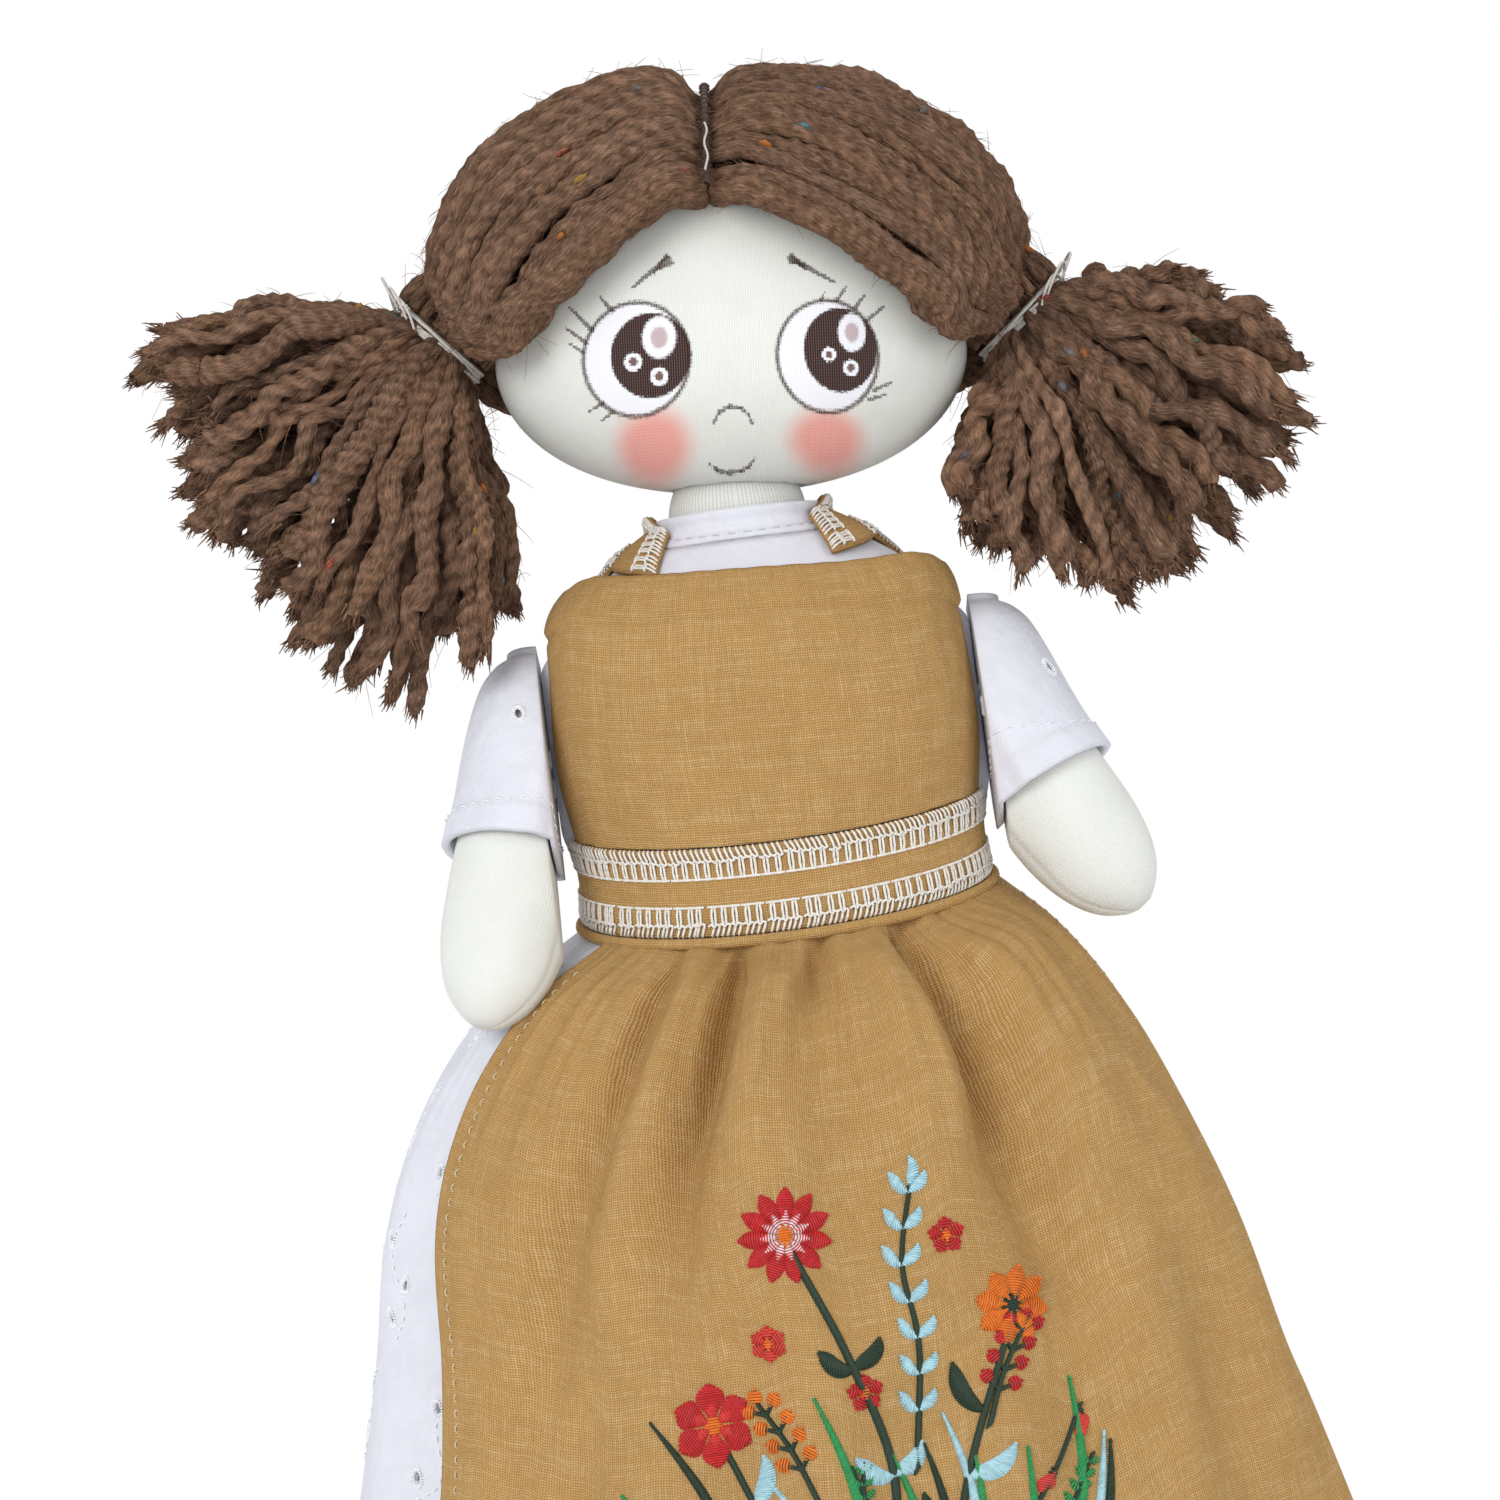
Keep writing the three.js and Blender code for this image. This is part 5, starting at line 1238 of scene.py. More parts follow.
@dataclass(frozen=True)
class HeadForm:
    """Rounded shape of the head or the wig in the head's own frame, in millimetres."""

    width: float = 43.0
    depth: float = 35.0
    middle: float = 30.5
    lower: float = 26.0
    upper: float = 43.0
    dip: float = 0.0
    power: float = 2.2
    dip_width: float = 7.0

    def point(self, ways: Array, inset: Union[Array, float] = 0.0) -> Array:
        """Points in directions from the middle.

        Args:
            ways: Directions, each share of width, depth and height.
            inset: Distance in from the surface.

        Returns:
            Points, (..., 3).
        """
        level = np.hypot(ways[..., 0], ways[..., 1])
        reach = (level**self.power + np.abs(ways[..., 2]) ** self.power) ** (-1 / self.power)
        held = ways * reach[..., None]
        x = (self.width - inset) * held[..., 0]
        notch = np.maximum(held[..., 2], 0) * self.dip * bell(x, self.dip_width)
        tall = np.where(held[..., 2] < 0, self.lower, self.upper) - inset
        side = held[..., 1] / np.maximum(level * reach, 1e-6)
        return np.stack([x, (self.depth - inset) * held[..., 1] - notch / 2 * side,
                         self.middle + tall * held[..., 2] - notch], -1)

    def way(self, x: Array, z: Array) -> Array:
        """Direction of the front surface's point at x and z."""
        share = (z - self.middle) / np.where(z < self.middle, self.lower, self.upper)
        reach = np.maximum(1 - np.abs(share) ** self.power, 0) ** (1 / self.power)
        side = np.clip(x / self.width, -reach * 0.9999, reach * 0.9999)
        return np.stack([side, -np.sqrt(np.maximum(reach**2 - side**2, 0)), share], -1)


HEAD_TILT = math.radians(5)
WIG_FORM = HeadForm(55.7, 46.0, 41.0, 32.0, 41.5, 3.2)


def on_head(points: Array) -> Array:
    """Points of the head's own frame, moved on to the doll."""
    c, s = math.cos(HEAD_TILT), math.sin(HEAD_TILT)
    x, y, z = points[..., 0], points[..., 1], points[..., 2]
    return np.stack([x * c + z * s, y, NECK_HEIGHT - x * s + z * c], -1)


def off_head(points: Array) -> Array:
    """Points of the doll in the head's own frame."""
    c, s = math.cos(HEAD_TILT), math.sin(HEAD_TILT)
    x, y, z = points[..., 0], points[..., 1], points[..., 2] - NECK_HEIGHT
    return np.stack([x * c - z * s, y, x * s + z * c], -1)


@dataclass
class HeadPiece:
    """Stuffed head with its printed face."""

    form: HeadForm = HeadForm()
    face_turn: float = math.radians(2.4)
    socket: float = 12.95

    def printed(self, points: Array) -> Array:
        """Flat coordinates of the print: the front view of the face, and far away on the back."""
        held = off_head(points)
        x, z = turned(held[:, 0], held[:, 2], self.face_turn)
        return np.stack([np.where(held[:, 1] > 0, x + 900, x), z], -1)

    def build(self) -> None:
        """Makes the head, with a socket for the neck underneath."""
        shares = -np.cos(math.pi * (0.02 + 0.96 * np.linspace(0, 1, 110)))
        angles = circle(200)
        reach = ((1 - np.abs(shares) ** self.form.power) ** (1 / self.form.power))[:, None]
        points = self.form.point(around(reach, reach, angles, shares[:, None])[::-1])
        radius = np.linalg.norm(points[..., :2], axis=-1)
        room = np.sqrt(np.maximum(self.socket**2 - radius**2, 0))
        under = (points[..., 2] < self.form.middle) & (points[..., 2] < room)
        points[..., 2] = np.where(under, room, points[..., 2])
        side = self.form.width * np.sin(angles[:51])
        steps = np.diff(np.stack([side, self.form.depth * np.cos(angles[:51])]))
        arc = np.r_[0, np.cumsum(np.hypot(*steps))]
        closed = np.concatenate([points, points[:, :1]], 1)
        u = np.sign(closed[..., 0]) * np.interp(np.abs(closed[..., 0]), side, arc)
        flat = np.pad(np.stack([u, closed[..., 2]], -1), ((2, 2), (0, 0), (0, 0)), "edge")
        mesher = Mesher()
        mesher.grid(on_head(loft(points)), flat, True, True)
        head = mesher.build("head_knit", [FACE.make()], {"print": self.printed})
        settle(head, "head", Slot.KNIT, "head")


class Side(Enum):
    """Side of the doll in the picture."""

    LEFT = -1
    RIGHT = 1

    @property
    def word(self) -> str:
        """Side's word in the names of the pieces."""
        return self.name.lower()


BROWNS = (srgb(150, 114, 92), srgb(165, 127, 103), srgb(136, 102, 81), srgb(154, 116, 90),
          srgb(142, 109, 90))
NEPPS = (srgb(86, 108, 150), srgb(206, 118, 40), srgb(150, 44, 50), srgb(200, 160, 60), srgb(94, 122, 96),
         srgb(52, 140, 150), srgb(120, 128, 138), srgb(176, 84, 62))


def wander(chance: Chance, count: int, steps: int, size: float, waves: float = 3.0) -> Array:
    """Smooth random drift along strands.

    Args:
        chance: Source of chance.
        count: Number of strands.
        steps: Points of each strand.
        size: Size of the drift.
        waves: Rough number of waves along a strand.

    Returns:
        Drift, (count, steps, 3).
    """
    share = np.linspace(0, 1, steps)[None, :, None, None]
    turns = chance.uniform(0.3, 1.0, (count, 1, 3, 4)) * waves
    phase = chance.uniform(0, TURN, (count, 1, 3, 4))
    return size * np.sin(TURN * turns * share + phase).mean(-1) * 1.4


def slubs(chance: Chance, count: int, steps: int, size: float, waves: float) -> Array:
    """Uneven thickness along strands, about one, (count, steps)."""
    return 1 + wander(chance, count, steps, size, waves)[..., 0]


def browns(chance: Chance, count: int, low: float, high: float) -> Array:
    """One of the yarn's browns for each strand, darker or lighter by chance."""
    return np.asarray(BROWNS)[chance.integers(0, len(BROWNS), count)] * chance.uniform(low, high, (count, 1))


@dataclass
class Wool:
    """Strands of tweed yarn with their loose fibres and nepps."""

    seed: int
    twist: float = 1.0
    plies: int = 2
    sides: int = 12

    def lay(self, mesher: Mesher, paths: Array, radii: Array) -> None:
        """Adds strands, each in its own brown, with painted shade in the grooves between their plies."""
        chance = np.random.default_rng(self.seed + len(paths))
        tint = browns(chance, len(paths), 0.8, 1.12)
        lay = chance.uniform(0.08, 0.2, (len(paths), 1, 1))
        depth = chance.uniform(0.05, 0.24, (len(paths), 1, 1)) * self.twist
        # the last argument paints shade into the grooves between the plies
        mesher.tubes(paths, radii, self.sides, tint, self.plies, lay, depth, 0, 0.5)

    def fuzz(self, mesher: Mesher, paths: Array, radii: Array, count: int, long: float = 2.4) -> None:
        """Adds loose fibres that curl off the strands.

        Args:
            mesher: Piece to add to.
            paths: Middle lines of the strands.
            radii: Radius at each point.
            count: Number of fibres.
            long: Usual length of a fibre.
        """
        chance = np.random.default_rng(self.seed + 5)
        strand = chance.integers(0, len(paths), count)
        step = chance.integers(2, paths.shape[1] - 2, count)
        start, along = paths[strand, step], unit(paths[strand, step + 1] - paths[strand, step - 1])
        out = chance.normal(0, 1, (count, 3))
        out = unit(out - along * np.sum(out * along, -1, keepdims=True))
        reach = radii[strand, step][:, None]
        size = chance.gamma(4, long / 4, (count, 1))
        bend = chance.normal(0, 0.5, (count, 3))
        share = np.linspace(0, 1, 5)[None, :, None]
        ways = along * chance.choice([-1, 1], (count, 1)) + out * chance.uniform(0.1, 0.9, (count, 1))
        sag = (bend * size * 0.5)[:, None] * share**2 - np.array([0, 0, 0.25]) * size[:, None] * share**2
        lines = (start + out * reach * 0.96)[:, None] + (ways * size)[:, None] * share + sag
        mesher.tubes(lines, np.linspace(0.075, 0.03, 5), 3, browns(chance, count, 1.0, 1.7))

    def nepps(self, mesher: Mesher, paths: Array, radii: Array, count: int) -> None:
        """Adds bright nepps on the strands."""
        chance = np.random.default_rng(self.seed + 9)
        strand = chance.integers(0, len(paths), count)
        step = chance.integers(4, paths.shape[1] - 6, count)
        away = unit(chance.normal(0, 0.6, (count, 3)) + (0, -1.3, 0.4))
        share = np.linspace(-1, 1, 6)
        ahead = unit(paths[strand, step + 2] - paths[strand, step - 2])
        spot = paths[strand, step] + away * radii[strand, step][:, None] * 1.05
        long = chance.uniform(0.8, 1.7, (count, 1, 1))
        lines = spot[:, None] + ahead[:, None] * share[None, :, None] * long
        swell = (1 - share**2 * 0.9)[None] * chance.uniform(0.5, 0.85, (count, 1))
        mesher.tubes(lines + wander(chance, count, 6, 0.2), swell, 7,
                     np.asarray(NEPPS)[chance.integers(0, len(NEPPS), count)])


@dataclass(frozen=True)
class TieFrame:
    """Place and axes of one pigtail's tie in the head's own frame."""

    side: Side
    out: float = 48.5
    rise: float = 38.5
    drop: float = math.radians(47)

    def point(self, top: Array, back: Array, along: Array) -> Array:
        """Points from their distances to the top side, to the back and along the bunch."""
        way = self.side.value
        c, s = math.cos(self.drop), math.sin(self.drop)
        x = way * (self.out + along * c + top * s)
        return np.stack([x, np.broadcast_to(back, x.shape), self.rise - along * s + top * c], -1)


def off_middle(points: Array) -> Array:
    """Points near the parting, which lies a little to the doll's right."""
    return points - np.exp(-((points[..., :1] / 15) ** 2)) * (2.8, 0, 0)


@dataclass
class WigHalfPiece:
    """Half of the wig: strands from the parting down to the tie, over a near-black base cap that paints the
    shade between the strands.
    """

    side: Side
    form: HeadForm = WIG_FORM
    strands: int = 44
    steps: int = 64
    start: float = math.radians(-68.5)
    end: float = math.radians(140)
    radius: float = 2.0
    rim_reach: float = 9.0
    hairline: tuple[tuple[float, float], ...] = (
        (0, 58.2), (8, 55), (15, 50.8), (24.3, 44.3), (31.5, 39), (38, 34), (42.3, 29.2))

    def ways(self, turns: Array, pull: Array) -> Array:
        """Directions along strands that start at angles of the parting.

        Args:
            turns: Angle of each strand's start.
            pull: How far each strand follows the hairline, from 0 to 1.

        Returns:
            Directions, (count, steps, 3), for the right side.
        """
        tie = unit(np.array([51 / self.form.width, 0, -4.5 / self.form.lower]))
        share = np.linspace(0, 1, self.steps)
        starts = unit(np.stack([np.full(len(turns), 0.03), np.sin(turns), np.cos(turns)], -1))
        line = np.asarray(self.hairline)
        guide = np.vstack([unit(self.form.way(line[:, 0], line[:, 1])), tie])
        guide = unit(curve_points(guide, self.steps))
        edge = unit(np.array([0.03, math.sin(self.start), math.cos(self.start)]))
        return unit(arc(starts, tie, share) + (guide - arc(edge, tie, share)) * pull[:, None, None])

    def paths(self, turns: Array, pull: Array, inset: Array, rings: Array, chance: Chance,
              loose: float) -> Array:
        """Middle lines of strands on the doll.

        Args:
            turns: Angle of each strand's start.
            pull: How far each follows the hairline.
            inset: Distance of each from the wig's surface.
            rings: Distance of each from the tie's middle.
            chance: Source of chance.
            loose: Size of the strands' drift.

        Returns:
            Points, (count, steps, 3).
        """
        share = np.linspace(0, 1, self.steps)
        ways = self.ways(turns, pull)
        sink = 2.6 * (1 - smooth(0, 0.07, share))
        points = self.form.point(ways, inset[:, None] + sink)
        part = (turns - self.start) / (self.end - self.start)
        angle = np.radians(np.interp(part, [0, 0.33, 1], [-155, 0, 155]))
        tie = TieFrame(Side.RIGHT)
        ends = tie.point(rings * np.cos(angle), rings * np.sin(angle), 4.6)
        near = tie.point(rings * 1.12 * np.cos(angle), rings * 1.12 * np.sin(angle), -2.0)
        blend = smooth(0.74, 0.97, share)[None, :, None]
        lead = near[:, None] + (ends - near)[:, None] * smooth(0.86, 1, share)[None, :, None]
        points = points * (1 - blend) + lead * blend
        points = points + wander(chance, len(turns), self.steps, loose) * (1 - blend)
        points[..., 0] = np.maximum(points[..., 0], 1.0 + 1.4 * smooth(0, 0.1, share))
        return on_head(off_middle(points * (self.side.value, 1, 1)))

    def build(self) -> None:
        """Makes the strands, their fibres and nepps, over a near-black base cap that paints the shade
        between them.
        """
        chance = np.random.default_rng(31 + self.side.value)
        mesher = Mesher()
        turns, steps = np.linspace(self.start, self.end, self.strands), np.arange(self.strands)
        reach = self.rim_reach
        pull = bell(steps, reach)
        rings = np.where(steps % 2, 7.4, 10.2)
        base = self.paths(turns, pull, np.full(self.strands, 5.4), rings * 0.9, chance, 0.0)
        # painted shade: the base cap is a near-black brown sheet seen between the strands
        mesher.grid(base, None, False, self.side is Side.LEFT, None, tuple(c * 0.3 for c in BROWNS[2]))
        inset = 2.3 + chance.normal(0, 0.25, self.strands)
        main = self.paths(turns + chance.normal(0, 0.008, self.strands), pull, inset, rings, chance, 0.8)
        rim_turns = np.r_[self.start + np.array([0.03, 0.05, 0.07]), self.end - np.array([0.04, 0.07])]
        rim = self.paths(rim_turns, np.array([1, 1, 1, 0, 0.0]), np.array([4.6, 7.0, 9.2, 5.0, 7.6]),
                         np.array([8.0, 6.5, 5, 7, 6.0]), chance, 0.25)
        over_turns = chance.uniform(self.start + 0.12, self.end - 0.1, 12)
        over = self.paths(over_turns, bell((over_turns - self.start) / 0.0823, reach),
                          np.full(12, 1.7), np.full(12, 8.6), chance, 1.0)
        share = np.linspace(0, 1, self.steps)
        shape = (1 - 0.48 * smooth(0.62, 0.98, share)) * (0.72 + 0.28 * smooth(0, 0.06, share))
        wool = Wool(40 + self.side.value, 0.65)
        for paths, radius in ((main, self.radius), (rim, self.radius * 0.9), (over, self.radius * 0.62)):
            sizes = chance.uniform(0.84, 1.14, (len(paths), 1))
            thick = radius * shape * sizes * slubs(chance, len(paths), self.steps, 0.18, 9.0)
            wool.lay(mesher, paths, thick)
        radii = self.radius * shape * np.ones((len(main), 1))
        wool.fuzz(mesher, main, radii, 4000)
        wool.nepps(mesher, main, radii, 34)
        mesher.piece(f"wig_{self.side.word}", WOOL, "head", Slot.YARN, f"hair_{self.side.word}")


@dataclass
class PartingPiece:
    """Painted shade of the parting's groove and the thread seam along it, from the hairline over the crown
    to the nape.
    """

    form: HeadForm = WIG_FORM
    start: float = math.radians(-68)
    end: float = math.radians(108)
    stitches: int = 66

    def build(self) -> None:
        """Makes a near-black core tube that paints the shade in the parting's groove, and the stitches that
        cross it.
        """
        turns = np.linspace(self.start, self.end, 200)
        ways = np.stack([np.zeros(200), np.sin(turns), np.cos(turns)], -1)
        line = self.form.point(ways, 1.5)
        mesher = Mesher()
        # painted shade: a near-black tube along the parting's groove
        dark = tuple(c * 0.25 for c in BROWNS[2])
        mesher.tubes(on_head(off_middle(line))[None], 0.6, 8, dark)
        share = np.linspace(-1, 1, 6)
        lean = np.where(np.arange(self.stitches) % 2, 0.01, -0.01)[:, None]
        angle = np.linspace(self.start, self.end, self.stitches)[:, None] + lean * share
        across = np.broadcast_to(0.85 * share / self.form.width, angle.shape)
        ways = np.stack([across, np.sin(angle), np.cos(angle)], -1)
        lines = self.form.point(ways, 1.5 - 0.6 * (1 - share**2))
        mesher.tubes(on_head(off_middle(lines)), 0.18, 6, srgb(74, 52, 42))
        turns = np.linspace(math.radians(-65), math.radians(-49), 60)
        ways = np.stack([0.25 * np.sin(turns * 40) / self.form.width, np.sin(turns), np.cos(turns)], -1)
        pale = on_head(off_middle(self.form.point(ways, 0.6)))
        mesher.tubes(pale[None], 0.2, 6, srgb(212, 204, 194), 2, 0.8, 0.2)
        mesher.piece("parting_seam", FLOSS, "head", Slot.THREAD, "parting_stitch")


@dataclass
class PigtailPiece:
    """Bunch of yarn strands that hangs from its tie, and the elastic thread round it."""

    side: Side
    fan: tuple[tuple[float, float], ...]
    strands: int = 96
    steps: int = 60
    radius: float = 1.95
    throat: float = 9.6
    fray: int = 26

    def sheaf(self, chance: Chance) -> Array:
        """Middle lines of the strands in the tie's own frame: top side, back, along."""
        tie = TieFrame(self.side)
        fan = np.asarray(sorted(self.fan))
        rows = 6
        per = self.strands // rows
        lines = []
        for row in range(rows):
            layer = -1 + 2 * (row + 0.5) / rows
            for index in range(per):
                share = (index + 0.5 + chance.uniform(-0.3, 0.3)) / per
                turn = fan[0, 0] + (fan[-1, 0] - fan[0, 0]) * share
                turn = turn * (1 - 0.16 * layer * layer)
                reach = np.interp(turn, fan[:, 0], fan[:, 1])
                reach *= (1 - 0.1 * abs(layer)) * chance.uniform(0.84, 1.0)
                lines.append(self.strand(tie, math.radians(turn), layer + chance.uniform(-0.12, 0.12),
                                         float(reach), chance))
        return np.stack(lines)

    def strand(self, tie: TieFrame, turn: float, layer: float, reach: float,
               chance: Chance) -> Array:
        """One strand, kept short where it would enter the shoulder.

        Args:
            tie: Frame of the tie.
            turn: Angle of the tip from the bunch's axis, to the top side.
            layer: Depth in the bunch, from -1 in front to 1 at the back.
            reach: Distance of the tip from the tie.
            chance: Source of chance.

        Returns:
            Points on the doll, (steps, 3).
        """
        inner = np.array([turn / 1.15, layer])
        inner = inner / max(1.0, float(np.linalg.norm(inner))) * self.throat * 0.86
        early = turn * 1.22 + 0.05
        spread = TieFrame(self.side, 54.0, 33.0, math.radians(52))
        for _ in range(24):
            stops = [(inner[0] * 0.8, inner[1] * 0.8, 1.5), (inner[0], inner[1], 6.6),
                     (inner[0] * 1.25 + math.sin(early) * 4, inner[1] * 1.5, 11.0)]
            for share, bend, deep in ((0.42, early, 17.5), (0.72, turn * 1.1, 18.5), (1, turn, 14.5)):
                stops.append((reach * share * math.sin(bend), layer * deep, reach * share * math.cos(bend)))
            lead, tips = np.asarray(stops[:3]), np.asarray(stops[3:])
            placed = on_head(np.vstack([tie.point(*lead.T), spread.point(*tips.T)]))
            beside = np.hypot(placed[3:, 0], placed[3:, 1]) < 61.5
            floor = 286.5 if layer < -0.55 else 304.5
            if not np.any(beside & (placed[3:, 2] < floor)):
                break
            reach *= 0.965
        if layer < -0.55:
            placed[-1, 1] = min(placed[-1, 1], -15.5)
        return curve_points(placed + np.r_[np.zeros((3, 3)), chance.normal(0, 1.0, (3, 3))], self.steps)

    def build(self) -> None:
        """Makes the strands with their fibres, and the tie."""
        chance = np.random.default_rng(60 + self.side.value)
        share = np.linspace(0, 1, self.steps)
        paths = self.sheaf(chance)
        paths = paths + wander(chance, len(paths), self.steps, 1.5, 4.0) * smooth(0.25, 0.5, share)[:, None]
        run = np.linalg.norm(paths - paths[:, :1], axis=-1)
        shape = (0.6 + 0.4 * smooth(8, 17, run)) * (1 - 0.3 * smooth(0.95, 1.0, share))
        sizes = chance.uniform(0.62, 1.22, (len(paths), 1))
        radii = self.radius * shape * sizes * slubs(chance, len(paths), self.steps, 0.22, 7.0)
        wool, mesher = Wool(80 + self.side.value), Mesher()
        wool.lay(mesher, paths, radii)
        wool.fuzz(mesher, paths, radii, 4000)
        ends = np.repeat(unit(paths[:, -1] - paths[:, -4]), self.fray, axis=0)
        tips = np.repeat(paths[:, -1], self.fray, axis=0) + chance.normal(0, 0.62, (len(ends), 3)) - ends
        ways = unit(chance.normal(0, 0.3, (len(tips), 3)) + ends) * chance.uniform(1.2, 3.4, (len(tips), 1))
        strays = tips[:, None] + ways[:, None] * np.linspace(-0.3, 1, 4)[None, :, None]
        mesher.tubes(strays, np.linspace(0.26, 0.06, 4), 4, browns(chance, len(tips), 0.7, 1.3))
        wool.nepps(mesher, paths, radii, 44)
        word = self.side.word
        mesher.piece(f"bunch_{word}", WOOL, f"pigtail_{word}", Slot.YARN, f"pigtail_{word}")
        self.tie()

    def tie(self) -> None:
        """Makes the elastic thread wound round the throat, with loose loops."""
        chance = np.random.default_rng(90 + self.side.value)
        place, mesher = TieFrame(self.side), Mesher()
        turns = np.linspace(0, TURN * 5, 220)
        reach = self.throat - 0.2 + 0.25 * np.sin(turns * 0.37 + 1) + 0.15 * np.sin(turns * 2.3)
        along = 6.6 + 0.95 * np.sin(turns * 0.21) + 0.2 * np.sin(turns * 1.7)
        winding = on_head(place.point(reach * np.cos(turns), reach * np.sin(turns), along))
        mesher.tubes(winding[None], 0.34, 7, srgb(214, 208, 200), 2, 0.6, 0.12)
        share = np.linspace(0, 1, 30)
        swing = np.sin(math.pi * share)
        for index in range(3):
            out = self.throat + 0.5 + (5.5 - 1.3 * index) * swing
            angle = chance.uniform(-0.4, 0.5) - 0.5 + 0.8 * share + 0.3 * index
            loop = place.point(out * np.cos(angle), -out * np.sin(angle) * 0.7 - 3.0 * share,
                               6.6 - 2.4 * swing + index * 0.5)
            mesher.tubes(on_head(loop)[None], 0.26, 6, srgb(218, 213, 205))
        word = self.side.word
        mesher.piece(f"elastic_{word}", FLOSS, f"pigtail_{word}", Slot.THREAD, f"hair_tie_{word}")


LEFT_FAN = ((63, 53), (54, 58), (43, 54), (18, 55), (-1, 57), (-20, 66.6), (-35, 69), (-43, 67), (-56, 52))
RIGHT_FAN = ((71, 28), (57, 39), (45, 53.6), (38, 57), (24.6, 57), (14, 57), (2, 55), (-8, 56), (-16, 57),
             (-27, 56.5), (-38, 53), (-46, 48), (-54.6, 41.6), (-67, 33))


def linen_strip(cloth: Cloth, names: tuple[str, str, str], seams: dict[str, int], wide: float) -> None:
    """Makes a strip of linen with overlock seams along its edges.

    Args:
        cloth: The strip.
        names: Names of the piece, of its seam and of the solid that it stands for.
        seams: Seed of the seam along each edge.
        wide: Width of the seams.
    """
    mesher, threads = cloth.sheet(), Mesher()
    for edge, seed in seams.items():
        cloth.overlock(threads, edge, wide, seed)
    strip = mesher.piece(names[0], LINEN, "torso", Slot.LINEN, names[2])
    seam = threads.piece(names[1], FLOSS, "torso", Slot.THREAD)


@dataclass(frozen=True)
class Eyelet:
    """Oval hole of the eyelet work, in flat millimetres."""

    u: float
    v: float
    wide: float = 1.0
    tall: float = 1.0
    lean: float = 0.0

    def holds(self, places: Array) -> Array:
        """Whether places lie in the hole."""
        u, v = turned(places[..., 0] - self.u, places[..., 1] - self.v, -self.lean)
        return (u / self.wide) ** 2 + (v / self.tall) ** 2 < 1

    def ring(self, grow: float, steps: int) -> Array:
        """Places round the hole."""
        turns = np.linspace(0, TURN, steps)
        u, v = turned((self.wide + grow) * np.cos(turns), (self.tall + grow) * np.sin(turns), self.lean)
        return np.stack([self.u + u, self.v + v], -1)


def eyelet_work(mesher: Mesher, cloth: Cloth, eyelets: Sequence[Eyelet]) -> None:
    """Sews satin rims round the holes of a cloth."""
    threads = []
    for eyelet in eyelets:
        girth = math.pi * (eyelet.wide + eyelet.tall + 1.0)
        steps = max(int(girth / 0.42), 10)
        inner, outer = eyelet.ring(-0.12, steps), eyelet.ring(0.6, steps)
        share = np.linspace(0, 1, 5)[:, None]
        threads.append(inner[:-1, None] * (1 - share) + outer[:-1, None] * share)
    places = np.concatenate(threads)
    mesher.tubes(cloth.spot(places, np.array([-0.2, 0.16, 0.24, 0.18, -0.1])), 0.2, 5, EYELET_TINT)


def pierced(cloth: Cloth, eyelets: Sequence[Eyelet]) -> Array:
    """Which faces of a cloth stay round its holes."""
    middle = (cloth.flat[:-1, :-1] + cloth.flat[1:, 1:]) / 2
    keep = np.ones(middle.shape[:2], bool)
    for eyelet in eyelets:
        keep &= ~eyelet.holds(middle)
    return keep


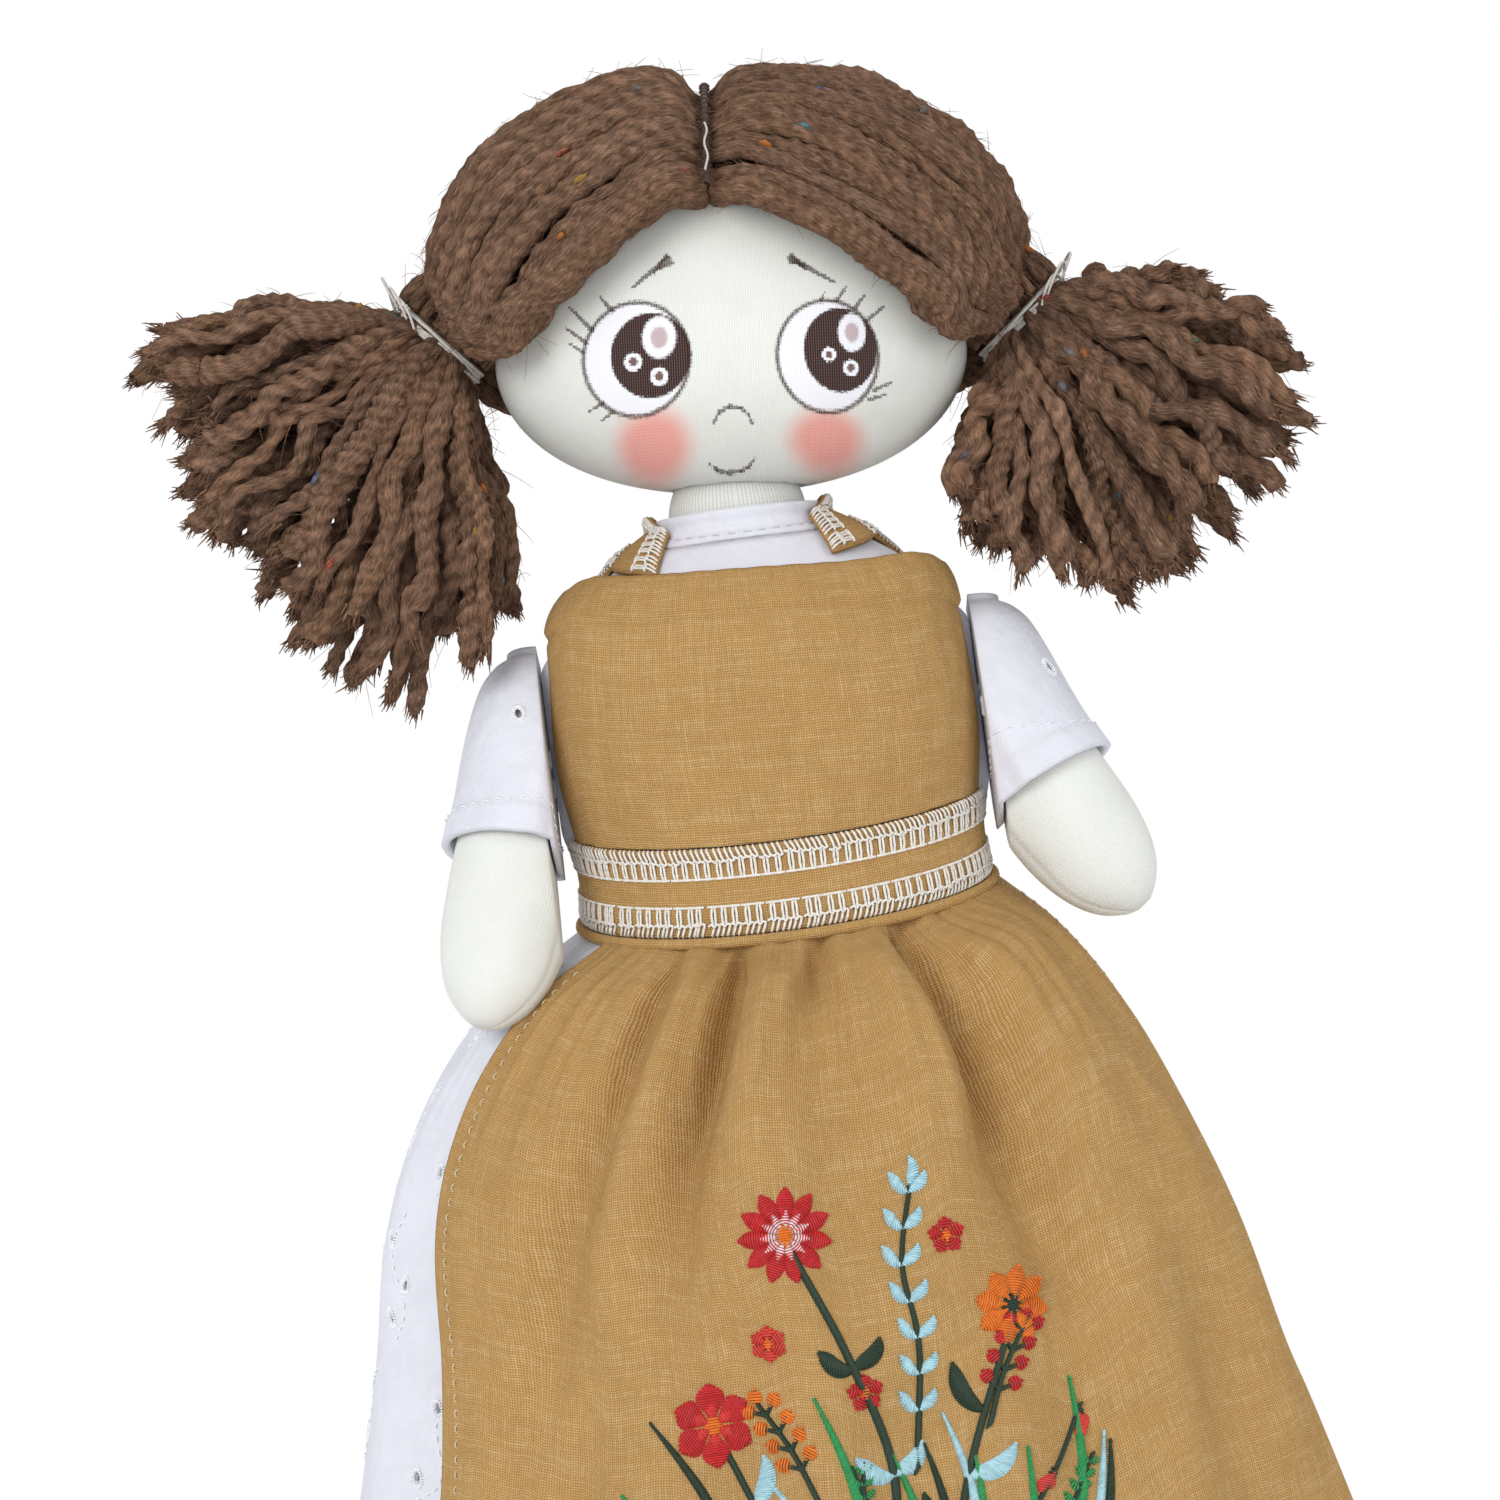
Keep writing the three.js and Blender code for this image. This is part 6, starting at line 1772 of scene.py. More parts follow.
@dataclass
class DressPiece:
    """White eyelet dress: bodice, neckband and gathered skirt."""

    columns: int = 600
    rows: int = 180
    stand: float = 1.35
    lining: float = 0.35
    armhole: float = 39.1

    def body(self) -> None:
        """Makes the bodice and the neckband."""
        angles = circle(160)
        share = np.linspace(0, 1, 60)[:, None]
        heights = 311.65 * (1 - share) + (TORSO.waist + TORSO.rise(angles) - 4) * share
        outer = TORSO.point(angles, heights, self.stand)
        beside = (smooth(0.981, 0.994, np.abs(np.sin(angles))) * smooth(252, 266, heights)
                  * (1 - smooth(293, 300, heights)))
        short = np.maximum(self.armhole - np.abs(outer[..., 0]), 0)
        outer[..., 0] += np.sign(outer[..., 0]) * short * beside
        cloth = Cloth(outer, TORSO.point(angles, heights, self.lining), True)
        bodice = cloth.sheet().piece("dress_body", COTTON, "torso", Slot.EYELET, "dress_bodice")
        heights = np.linspace(318.5, 312.1, 18)[:, None]
        rolled = self.stand + 0.1 + 0.28 * bell(heights - 317.7, 0.8) - 0.3 * bell(heights - 313.6, 0.35)
        band = Cloth(TORSO.point(angles, heights, rolled), TORSO.point(angles, heights, self.lining), True)
        threads = Mesher()
        band.stitches(threads, band.level(band.long * 0.86), 1.5, 0.8, 0.14, srgb(214, 216, 226))
        neckband = band.sheet().piece("dress_collar", COTTON, "torso", Slot.EYELET, "dress_neckband")
        seam = threads.piece("dress_collar_stitches", FLOSS, "torso", Slot.THREAD)

    def sprigs(self, cloth: Cloth, chance: Chance) -> tuple[list[Eyelet], list[Array]]:
        """Eyelets and vine lines scattered over the skirt.

        Args:
            cloth: The skirt.
            chance: Source of chance.

        Returns:
            The eyelets and the flat places of the stitched lines.
        """
        eyelets, vines = [], []
        count = int(cloth.width // 30)
        pitch = cloth.width / count
        for row, v in enumerate(np.arange(26, cloth.long - 22, 27)):
            for index in range(count):
                u = cloth.flat[0, 0, 0] + (index + (0.5 if row % 2 else 0)) * pitch + chance.normal(0, 1.2)
                lean = math.radians(chance.uniform(-25, 25) + (20 if row % 2 else -20))
                c, s = math.cos(lean), math.sin(lean)
                for along, side in ((-6.5, -2.6), (0.5, 2.8), (7.2, -2.4)):
                    eyelets.append(Eyelet(u + side * c - along * s, v + side * s + along * c,
                                          0.8, 1.35, lean + math.copysign(0.55, side)))
                turns = np.linspace(-1, 1, 26)
                side, along = 2.2 * np.sin(turns * 4.2), turns * 12.5
                vines.append(np.stack([u + side * c - along * s, v + side * s + along * c], -1))
        for u in np.arange(cloth.flat[0, 0, 0] + 3, cloth.flat[0, -1, 0] - 3, 8.0):
            eyelets.append(Eyelet(float(u), cloth.long - 11, 1.35, 1.35))
        return eyelets, vines

    def build(self) -> None:
        """Makes the dress."""
        self.body()
        columns = np.arange(self.columns) * 60 / self.columns
        drops = (4.35, 8.35)
        shares = np.r_[np.linspace(drops[0] / SKIRT.length, 0.2, 42)[:-1],
                       np.linspace(0.2, 1, self.rows - 41)]
        cloth = Cloth(SKIRT.layer(columns, shares, 0.0, self.stand, drops),
                      SKIRT.layer(columns, shares, -1.0, self.lining, drops), True)
        eyelets, vines = self.sprigs(cloth, np.random.default_rng(12))
        threads = Mesher()
        eyelet_work(threads, cloth, eyelets)
        for vine in vines:
            cloth.stitches(threads, vine, 1.5, 0.75, 0.2, EYELET_TINT)
        cloth.stitches(threads, cloth.level(cloth.long - 5), 1.6, 0.9, 0.17, EYELET_TINT)
        skirt = cloth.sheet(pierced(cloth, eyelets)).piece(
            "dress_skirt_cloth", COTTON, "torso", Slot.EYELET, "dress_skirt")
        work = threads.piece("dress_skirt_eyelet_work", FLOSS, "torso", Slot.THREAD)


class Needlework:
    """Satin stitches laid on a cloth, placed in the front view."""

    def __init__(self, tree: BVHTree, mesher: Mesher) -> None:
        """Takes the search tree of the cloth and the piece to add to."""
        self.tree, self.mesher = tree, mesher

    def place(self, spots: Array, lift: Array) -> Array:
        """Points over the cloth.

        Args:
            spots: Places in the front view, (count, steps, 2).
            lift: Height of each step.

        Returns:
            Points, (count, steps, 3).
        """
        placed = np.zeros((*spots.shape[:2], 3))
        for index in np.ndindex(*spots.shape[:2]):
            x, z = spots[index]
            point, normal, _, _ = self.tree.ray_cast(Vector((x, -200, z)), Vector((0, 1, 0)))
            if point is None:
                point, normal = Vector((x, -60, z)), Vector((0, -1, 0))
            normal = -normal if normal.y > 0 else normal
            placed[index] = point + normal * float(lift[index[1]])
        return placed

    def satin(self, spine: Array, half: Callable[[Array], Array], colour: Colour,
              slant: float = 0.5, lift: float = 0.45, pitch: float = 0.36) -> None:
        """Fills a leaf, petal or stem with threads across its spine.

        Args:
            spine: Middle line in the front view.
            half: Half width at shares of the spine.
            colour: Colour of the thread.
            slant: How far the threads lean along the spine, as a share of the half width.
            lift: Height of the fill.
            pitch: Distance between the threads.
        """
        size = float(np.linalg.norm(np.diff(spine, axis=0), axis=1).sum())
        count = max(int(size / pitch), 3)
        line = curve_points(spine, count)
        along = unit(np.gradient(line, axis=0))
        across = along[:, ::-1] * (1, -1)
        wide = np.maximum(half(np.linspace(0, 1, count)), 0.12)[:, None, None]
        share = np.linspace(-1, 1, 6)[None, :, None]
        spots = line[:, None] + across[:, None] * wide * share + along[:, None] * wide * slant * share
        heights = np.array([-0.12, 0.75, 1.0, 1.0, 0.75, -0.12]) * lift
        chance = np.random.default_rng(int(abs(spine[0, 0] * 97 + spine[0, 1] * 13)))
        tint = np.asarray(colour) * chance.uniform(0.86, 1.08, (count, 1))
        self.mesher.tubes(self.place(spots, heights), 0.23, 5, tint)

    def leaf(self, x: float, z: float, turn: float, size: float, half: float, colour: Colour,
             bend: float = 0.12, blunt: float = 1.0, slant: float = 0.5) -> None:
        """Leaf or petal from its foot, turned from upright in degrees."""
        way = np.array([math.sin(math.radians(turn)), math.cos(math.radians(turn))])
        side = way[::-1] * (1, -1)
        share = np.linspace(0, 1, 7)[:, None]
        spine = np.array([x, z]) + way * size * share + side * size * bend * np.sin(share * math.pi)
        self.satin(spine, lambda t: half * np.sin(math.pi * np.clip(t, 0.02, 0.98) ** blunt) ** 0.75,
                   colour, slant)

    def stem(self, points: Rows, colour: Colour, half: float = 0.55) -> Array:
        """Stem through points; gives its middle line."""
        line = curve_points(np.asarray(points, float), 40)
        self.satin(line, lambda t: half * (1.1 - 0.5 * t), colour, 1.6, 0.42, 0.4)
        return line

    def sprig(self, foot: tuple[float, float], lean: float, reach: Rows, curl: float, half: float) -> Array:
        """Leaning stem from its foot; gives its middle line.

        Args:
            foot: Foot of the stem.
            lean: Lean from upright in degrees.
            reach: Distance across and up of the middle and of the tip.
            curl: How much more the tip leans.
            half: Half width.

        Returns:
            The middle line.
        """
        way = math.radians(lean)
        stops = [(foot[0] + out * math.sin(way * more), foot[1] + up * math.cos(way))
                 for (out, up), more in zip(reach, (1, curl))]
        return self.stem([foot, *stops], PINE, half)

    def dot(self, x: float, z: float, radius: float, colour: Colour, turn: float = 0.0) -> None:
        """Round satin dot."""
        way = np.array([math.sin(turn), math.cos(turn)])
        spine = np.array([x, z]) + way * radius * np.linspace(-1, 1, 5)[:, None]
        self.satin(spine, lambda t: radius * np.sqrt(np.maximum(1 - (2 * t - 1) ** 2, 0)), colour, 0.0)

    def bloom(self, x: float, z: float, petals: int, size: float, half: float, colour: Colour,
              heart: Colour, core: float, turn: float = 0.0, inner: Optional[Colour] = None) -> None:
        """Round flower with petals all round a heart."""
        for index in range(petals):
            angle = turn + 360 * index / petals
            way = math.radians(angle)
            foot = x + core * 0.7 * math.sin(way), z + core * 0.7 * math.cos(way)
            self.leaf(*foot, angle, size, half, colour, 0.0, 1.5, 0.0)
            if inner is not None:
                self.leaf(*foot, angle, size * 0.5, half * 0.42, inner, 0.0, 1.0, 0.0)
        self.dot(x, z, core, heart)


RED, CORAL, ORANGE = srgb(196, 30, 34), srgb(214, 62, 52), srgb(232, 120, 26)
PINE, GRASS, ICE, SNOW = srgb(28, 52, 34), srgb(44, 152, 84), srgb(176, 216, 226), srgb(232, 224, 228)


def meadow(work: Needlework) -> None:
    """Embroiders a loose meadow of round blooms, bells, berries, sprays and grass."""
    trunk = work.stem([(4, 100), (2, 128), (5, 152), (0, 172), (-7, 190)], PINE, 0.8)
    right = work.stem([(6, 104), (12, 132), (18, 152), (27, 172)], PINE, 0.7)
    left = work.stem([(0, 102), (-8, 128), (-17, 146), (-22, 158)], PINE, 0.7)
    work.bloom(-8, 193.5, 11, 6.4, 1.45, RED, ORANGE, 1.9, 8, SNOW)
    work.bloom(28.5, 176.5, 8, 5.0, 1.7, ORANGE, PINE, 1.7, 20)
    work.bloom(-24, 163.5, 6, 5.6, 2.4, RED, ORANGE, 1.6, 0, CORAL)
    for index, colour in ((30, PINE), (22, ICE), (15, PINE), (9, PINE)):
        x, z = trunk[index]
        for side in (-1, 1):
            work.leaf(x, z, side * 52 - 4, 9.0 - 0.08 * index, 1.5, colour, 0.14 * side)
    for index, side in ((32, -1), (26, 1), (20, -1), (13, 1)):
        x, z = right[index]
        work.leaf(x, z, side * 46 + 18, 9.5, 1.6, ICE if index == 26 else PINE, 0.14 * side)
    for index, side in ((33, 1), (25, -1), (18, 1), (11, -1)):
        x, z = left[index]
        work.leaf(x, z, side * 44 - 28, 8.6, 1.5, PINE if side < 0 else ICE, 0.12 * side)
    spray = work.stem([(9, 152), (12, 172), (11, 186), (14, 199)], PINE, 0.42)
    for index in range(8, 40, 5):
        x, z = spray[index]
        for side in (-1, 1):
            work.leaf(x, z, side * 42 + 2, 4.4, 0.95, ICE, 0.1 * side)
    x, z = spray[-1]
    work.leaf(x, z, 8, 4.6, 0.9, ICE)
    for foot, lean, colour in (((22, 158), 24, RED), ((-8, 150), -22, ORANGE), ((-31, 128), -10, CORAL)):
        line = work.sprig(foot, lean, ((9, 9), (19, 18)), 1.2, 0.36)
        for index in range(12, 40, 7):
            x, z = line[index]
            for side in (-1, 1):
                turn = math.radians(lean + side * 55)
                x1, z1 = x + 3.0 * math.sin(turn), z + 3.0 * math.cos(turn)
                work.stem([(x, z), ((x + x1) / 2, (z + z1) / 2), (x1, z1)], PINE, 0.24)
                work.dot(x1, z1, 1.15, colour, turn)
        work.dot(line[-1][0], line[-1][1] + 0.6, 1.2, colour)
    bell = work.stem([(14, 116), (22, 136), (33, 150), (38, 158)], PINE, 0.42)
    for index, side in ((38, 1), (30, -1), (24, 1), (17, -1)):
        x, z = bell[index]
        work.leaf(x, z, 150 * side + 20, 3.8, 1.5, CORAL, 0.0, 1.6)
        work.dot(x + 0.3 * side, z - 0.2, 0.75, PINE)
    for x, z, petals, colour in ((2, 166, 5, RED), (-13, 176, 6, CORAL), (19, 190, 5, RED),
                                 (14, 142, 6, CORAL), (-6, 134, 5, RED)):
        work.bloom(x, z, petals, 2.3, 1.25, colour, ORANGE, 0.9)
    for index, x in enumerate(np.linspace(-30, 32, 22)):
        lean = (x - 2) * 0.75 + 9 * math.sin(index * 2.4)
        size = 15 + 8 * math.sin(index * 1.7) + 6 * math.cos(index * 0.9)
        colour = (GRASS, PINE, GRASS, ICE)[index % 4]
        work.leaf(x * 0.9 + 1.5, 120 + 5 * math.sin(index), lean, size + 16, 0.75, colour, 0.1)
    for foot, lean in (((-18, 122), -14), ((27, 124), 18), ((-2, 128), 3)):
        fern = work.sprig(foot, lean, ((14, 14), (30, 27)), 1.3, 0.34)
        for index in range(4, 40, 3):
            x, z = fern[index]
            for side in (-1, 1):
                work.leaf(x, z, lean + side * 58, 3.8 * (1.15 - index / 50), 0.62, GRASS, 0.1 * side)


@dataclass
class ApronPiece:
    """Linen apron: bib, waistband, straps and the embroidered skirt."""

    cover: float = 1.9
    linen: float = 1.2
    bib_reach: float = math.radians(77)
    bib_top: float = 304.8
    strap_rise: float = 57.0
    strap_inner: tuple[tuple[float, float], ...] = (
        (33, 0.97), (41, 1.06), (58, 1.14), (84, 1.2), (112, 1.19), (138, 1.08), (150, 0.88), (156, 0.55))
    strap_outer: tuple[tuple[float, float], ...] = (
        (76, 1.02), (80, 1.022), (84, 1.03), (90, 1.035), (98, 1.01), (108, 0.94), (120, 0.78), (128, 0.5))

    def bib(self) -> None:
        """Makes the bib, with a folded top edge."""
        angles = np.linspace(-self.bib_reach, self.bib_reach, 150)
        past = np.maximum(np.abs(angles) / self.bib_reach - 0.72, 0) / 0.28
        top, low = self.bib_top - 2.0 * past**2 - 1.6 * np.sin(angles), TORSO.band(angles, 1) + 0.35
        share = np.linspace(0, 1, 90)[:, None]
        heights = top * (1 - share) + low * share
        down = top - heights
        fold = 0.55 * (1 - smooth(5.4, 6.4, down)) - 0.35 * bell(down - 6.6, 0.5)
        buckle = 0.3 * np.sin(angles * 9 + 1) * smooth(0.2, 0.8, share)
        buckle = np.abs(buckle + 0.22 * np.sin(angles * 17 + share * 3)) * 0.8
        beside = smooth(0.35, 0.9, np.abs(angles) / self.bib_reach)
        stand = self.cover + 2.6 * bell(heights - 301, 7) * beside
        outer = TORSO.point(angles, heights, stand + self.linen + fold + buckle)
        cloth = Cloth(outer, TORSO.point(angles, heights, stand))
        bib = cloth.sheet().piece("apron_bib_cloth", LINEN, "torso", Slot.LINEN, "apron_bib")

    def waistband(self) -> None:
        """Makes the waistband with an overlock seam along each edge, and the piping under it."""
        angles = circle(200)
        share = np.linspace(0, 1, 22)[:, None]
        heights = TORSO.band(angles, 1) * (1 - share) + TORSO.band(angles, -1) * share
        outer = TORSO.point(angles, heights, self.cover + 1.6 + 0.3 * np.sin(share * math.pi))
        cloth = Cloth(outer, TORSO.point(angles, heights, self.cover), True)
        threads, cord = Mesher(), Mesher()
        cloth.overlock(threads, "top", 5.2, 3)
        cloth.overlock(threads, "bottom", 5.2, 4)
        turns = np.linspace(0, TURN, 260)
        cord.tubes(TORSO.point(turns, TORSO.band(turns, -1) - 1.15, self.cover + 2.1)[None], 1.0, 10)
        band = cloth.sheet().piece("apron_band", LINEN, "torso", Slot.LINEN, "apron_waistband")
        seam = threads.piece("apron_band_overlock", FLOSS, "torso", Slot.THREAD)
        piping = cord.piece("apron_piping", LINEN, "torso", Slot.LINEN)

    def strap(self, side: Side) -> None:
        """Makes one strap over the shoulder, with an overlock seam along both edges."""
        along, ways = np.linspace(0, 1, 90), np.linspace(0, 1, 26)[::-side.value]

        def edge(rows: Rows) -> tuple[Array, Array]:
            """Angle and rise along one edge."""
            foot = math.radians(rows[-1][0])
            low = (float(TORSO.band(foot, 1)) + 0.35 - TORSO.waist) / self.strap_rise
            keyed = [(index, *row) for index, row in enumerate([*rows, (rows[-1][0], low)])]
            return table(keyed, along * 8, 1)[:, None], table(keyed, along * 8, 2)[:, None]

        (angle_in, rise_in), (angle_out, rise_out) = edge(self.strap_inner), edge(self.strap_outer)
        angle = np.radians(angle_in * (1 - ways) + angle_out * ways) * side.value
        height = TORSO.waist + self.strap_rise * (rise_in * (1 - ways) + rise_out * ways)
        lift = self.cover + 0.175
        swell = 0.35 * np.sin(ways * math.pi)
        cloth = Cloth(TORSO.point(angle, height, lift + 1 + swell), TORSO.point(angle, height, lift))
        names = (f"apron_strap_{side.word}", f"apron_strap_overlock_{side.word}", f"strap_{side.word}")
        linen_strip(cloth, names, {"first": 5, "last": 6}, 5.0)

    def skirt(self) -> None:
        """Makes the gathered skirt with its side hems and its embroidery."""
        columns = np.linspace(-13, 19, 300)
        drop, lean, stand = 8.35, 1.3, 1.3
        shares = np.r_[np.linspace(drop / SKIRT.length, 0.2, 40)[:-1],
                       np.linspace(0.2, 150 / SKIRT.length, 111)]
        cloth = Cloth(*(SKIRT.layer(columns, shares, stand + wall, self.cover + wall, (drop,), lean)
                        for wall in (self.linen, 0.0)))
        base, threads, seams = Mesher(), Mesher(), Mesher()
        thread = srgb(214, 196, 160)
        for column, inset in ((0, 4.4), (-1, -4.4)):
            cloth.stitches(seams, cloth.flat[6:-1, column] + (inset, 0), 1.5, 1.1, 0.16, thread)
        low = float(cloth.flat[-1, 150, 1]) - 7
        cloth.stitches(seams, cloth.level(low, 4), 1.6, 1.1, 0.16, thread)
        skirt = cloth.sheet().piece("apron_skirt_cloth", LINEN, "torso", Slot.LINEN, "apron_skirt")
        base.grid(cloth.outer)
        meadow(Needlework(base.tree(), threads))
        work = threads.piece("apron_embroidery", SILK, "torso", Slot.THREAD)
        hems = seams.piece("apron_hem_stitches", FLOSS, "torso", Slot.THREAD)

    def build(self) -> None:
        """Makes the apron."""
        self.bib()
        self.waistband()
        for side in Side:
            self.strap(side)
        self.skirt()


@dataclass
class BowPiece:
    """Tied bow at the back of the waistband."""

    knot: tuple[float, float, float] = (9.0, 4.5, 9.5)
    loop: float = 52.0
    half_depth: float = 6.5
    width: float = 18.0
    rise: float = math.radians(24)
    linen: float = 1.2
    centre: tuple[float, float, float] = (0.0, 33.82, 262.0)
    rows: tuple[tuple[float, float], ...] = (
        (0, 0.25), (0.15, 0.55), (0.4, 0.92), (0.7, 1), (0.9, 0.68), (1, 0.2))

    def ribbon(self, side: Side) -> None:
        """Makes one loop of folded ribbon."""
        share = np.linspace(0, 1, 50)
        half = self.half_depth * table(self.rows, share)
        across = np.linspace(-0.5, 0.5, 24)

        def wall(inset: float) -> Array:
            """Wall of the loop moved in, gathered towards the knot."""
            x = inset + (self.loop - 2 * inset) * share
            y = np.maximum(half - inset, inset / 3 + 0.05)
            x, y = np.r_[x, x[::-1]][:, None], np.r_[-y, y[::-1]][:, None]
            part = x / self.loop
            tall = self.width * (0.62 + 0.38 * smooth(0.1, 0.6, part)) * across
            ripple = 0.45 * np.sin(across * 22 + y * 0.4) * (1 - smooth(0.1, 0.9, part))
            out, up = turned(x, tall, self.rise)
            return np.stack([out + 4.5, y + ripple + 2.25, up], -1) * (side.value, 1, 1) + self.centre

        cloth = Cloth(wall(0.0)[::side.value], wall(self.linen)[::side.value])
        names = (f"bow_ribbon_{side.word}", f"bow_ribbon_overlock_{side.word}", f"bow_loop_{side.word}")
        linen_strip(cloth, names, {"first": 7, "last": 8}, 3.4)

    def tail(self, side: Side) -> None:
        """Makes one tail over the back of the skirt."""
        columns = np.linspace(31, 33, 30) if side is Side.LEFT else np.linspace(27, 29, 30)
        angle = SKIRT.angle(columns)
        start, out, stand = 252.15, 3.85, 0.5

        def layer(offset: float) -> Array:
            """Points of the tail at a distance."""
            rows = [TORSO.point(angle, start + (TORSO.band(angle, -1) - start) * share, out + offset)
                    for share in (0.0, 1.0)]
            rows += [SKIRT.point(columns, share, stand + offset)
                     for share in (*(row[0] for row in SKIRT.rows[1:5]), 98 / SKIRT.length)]
            keys = [(SKIRT.waist - row[..., 2].mean()) / SKIRT.length for row in rows]
            shares = np.linspace(keys[0], keys[-1], 80)
            points = through(keys, np.stack(rows), shares)
            away = unit(points * (1, 1, 0))
            dress = SKIRT.layer(columns, np.maximum(shares, 0.06), stand + offset, out + offset,
                                (4.35, 8.35))
            gap = np.sum((dress - points) * away, -1) * smooth(0.09, 0.16, shares)[:, None]
            wave = 0.9 * (np.sin(shares * 34) * smooth(0.1, 0.4, shares) + smooth(0.1, 0.3, shares))[:, None]
            return points + away * (gap + wave)[..., None]

        cloth = Cloth(layer(self.linen), layer(0.0))
        names = (f"bow_end_{side.word}", f"bow_end_overlock_{side.word}", f"bow_tail_{side.word}")
        linen_strip(cloth, names, {"first": 9, "last": 10, "bottom": 11}, 3.4)

    def build(self) -> None:
        """Makes the knot, the loops and the tails."""
        turns, share = circle(72), np.linspace(0.02, 0.98, 40)[:, None]
        pleat = 1 + 0.05 * np.cos(turns * 9) * (1 - 0.3 * np.abs(np.cos(math.pi * share)))
        reach = np.sin(math.pi * share) ** 0.62 * pleat * 0.97
        rings = around(self.knot[0] * reach, self.knot[1] * reach, turns,
                       self.knot[2] * np.cos(math.pi * share))
        knot = Mesher()
        knot.skin(rings + self.centre)
        knot.piece("bow_centre", LINEN, "torso", Slot.LINEN, "bow_knot")
        for side in Side:
            self.ribbon(side)
            self.tail(side)


@dataclass
class ArmPiece:
    """Stuffed arm with its sleeve."""

    side: Side
    drop: float
    lean: float
    bend: float
    forward: float
    half_width: float = 11.6
    half_depth: float = 10.0
    out: float = 40.0
    back: float = 2.0
    height: float = 296.0
    wall: float = 39.4
    sleeve_drop: float = 34.0
    rows: tuple[tuple[float, float], ...] = (
        (0, 0.34), (0.03, 0.55), (0.09, 0.74), (0.2, 0.86), (0.36, 0.93), (0.5, 0.98), (0.64, 1),
        (0.77, 0.97), (0.87, 0.84), (0.94, 0.63), (0.985, 0.34), (1, 0.15))
    eyelets: tuple[tuple[float, float, float], ...] = (
        (0.24, 0.5, -0.5), (0.5, 0.5, 0.5), (0.57, 0.62, -0.5), (0.9, 0.58, -0.4))

    def rings(self, shares: Array, turns: Array, grow: Array, wall: float) -> Array:
        """Rings round the arm's bent middle line.

        Args:
            shares: Shares of the drop.
            turns: Angles round the arm, or one row of angles for each share.
            grow: Distance out from the arm, which fits (shares, turns).
            wall: Distance from the doll's middle that the rings keep.

        Returns:
            Points on the doll, (shares, turns, 3).
        """
        def line(share: Array) -> Array:
            """Middle line."""
            return np.stack([self.lean * share + self.bend * share**2, -self.forward * share,
                             -self.drop * share], -1)

        along = unit(line(shares + 0.005) - line(shares - 0.005))
        depthways = unit(np.cross(np.cross(np.array([0, 1.0, 0]), along), along))
        sideways = unit(np.cross(depthways, along))
        size = table(self.rows, shares)[:, None]
        wide = ((self.half_width * size + grow) * np.cos(turns))[..., None]
        deep = ((self.half_depth * size + grow) * np.sin(turns))[..., None]
        points = line(shares)[:, None] + sideways[:, None] * wide + depthways[:, None] * deep
        points = points + (self.out, self.back, self.height)
        points[..., 0] = np.maximum(points[..., 0], wall)
        return points * (self.side.value, 1, 1)

    def build(self) -> None:
        """Makes the arm with its side seam, and the sleeve with its hem."""
        turns, shares = circle(96), np.linspace(0, 1, 90)
        back = turns - math.pi + 0.5
        seam = -0.32 * (bell(turns - 0.12, 0.07) + bell(back, 0.07))
        dimple = 0.25 * np.sin(shares * 31)[:, None] * bell(back, 0.3)
        skin = Mesher()
        skin.skin(self.rings(shares, turns, seam + dimple, self.wall + 1.4), self.side is Side.LEFT)
        word = self.side.word
        skin.piece(f"arm_knit_{word}", KNIT, f"arm_{word}", Slot.KNIT, f"arm_{word}")
        self.sleeve()

    def sleeve(self) -> None:
        """Makes the short sleeve, with its hem, a side pleat and eyelets."""
        turns, cuff = circle(150), self.sleeve_drop / self.drop
        shares = np.r_[np.linspace(-0.018, 0.08, 12)[:-1], np.linspace(0.08, cuff, 50)]
        part = np.clip(shares, 0, None)[:, None] / cuff
        pleat = 0.85 * bell((turns - 4.9) % TURN - math.pi, 0.16) * smooth(0.2, 0.9, part)
        soft = 0.4 * np.sin(turns * 3 + part * 4) * smooth(0.1, 0.7, part)
        flare = 0.7 * part + np.maximum(pleat + soft, 0)
        hem = 0.45 * smooth(0.84, 0.88, part)

        def crowned(points: Array) -> Array:
            """Rings closed over the shoulder, in the order that turns their outside out."""
            middle = points[0].mean(0)
            crown = middle + (points[0] - middle) * np.array([0.04, 0.5])[:, None, None]
            return np.concatenate([crown, points])[:, ::-self.side.value]

        cloth = Cloth(crowned(self.rings(shares, turns, 1.35 + flare + hem, self.wall)),
                      crowned(self.rings(shares, turns, 0.35 + flare, self.wall + 0.9)), True)
        start = float(cloth.flat[0, 0, 0])
        eyelets = [Eyelet(start + cloth.width * u, cloth.long * v, 0.8, 1.3, lean)
                   for u, v, lean in self.eyelets]
        threads = Mesher()
        eyelet_work(threads, cloth, eyelets)
        cloth.stitches(threads, cloth.level(cloth.long - 4.4, 0.0, 0.4), 1.4, 0.8, 0.16, EYELET_TINT)
        word = self.side.word
        sleeve = cloth.sheet(pierced(cloth, eyelets)).piece(
            f"sleeve_cloth_{word}", COTTON, f"arm_{word}", Slot.EYELET, f"sleeve_{word}")
        work = threads.piece(f"sleeve_eyelet_work_{word}", FLOSS, f"arm_{word}", Slot.THREAD)


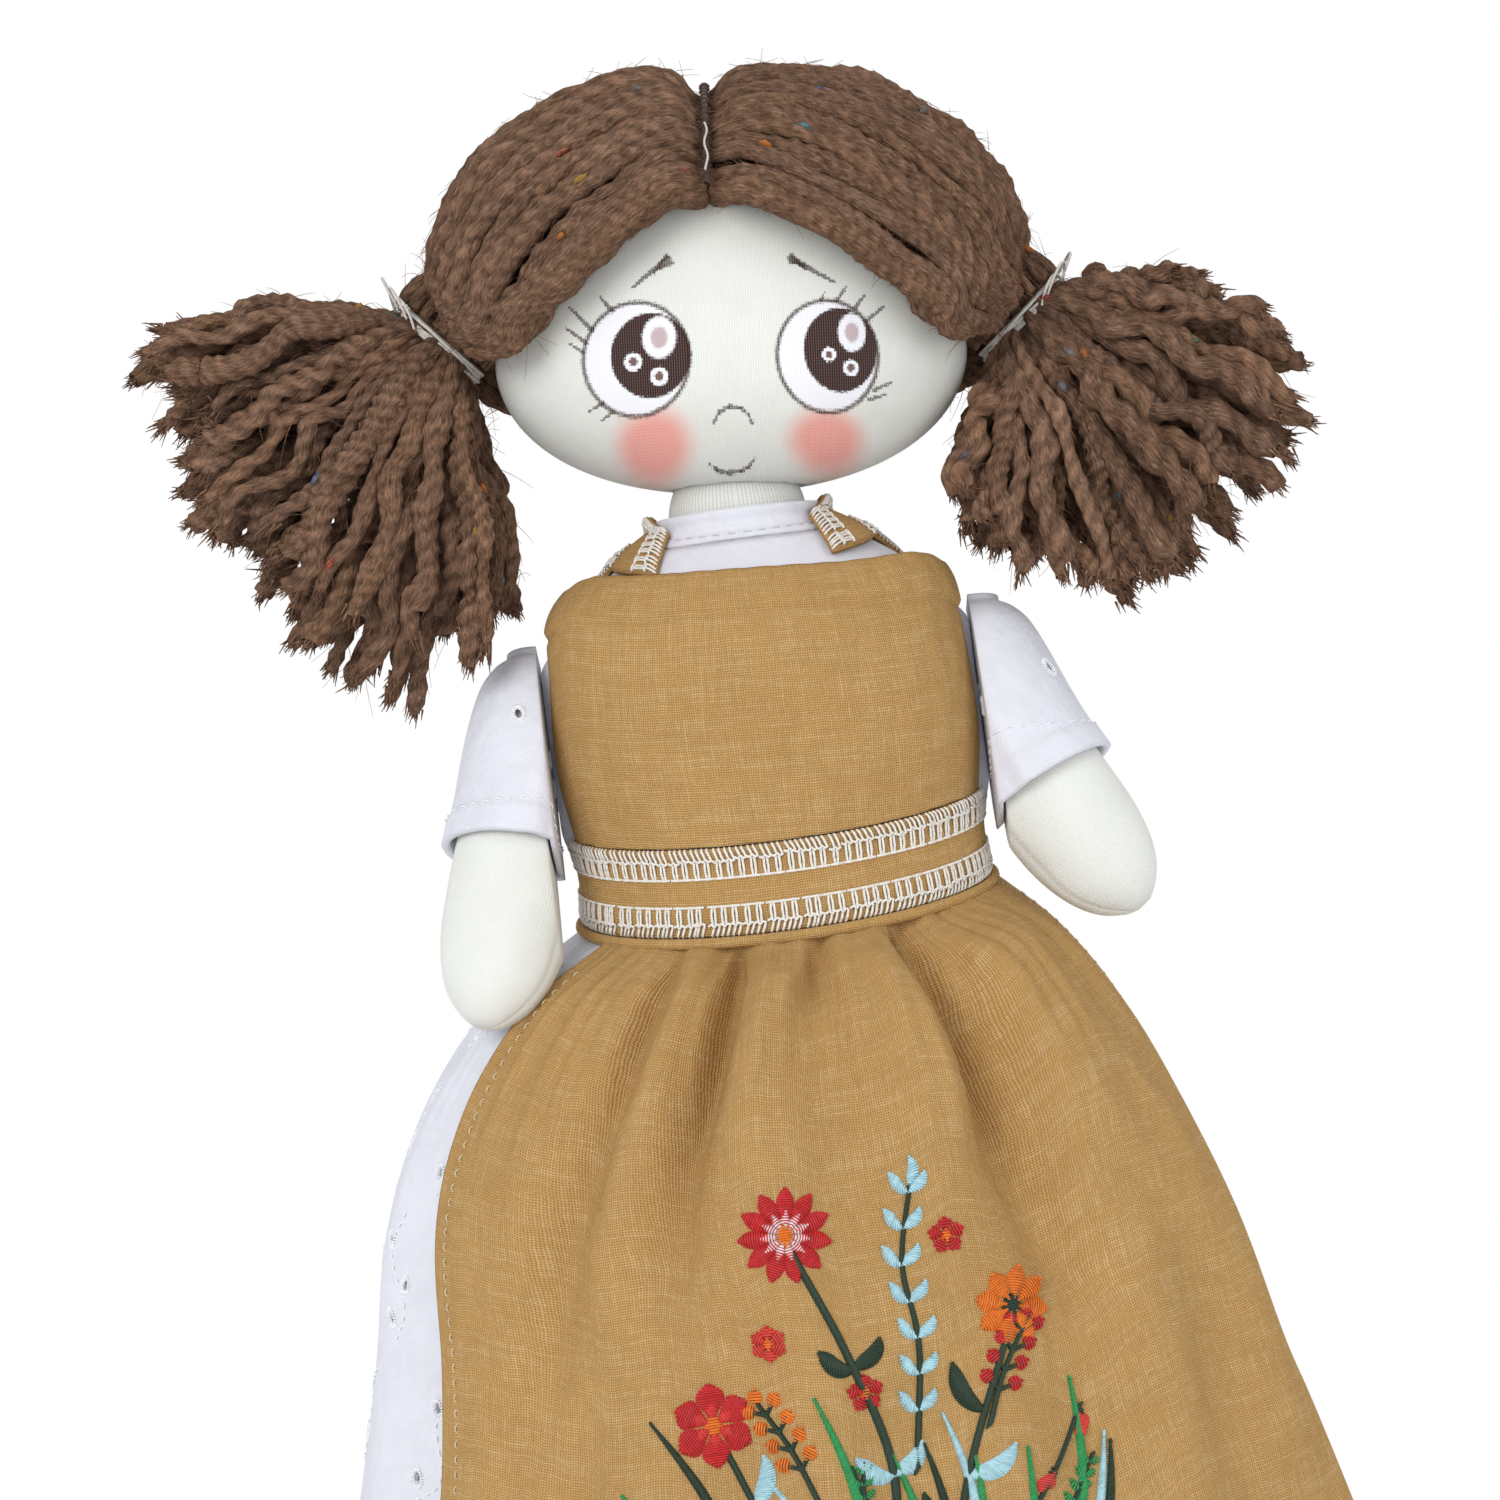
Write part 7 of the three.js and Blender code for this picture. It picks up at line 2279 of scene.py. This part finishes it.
@dataclass
class LegPiece:
    """Stuffed leg with its felt shoe, leather sole and ankle strap."""

    side: Side
    out: float = 17.0
    hip: float = 186.0
    radius: float = 13.3
    drop: float = 174.0
    slim: float = 8.2 / 13.3 / 0.617
    shoe_half: float = 13.0
    shoe_length: float = 52.0
    heel: float = 19.0
    foot: float = 3.85
    tall: float = 17.5
    ankle: float = 8.55
    rows: tuple[tuple[float, float], ...] = (
        (0, 1), (0.3, 0.9), (0.5, 0.8), (0.62, 0.79), (0.8, 0.72), (0.92, 0.63), (1, 0.617))
    shoe_rows: tuple[tuple[float, float, float], ...] = (
        (0, 0.42, 0.62), (0.04, 0.62, 0.85), (0.14, 0.82, 1), (0.34, 0.86, 1), (0.52, 0.88, 0.9),
        (0.7, 0.99, 0.7), (0.85, 0.94, 0.56), (0.95, 0.7, 0.42), (1, 0.42, 0.26))

    def width(self, share: Array) -> Array:
        """Radius of the leg at shares of its drop."""
        return self.radius * table(self.rows, share) * (1 + (self.slim - 1) * share)

    def piece(self, mesher: Mesher, name: str, look: Finish, slot: Slot, *nodes: str) -> Piece:
        """Makes a piece of this leg, moved to its side."""
        word = self.side.word
        mesher.points = [points + (self.side.value * self.out, 0, 0) for points in mesher.points]
        nodes = [f"{node}_{word}" for node in nodes]
        return mesher.piece(f"{name}_{word}", look, f"leg_{word}", slot, *nodes)

    def leg(self) -> None:
        """Makes the leg with a seam down its back."""
        turns, dome, share = circle(80), np.radians(np.linspace(82, 0, 14)), np.linspace(0, 1, 110)[1:]
        rises = np.r_[self.radius * np.sin(dome), -self.drop * share][:, None]
        radii = np.r_[self.radius * np.cos(dome), self.width(share)][:, None]
        reach = radii - 0.3 * bell(turns - math.pi, 0.06)
        skin = Mesher()
        skin.skin(around(reach, reach, turns, self.hip + rises))
        self.piece(skin, "leg_knit", KNIT, Slot.KNIT, "leg")

    def shoe(self) -> None:
        """Makes the shoe with the rim of its ankle opening and the stitches of its welt."""
        shares, turns = np.linspace(0, 1, 80), np.linspace(0, math.pi, 60)
        wide, tall = table(self.shoe_rows, shares, 1)[:, None], table(self.shoe_rows, shares, 2)[:, None]

        def shell(inset: float) -> Array:
            """Outside of the shoe, moved in."""
            x = (self.shoe_half - inset) * wide * np.cos(turns)
            y = self.heel - inset - (self.shoe_length - 2 * inset) * shares[:, None] + 0 * turns
            z = self.foot + (self.tall - inset) * tall * np.maximum(np.sin(turns), 0) ** 0.8
            return np.stack([x, y, z], -1)

        outer = shell(0.0)
        hole = self.ankle
        away = np.hypot(outer[..., 0], outer[..., 1])
        near = (away < hole + 0.9) & (away > hole - 0.9) & (outer[..., 2] > self.foot + 6)
        outer[..., :2] *= np.where(near, hole / np.maximum(away, 0.1), 1)[..., None]
        middle = (outer[:-1, :-1] + outer[1:, 1:]) / 2
        keep = ~((np.hypot(middle[..., 0], middle[..., 1]) < hole - 0.25) & (middle[..., 2] > self.foot + 6))
        felt, threads = Mesher(), Mesher()
        felt.grid(outer, None, False, False, keep)
        felt.grid(shell(1.2), None, False, True, keep)
        felt.grid(np.stack([outer[:, 0], outer[:, -1]], 1), None, False, True)
        for row in (0, -1):
            foot = outer[row] * (1, 1, 0) + (0, 0, self.foot)
            felt.grid(np.stack([outer[row], foot]), None, False, row == 0)
        ring = np.linspace(0, TURN, 70)
        rim = np.stack([(hole + 0.1) * np.cos(ring), (hole + 0.1) * np.sin(ring),
                        21.0 - 0.6 * np.maximum(-np.sin(ring), 0)], -1)
        felt.tubes(rim[None], 0.75, 8)
        welt = np.stack([np.r_[outer[:, 0, 0], outer[::-1, -1, 0]] * 1.01,
                         np.r_[outer[:, 0, 1], outer[::-1, -1, 1]], np.full(160, self.foot + 1.6)], -1)
        for index in range(2, 156, 2):
            path = curve_points(welt[index:index + 3], 5)
            threads.tubes(path[None, :4], 0.22, 5, srgb(206, 180, 140))
        self.piece(felt, "felt_shoe", FELT, Slot.FELT, "shoe")
        self.piece(threads, "shoe_stitches", FLOSS, Slot.THREAD)

    def sole(self) -> None:
        """Makes the leather sole with rounded edges."""
        shares = np.linspace(0, 1, 70)
        half = self.shoe_half * table(self.shoe_rows, shares) + 0.9
        y = self.heel + 0.9 - (self.shoe_length + 1.8) * shares
        outline = np.r_[np.stack([half, y], 1), np.stack([-half[::-1], y[::-1]], 1)]
        middle = outline.mean(0)
        rows = [np.c_[middle + (outline - middle) * drawn, np.full(len(outline), z)]
                for drawn, z in ((0.02, 3.5), (0.7, 3.5), (0.955, 3.5), (0.99, 3.2), (1.0, 2.6), (1.0, 0.9),
                                 (0.99, 0.3), (0.955, 0.0), (0.7, 0.0), (0.02, 0.0))]
        hide = Mesher()
        hide.grid(np.stack(rows), None, True, False)
        self.piece(hide, "leather_sole", HIDE, Slot.LEATHER, "sole")

    def strap(self) -> None:
        """Makes the ankle strap with a small button."""
        turns = circle(90)
        heights = np.linspace(28.1, 23.1, 14)[:, None]
        inside = self.width(np.array([(self.hip - heights[-1, 0]) / self.drop]))[0] + 0.35
        outside = inside + 1.2 - 0.5 * np.linspace(-1, 1, 14)[:, None] ** 6
        felt = Mesher()
        felt.cloth(around(outside, outside, turns, heights), around(inside, inside, turns, heights), True)
        angle = math.radians(75) * self.side.value
        way = np.array([math.sin(angle), -math.cos(angle), 0])
        spot = way * (inside + 1.1) + (0, 0, 25.6)
        side, up = np.array([way[1], -way[0], 0]), np.array([0, 0, 1.0])
        edge = np.cos(turns)[:, None] * side + np.sin(turns)[:, None] * up
        rows = [spot + way * lift + radius * edge
                for radius, lift in ((0.05, 1.5), (0.9, 1.5), (1.2, 1.25), (1.6, 1.55), (2.0, 1.4),
                                     (2.2, 0.9), (2.1, 0.3), (1.8, 0.0))]
        felt.grid(np.stack(rows), None, True, False, None, NO_TINT, 1)
        self.piece(felt, "felt_strap", FELT, Slot.FELT, "ankle_strap").data.materials.append(HIDE.make())

    def build(self) -> None:
        """Makes the leg and what it wears."""
        self.leg()
        self.shoe()
        self.sole()
        self.strap()


@dataclass
class Studio:
    """Camera, soft light, white background and pale floor."""

    distance: float = 0.7
    lens: float = 92.3
    aim: tuple[float, float] = (-3.26, 275.3)
    roll: float = math.radians(7.4)
    ambient: float = 0.7

    def camera(self) -> None:
        """Makes the camera at the photograph's angle."""
        data = bpy.data.cameras.new("camera")
        data.lens, data.sensor_width = self.lens, 36.0
        camera = bpy.data.objects.new("camera", data)
        c, s = math.cos(self.roll), math.sin(self.roll)
        turn = Matrix(((c, s, 0), (0, 0, -1), (-s, c, 0)))
        place = Vector(((AXIS_X + self.aim[0]) * MM, -self.distance, self.aim[1] * MM))
        camera.matrix_world = Matrix.Translation(place) @ turn.to_4x4()
        link(camera)
        bpy.context.scene.camera = camera

    def lamp(self, name: str, place: tuple[float, float, float], power: float, size: float) -> None:
        """Makes one soft lamp that looks at the doll."""
        data = bpy.data.lights.new(name, "AREA")
        data.energy, data.size, data.shape = power, size, "DISK"
        lamp = bpy.data.objects.new(name, data)
        lamp.location = place
        way = Vector((0, 0, 0.27)) - Vector(place)
        lamp.rotation_euler = way.to_track_quat("-Z", "Y").to_euler()
        link(lamp)

    def world(self) -> None:
        """Makes the world: soft light, and white where it is seen or mirrored."""
        world = bpy.data.worlds.new("studio")
        bpy.context.scene.world = world
        world.use_nodes = True
        graph = Graph(world.node_tree)
        rays = graph.add("ShaderNodeLightPath")
        seen = graph.math("MAXIMUM", rays.outputs["Is Camera Ray"],
                          graph.math("MAXIMUM", rays.outputs["Is Glossy Ray"],
                                     rays.outputs["Is Transmission Ray"]))
        soft = graph.add("ShaderNodeBackground", (0.97, 0.985, 1.0, 1.0), self.ambient)
        white = graph.add("ShaderNodeBackground", (1.0, 1.0, 1.0, 1.0), 1.0)
        both = graph.add("ShaderNodeMixShader", seen, soft.outputs[0], white.outputs[0])
        graph.add("ShaderNodeOutputWorld", both.outputs[0])

    def floor(self) -> None:
        """Makes the pale floor."""
        wide, deep = np.linspace(-600, 600, 13), np.linspace(-600, 480, 13)
        points = np.stack(np.meshgrid(wide, deep, indexing="ij") + [np.full((13, 13), -0.02)], -1)
        mesher = Mesher()
        mesher.grid(points.transpose(1, 0, 2))
        material = bpy.data.materials.new("pale_floor")
        material.use_nodes = True
        graph = Graph(material.node_tree)
        surface = graph.add("ShaderNodeBsdfPrincipled")
        tone = graph.group(soft_tone(), graph.place(), 60.0)
        shade = graph.mix(tone.outputs[0], (0.93, 0.93, 0.93), (0.9, 0.9, 0.9))
        graph.put(surface.inputs["Base Color"], shade)
        surface.inputs["Roughness"].default_value = 0.9
        graph.add("ShaderNodeOutputMaterial", surface.outputs[0])
        mesher.build("floor", [material])

    def build(self) -> None:
        """Makes the studio."""
        bpy.context.scene.view_settings.view_transform = "Standard"
        self.camera()
        self.world()
        self.floor()
        self.lamp("key", (-0.6, -1.1, 0.8), 8.0, 0.8)
        self.lamp("fill", (0.95, -0.85, 0.45), 3.2, 0.9)
        self.lamp("rim", (0.3, 1.1, 0.9), 4.0, 0.8)


def main() -> None:
    """Builds the studio and the doll."""
    logging.basicConfig(level=logging.INFO, format="%(name)s %(message)s")
    pieces = [
        Studio(), TorsoPiece(), HeadPiece(), DressPiece(), ApronPiece(), BowPiece(), PartingPiece(),
        WigHalfPiece(Side.LEFT), WigHalfPiece(Side.RIGHT),
        PigtailPiece(Side.LEFT, LEFT_FAN), PigtailPiece(Side.RIGHT, RIGHT_FAN),
        ArmPiece(Side.LEFT, 63, 8, 8, 27), ArmPiece(Side.RIGHT, 57, 2, 21, 15),
        LegPiece(Side.LEFT), LegPiece(Side.RIGHT),
    ]
    for piece in pieces:
        log.info("building %s", type(piece).__name__)
        piece.build()
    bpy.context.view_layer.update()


if __name__ == "__main__":
    main()
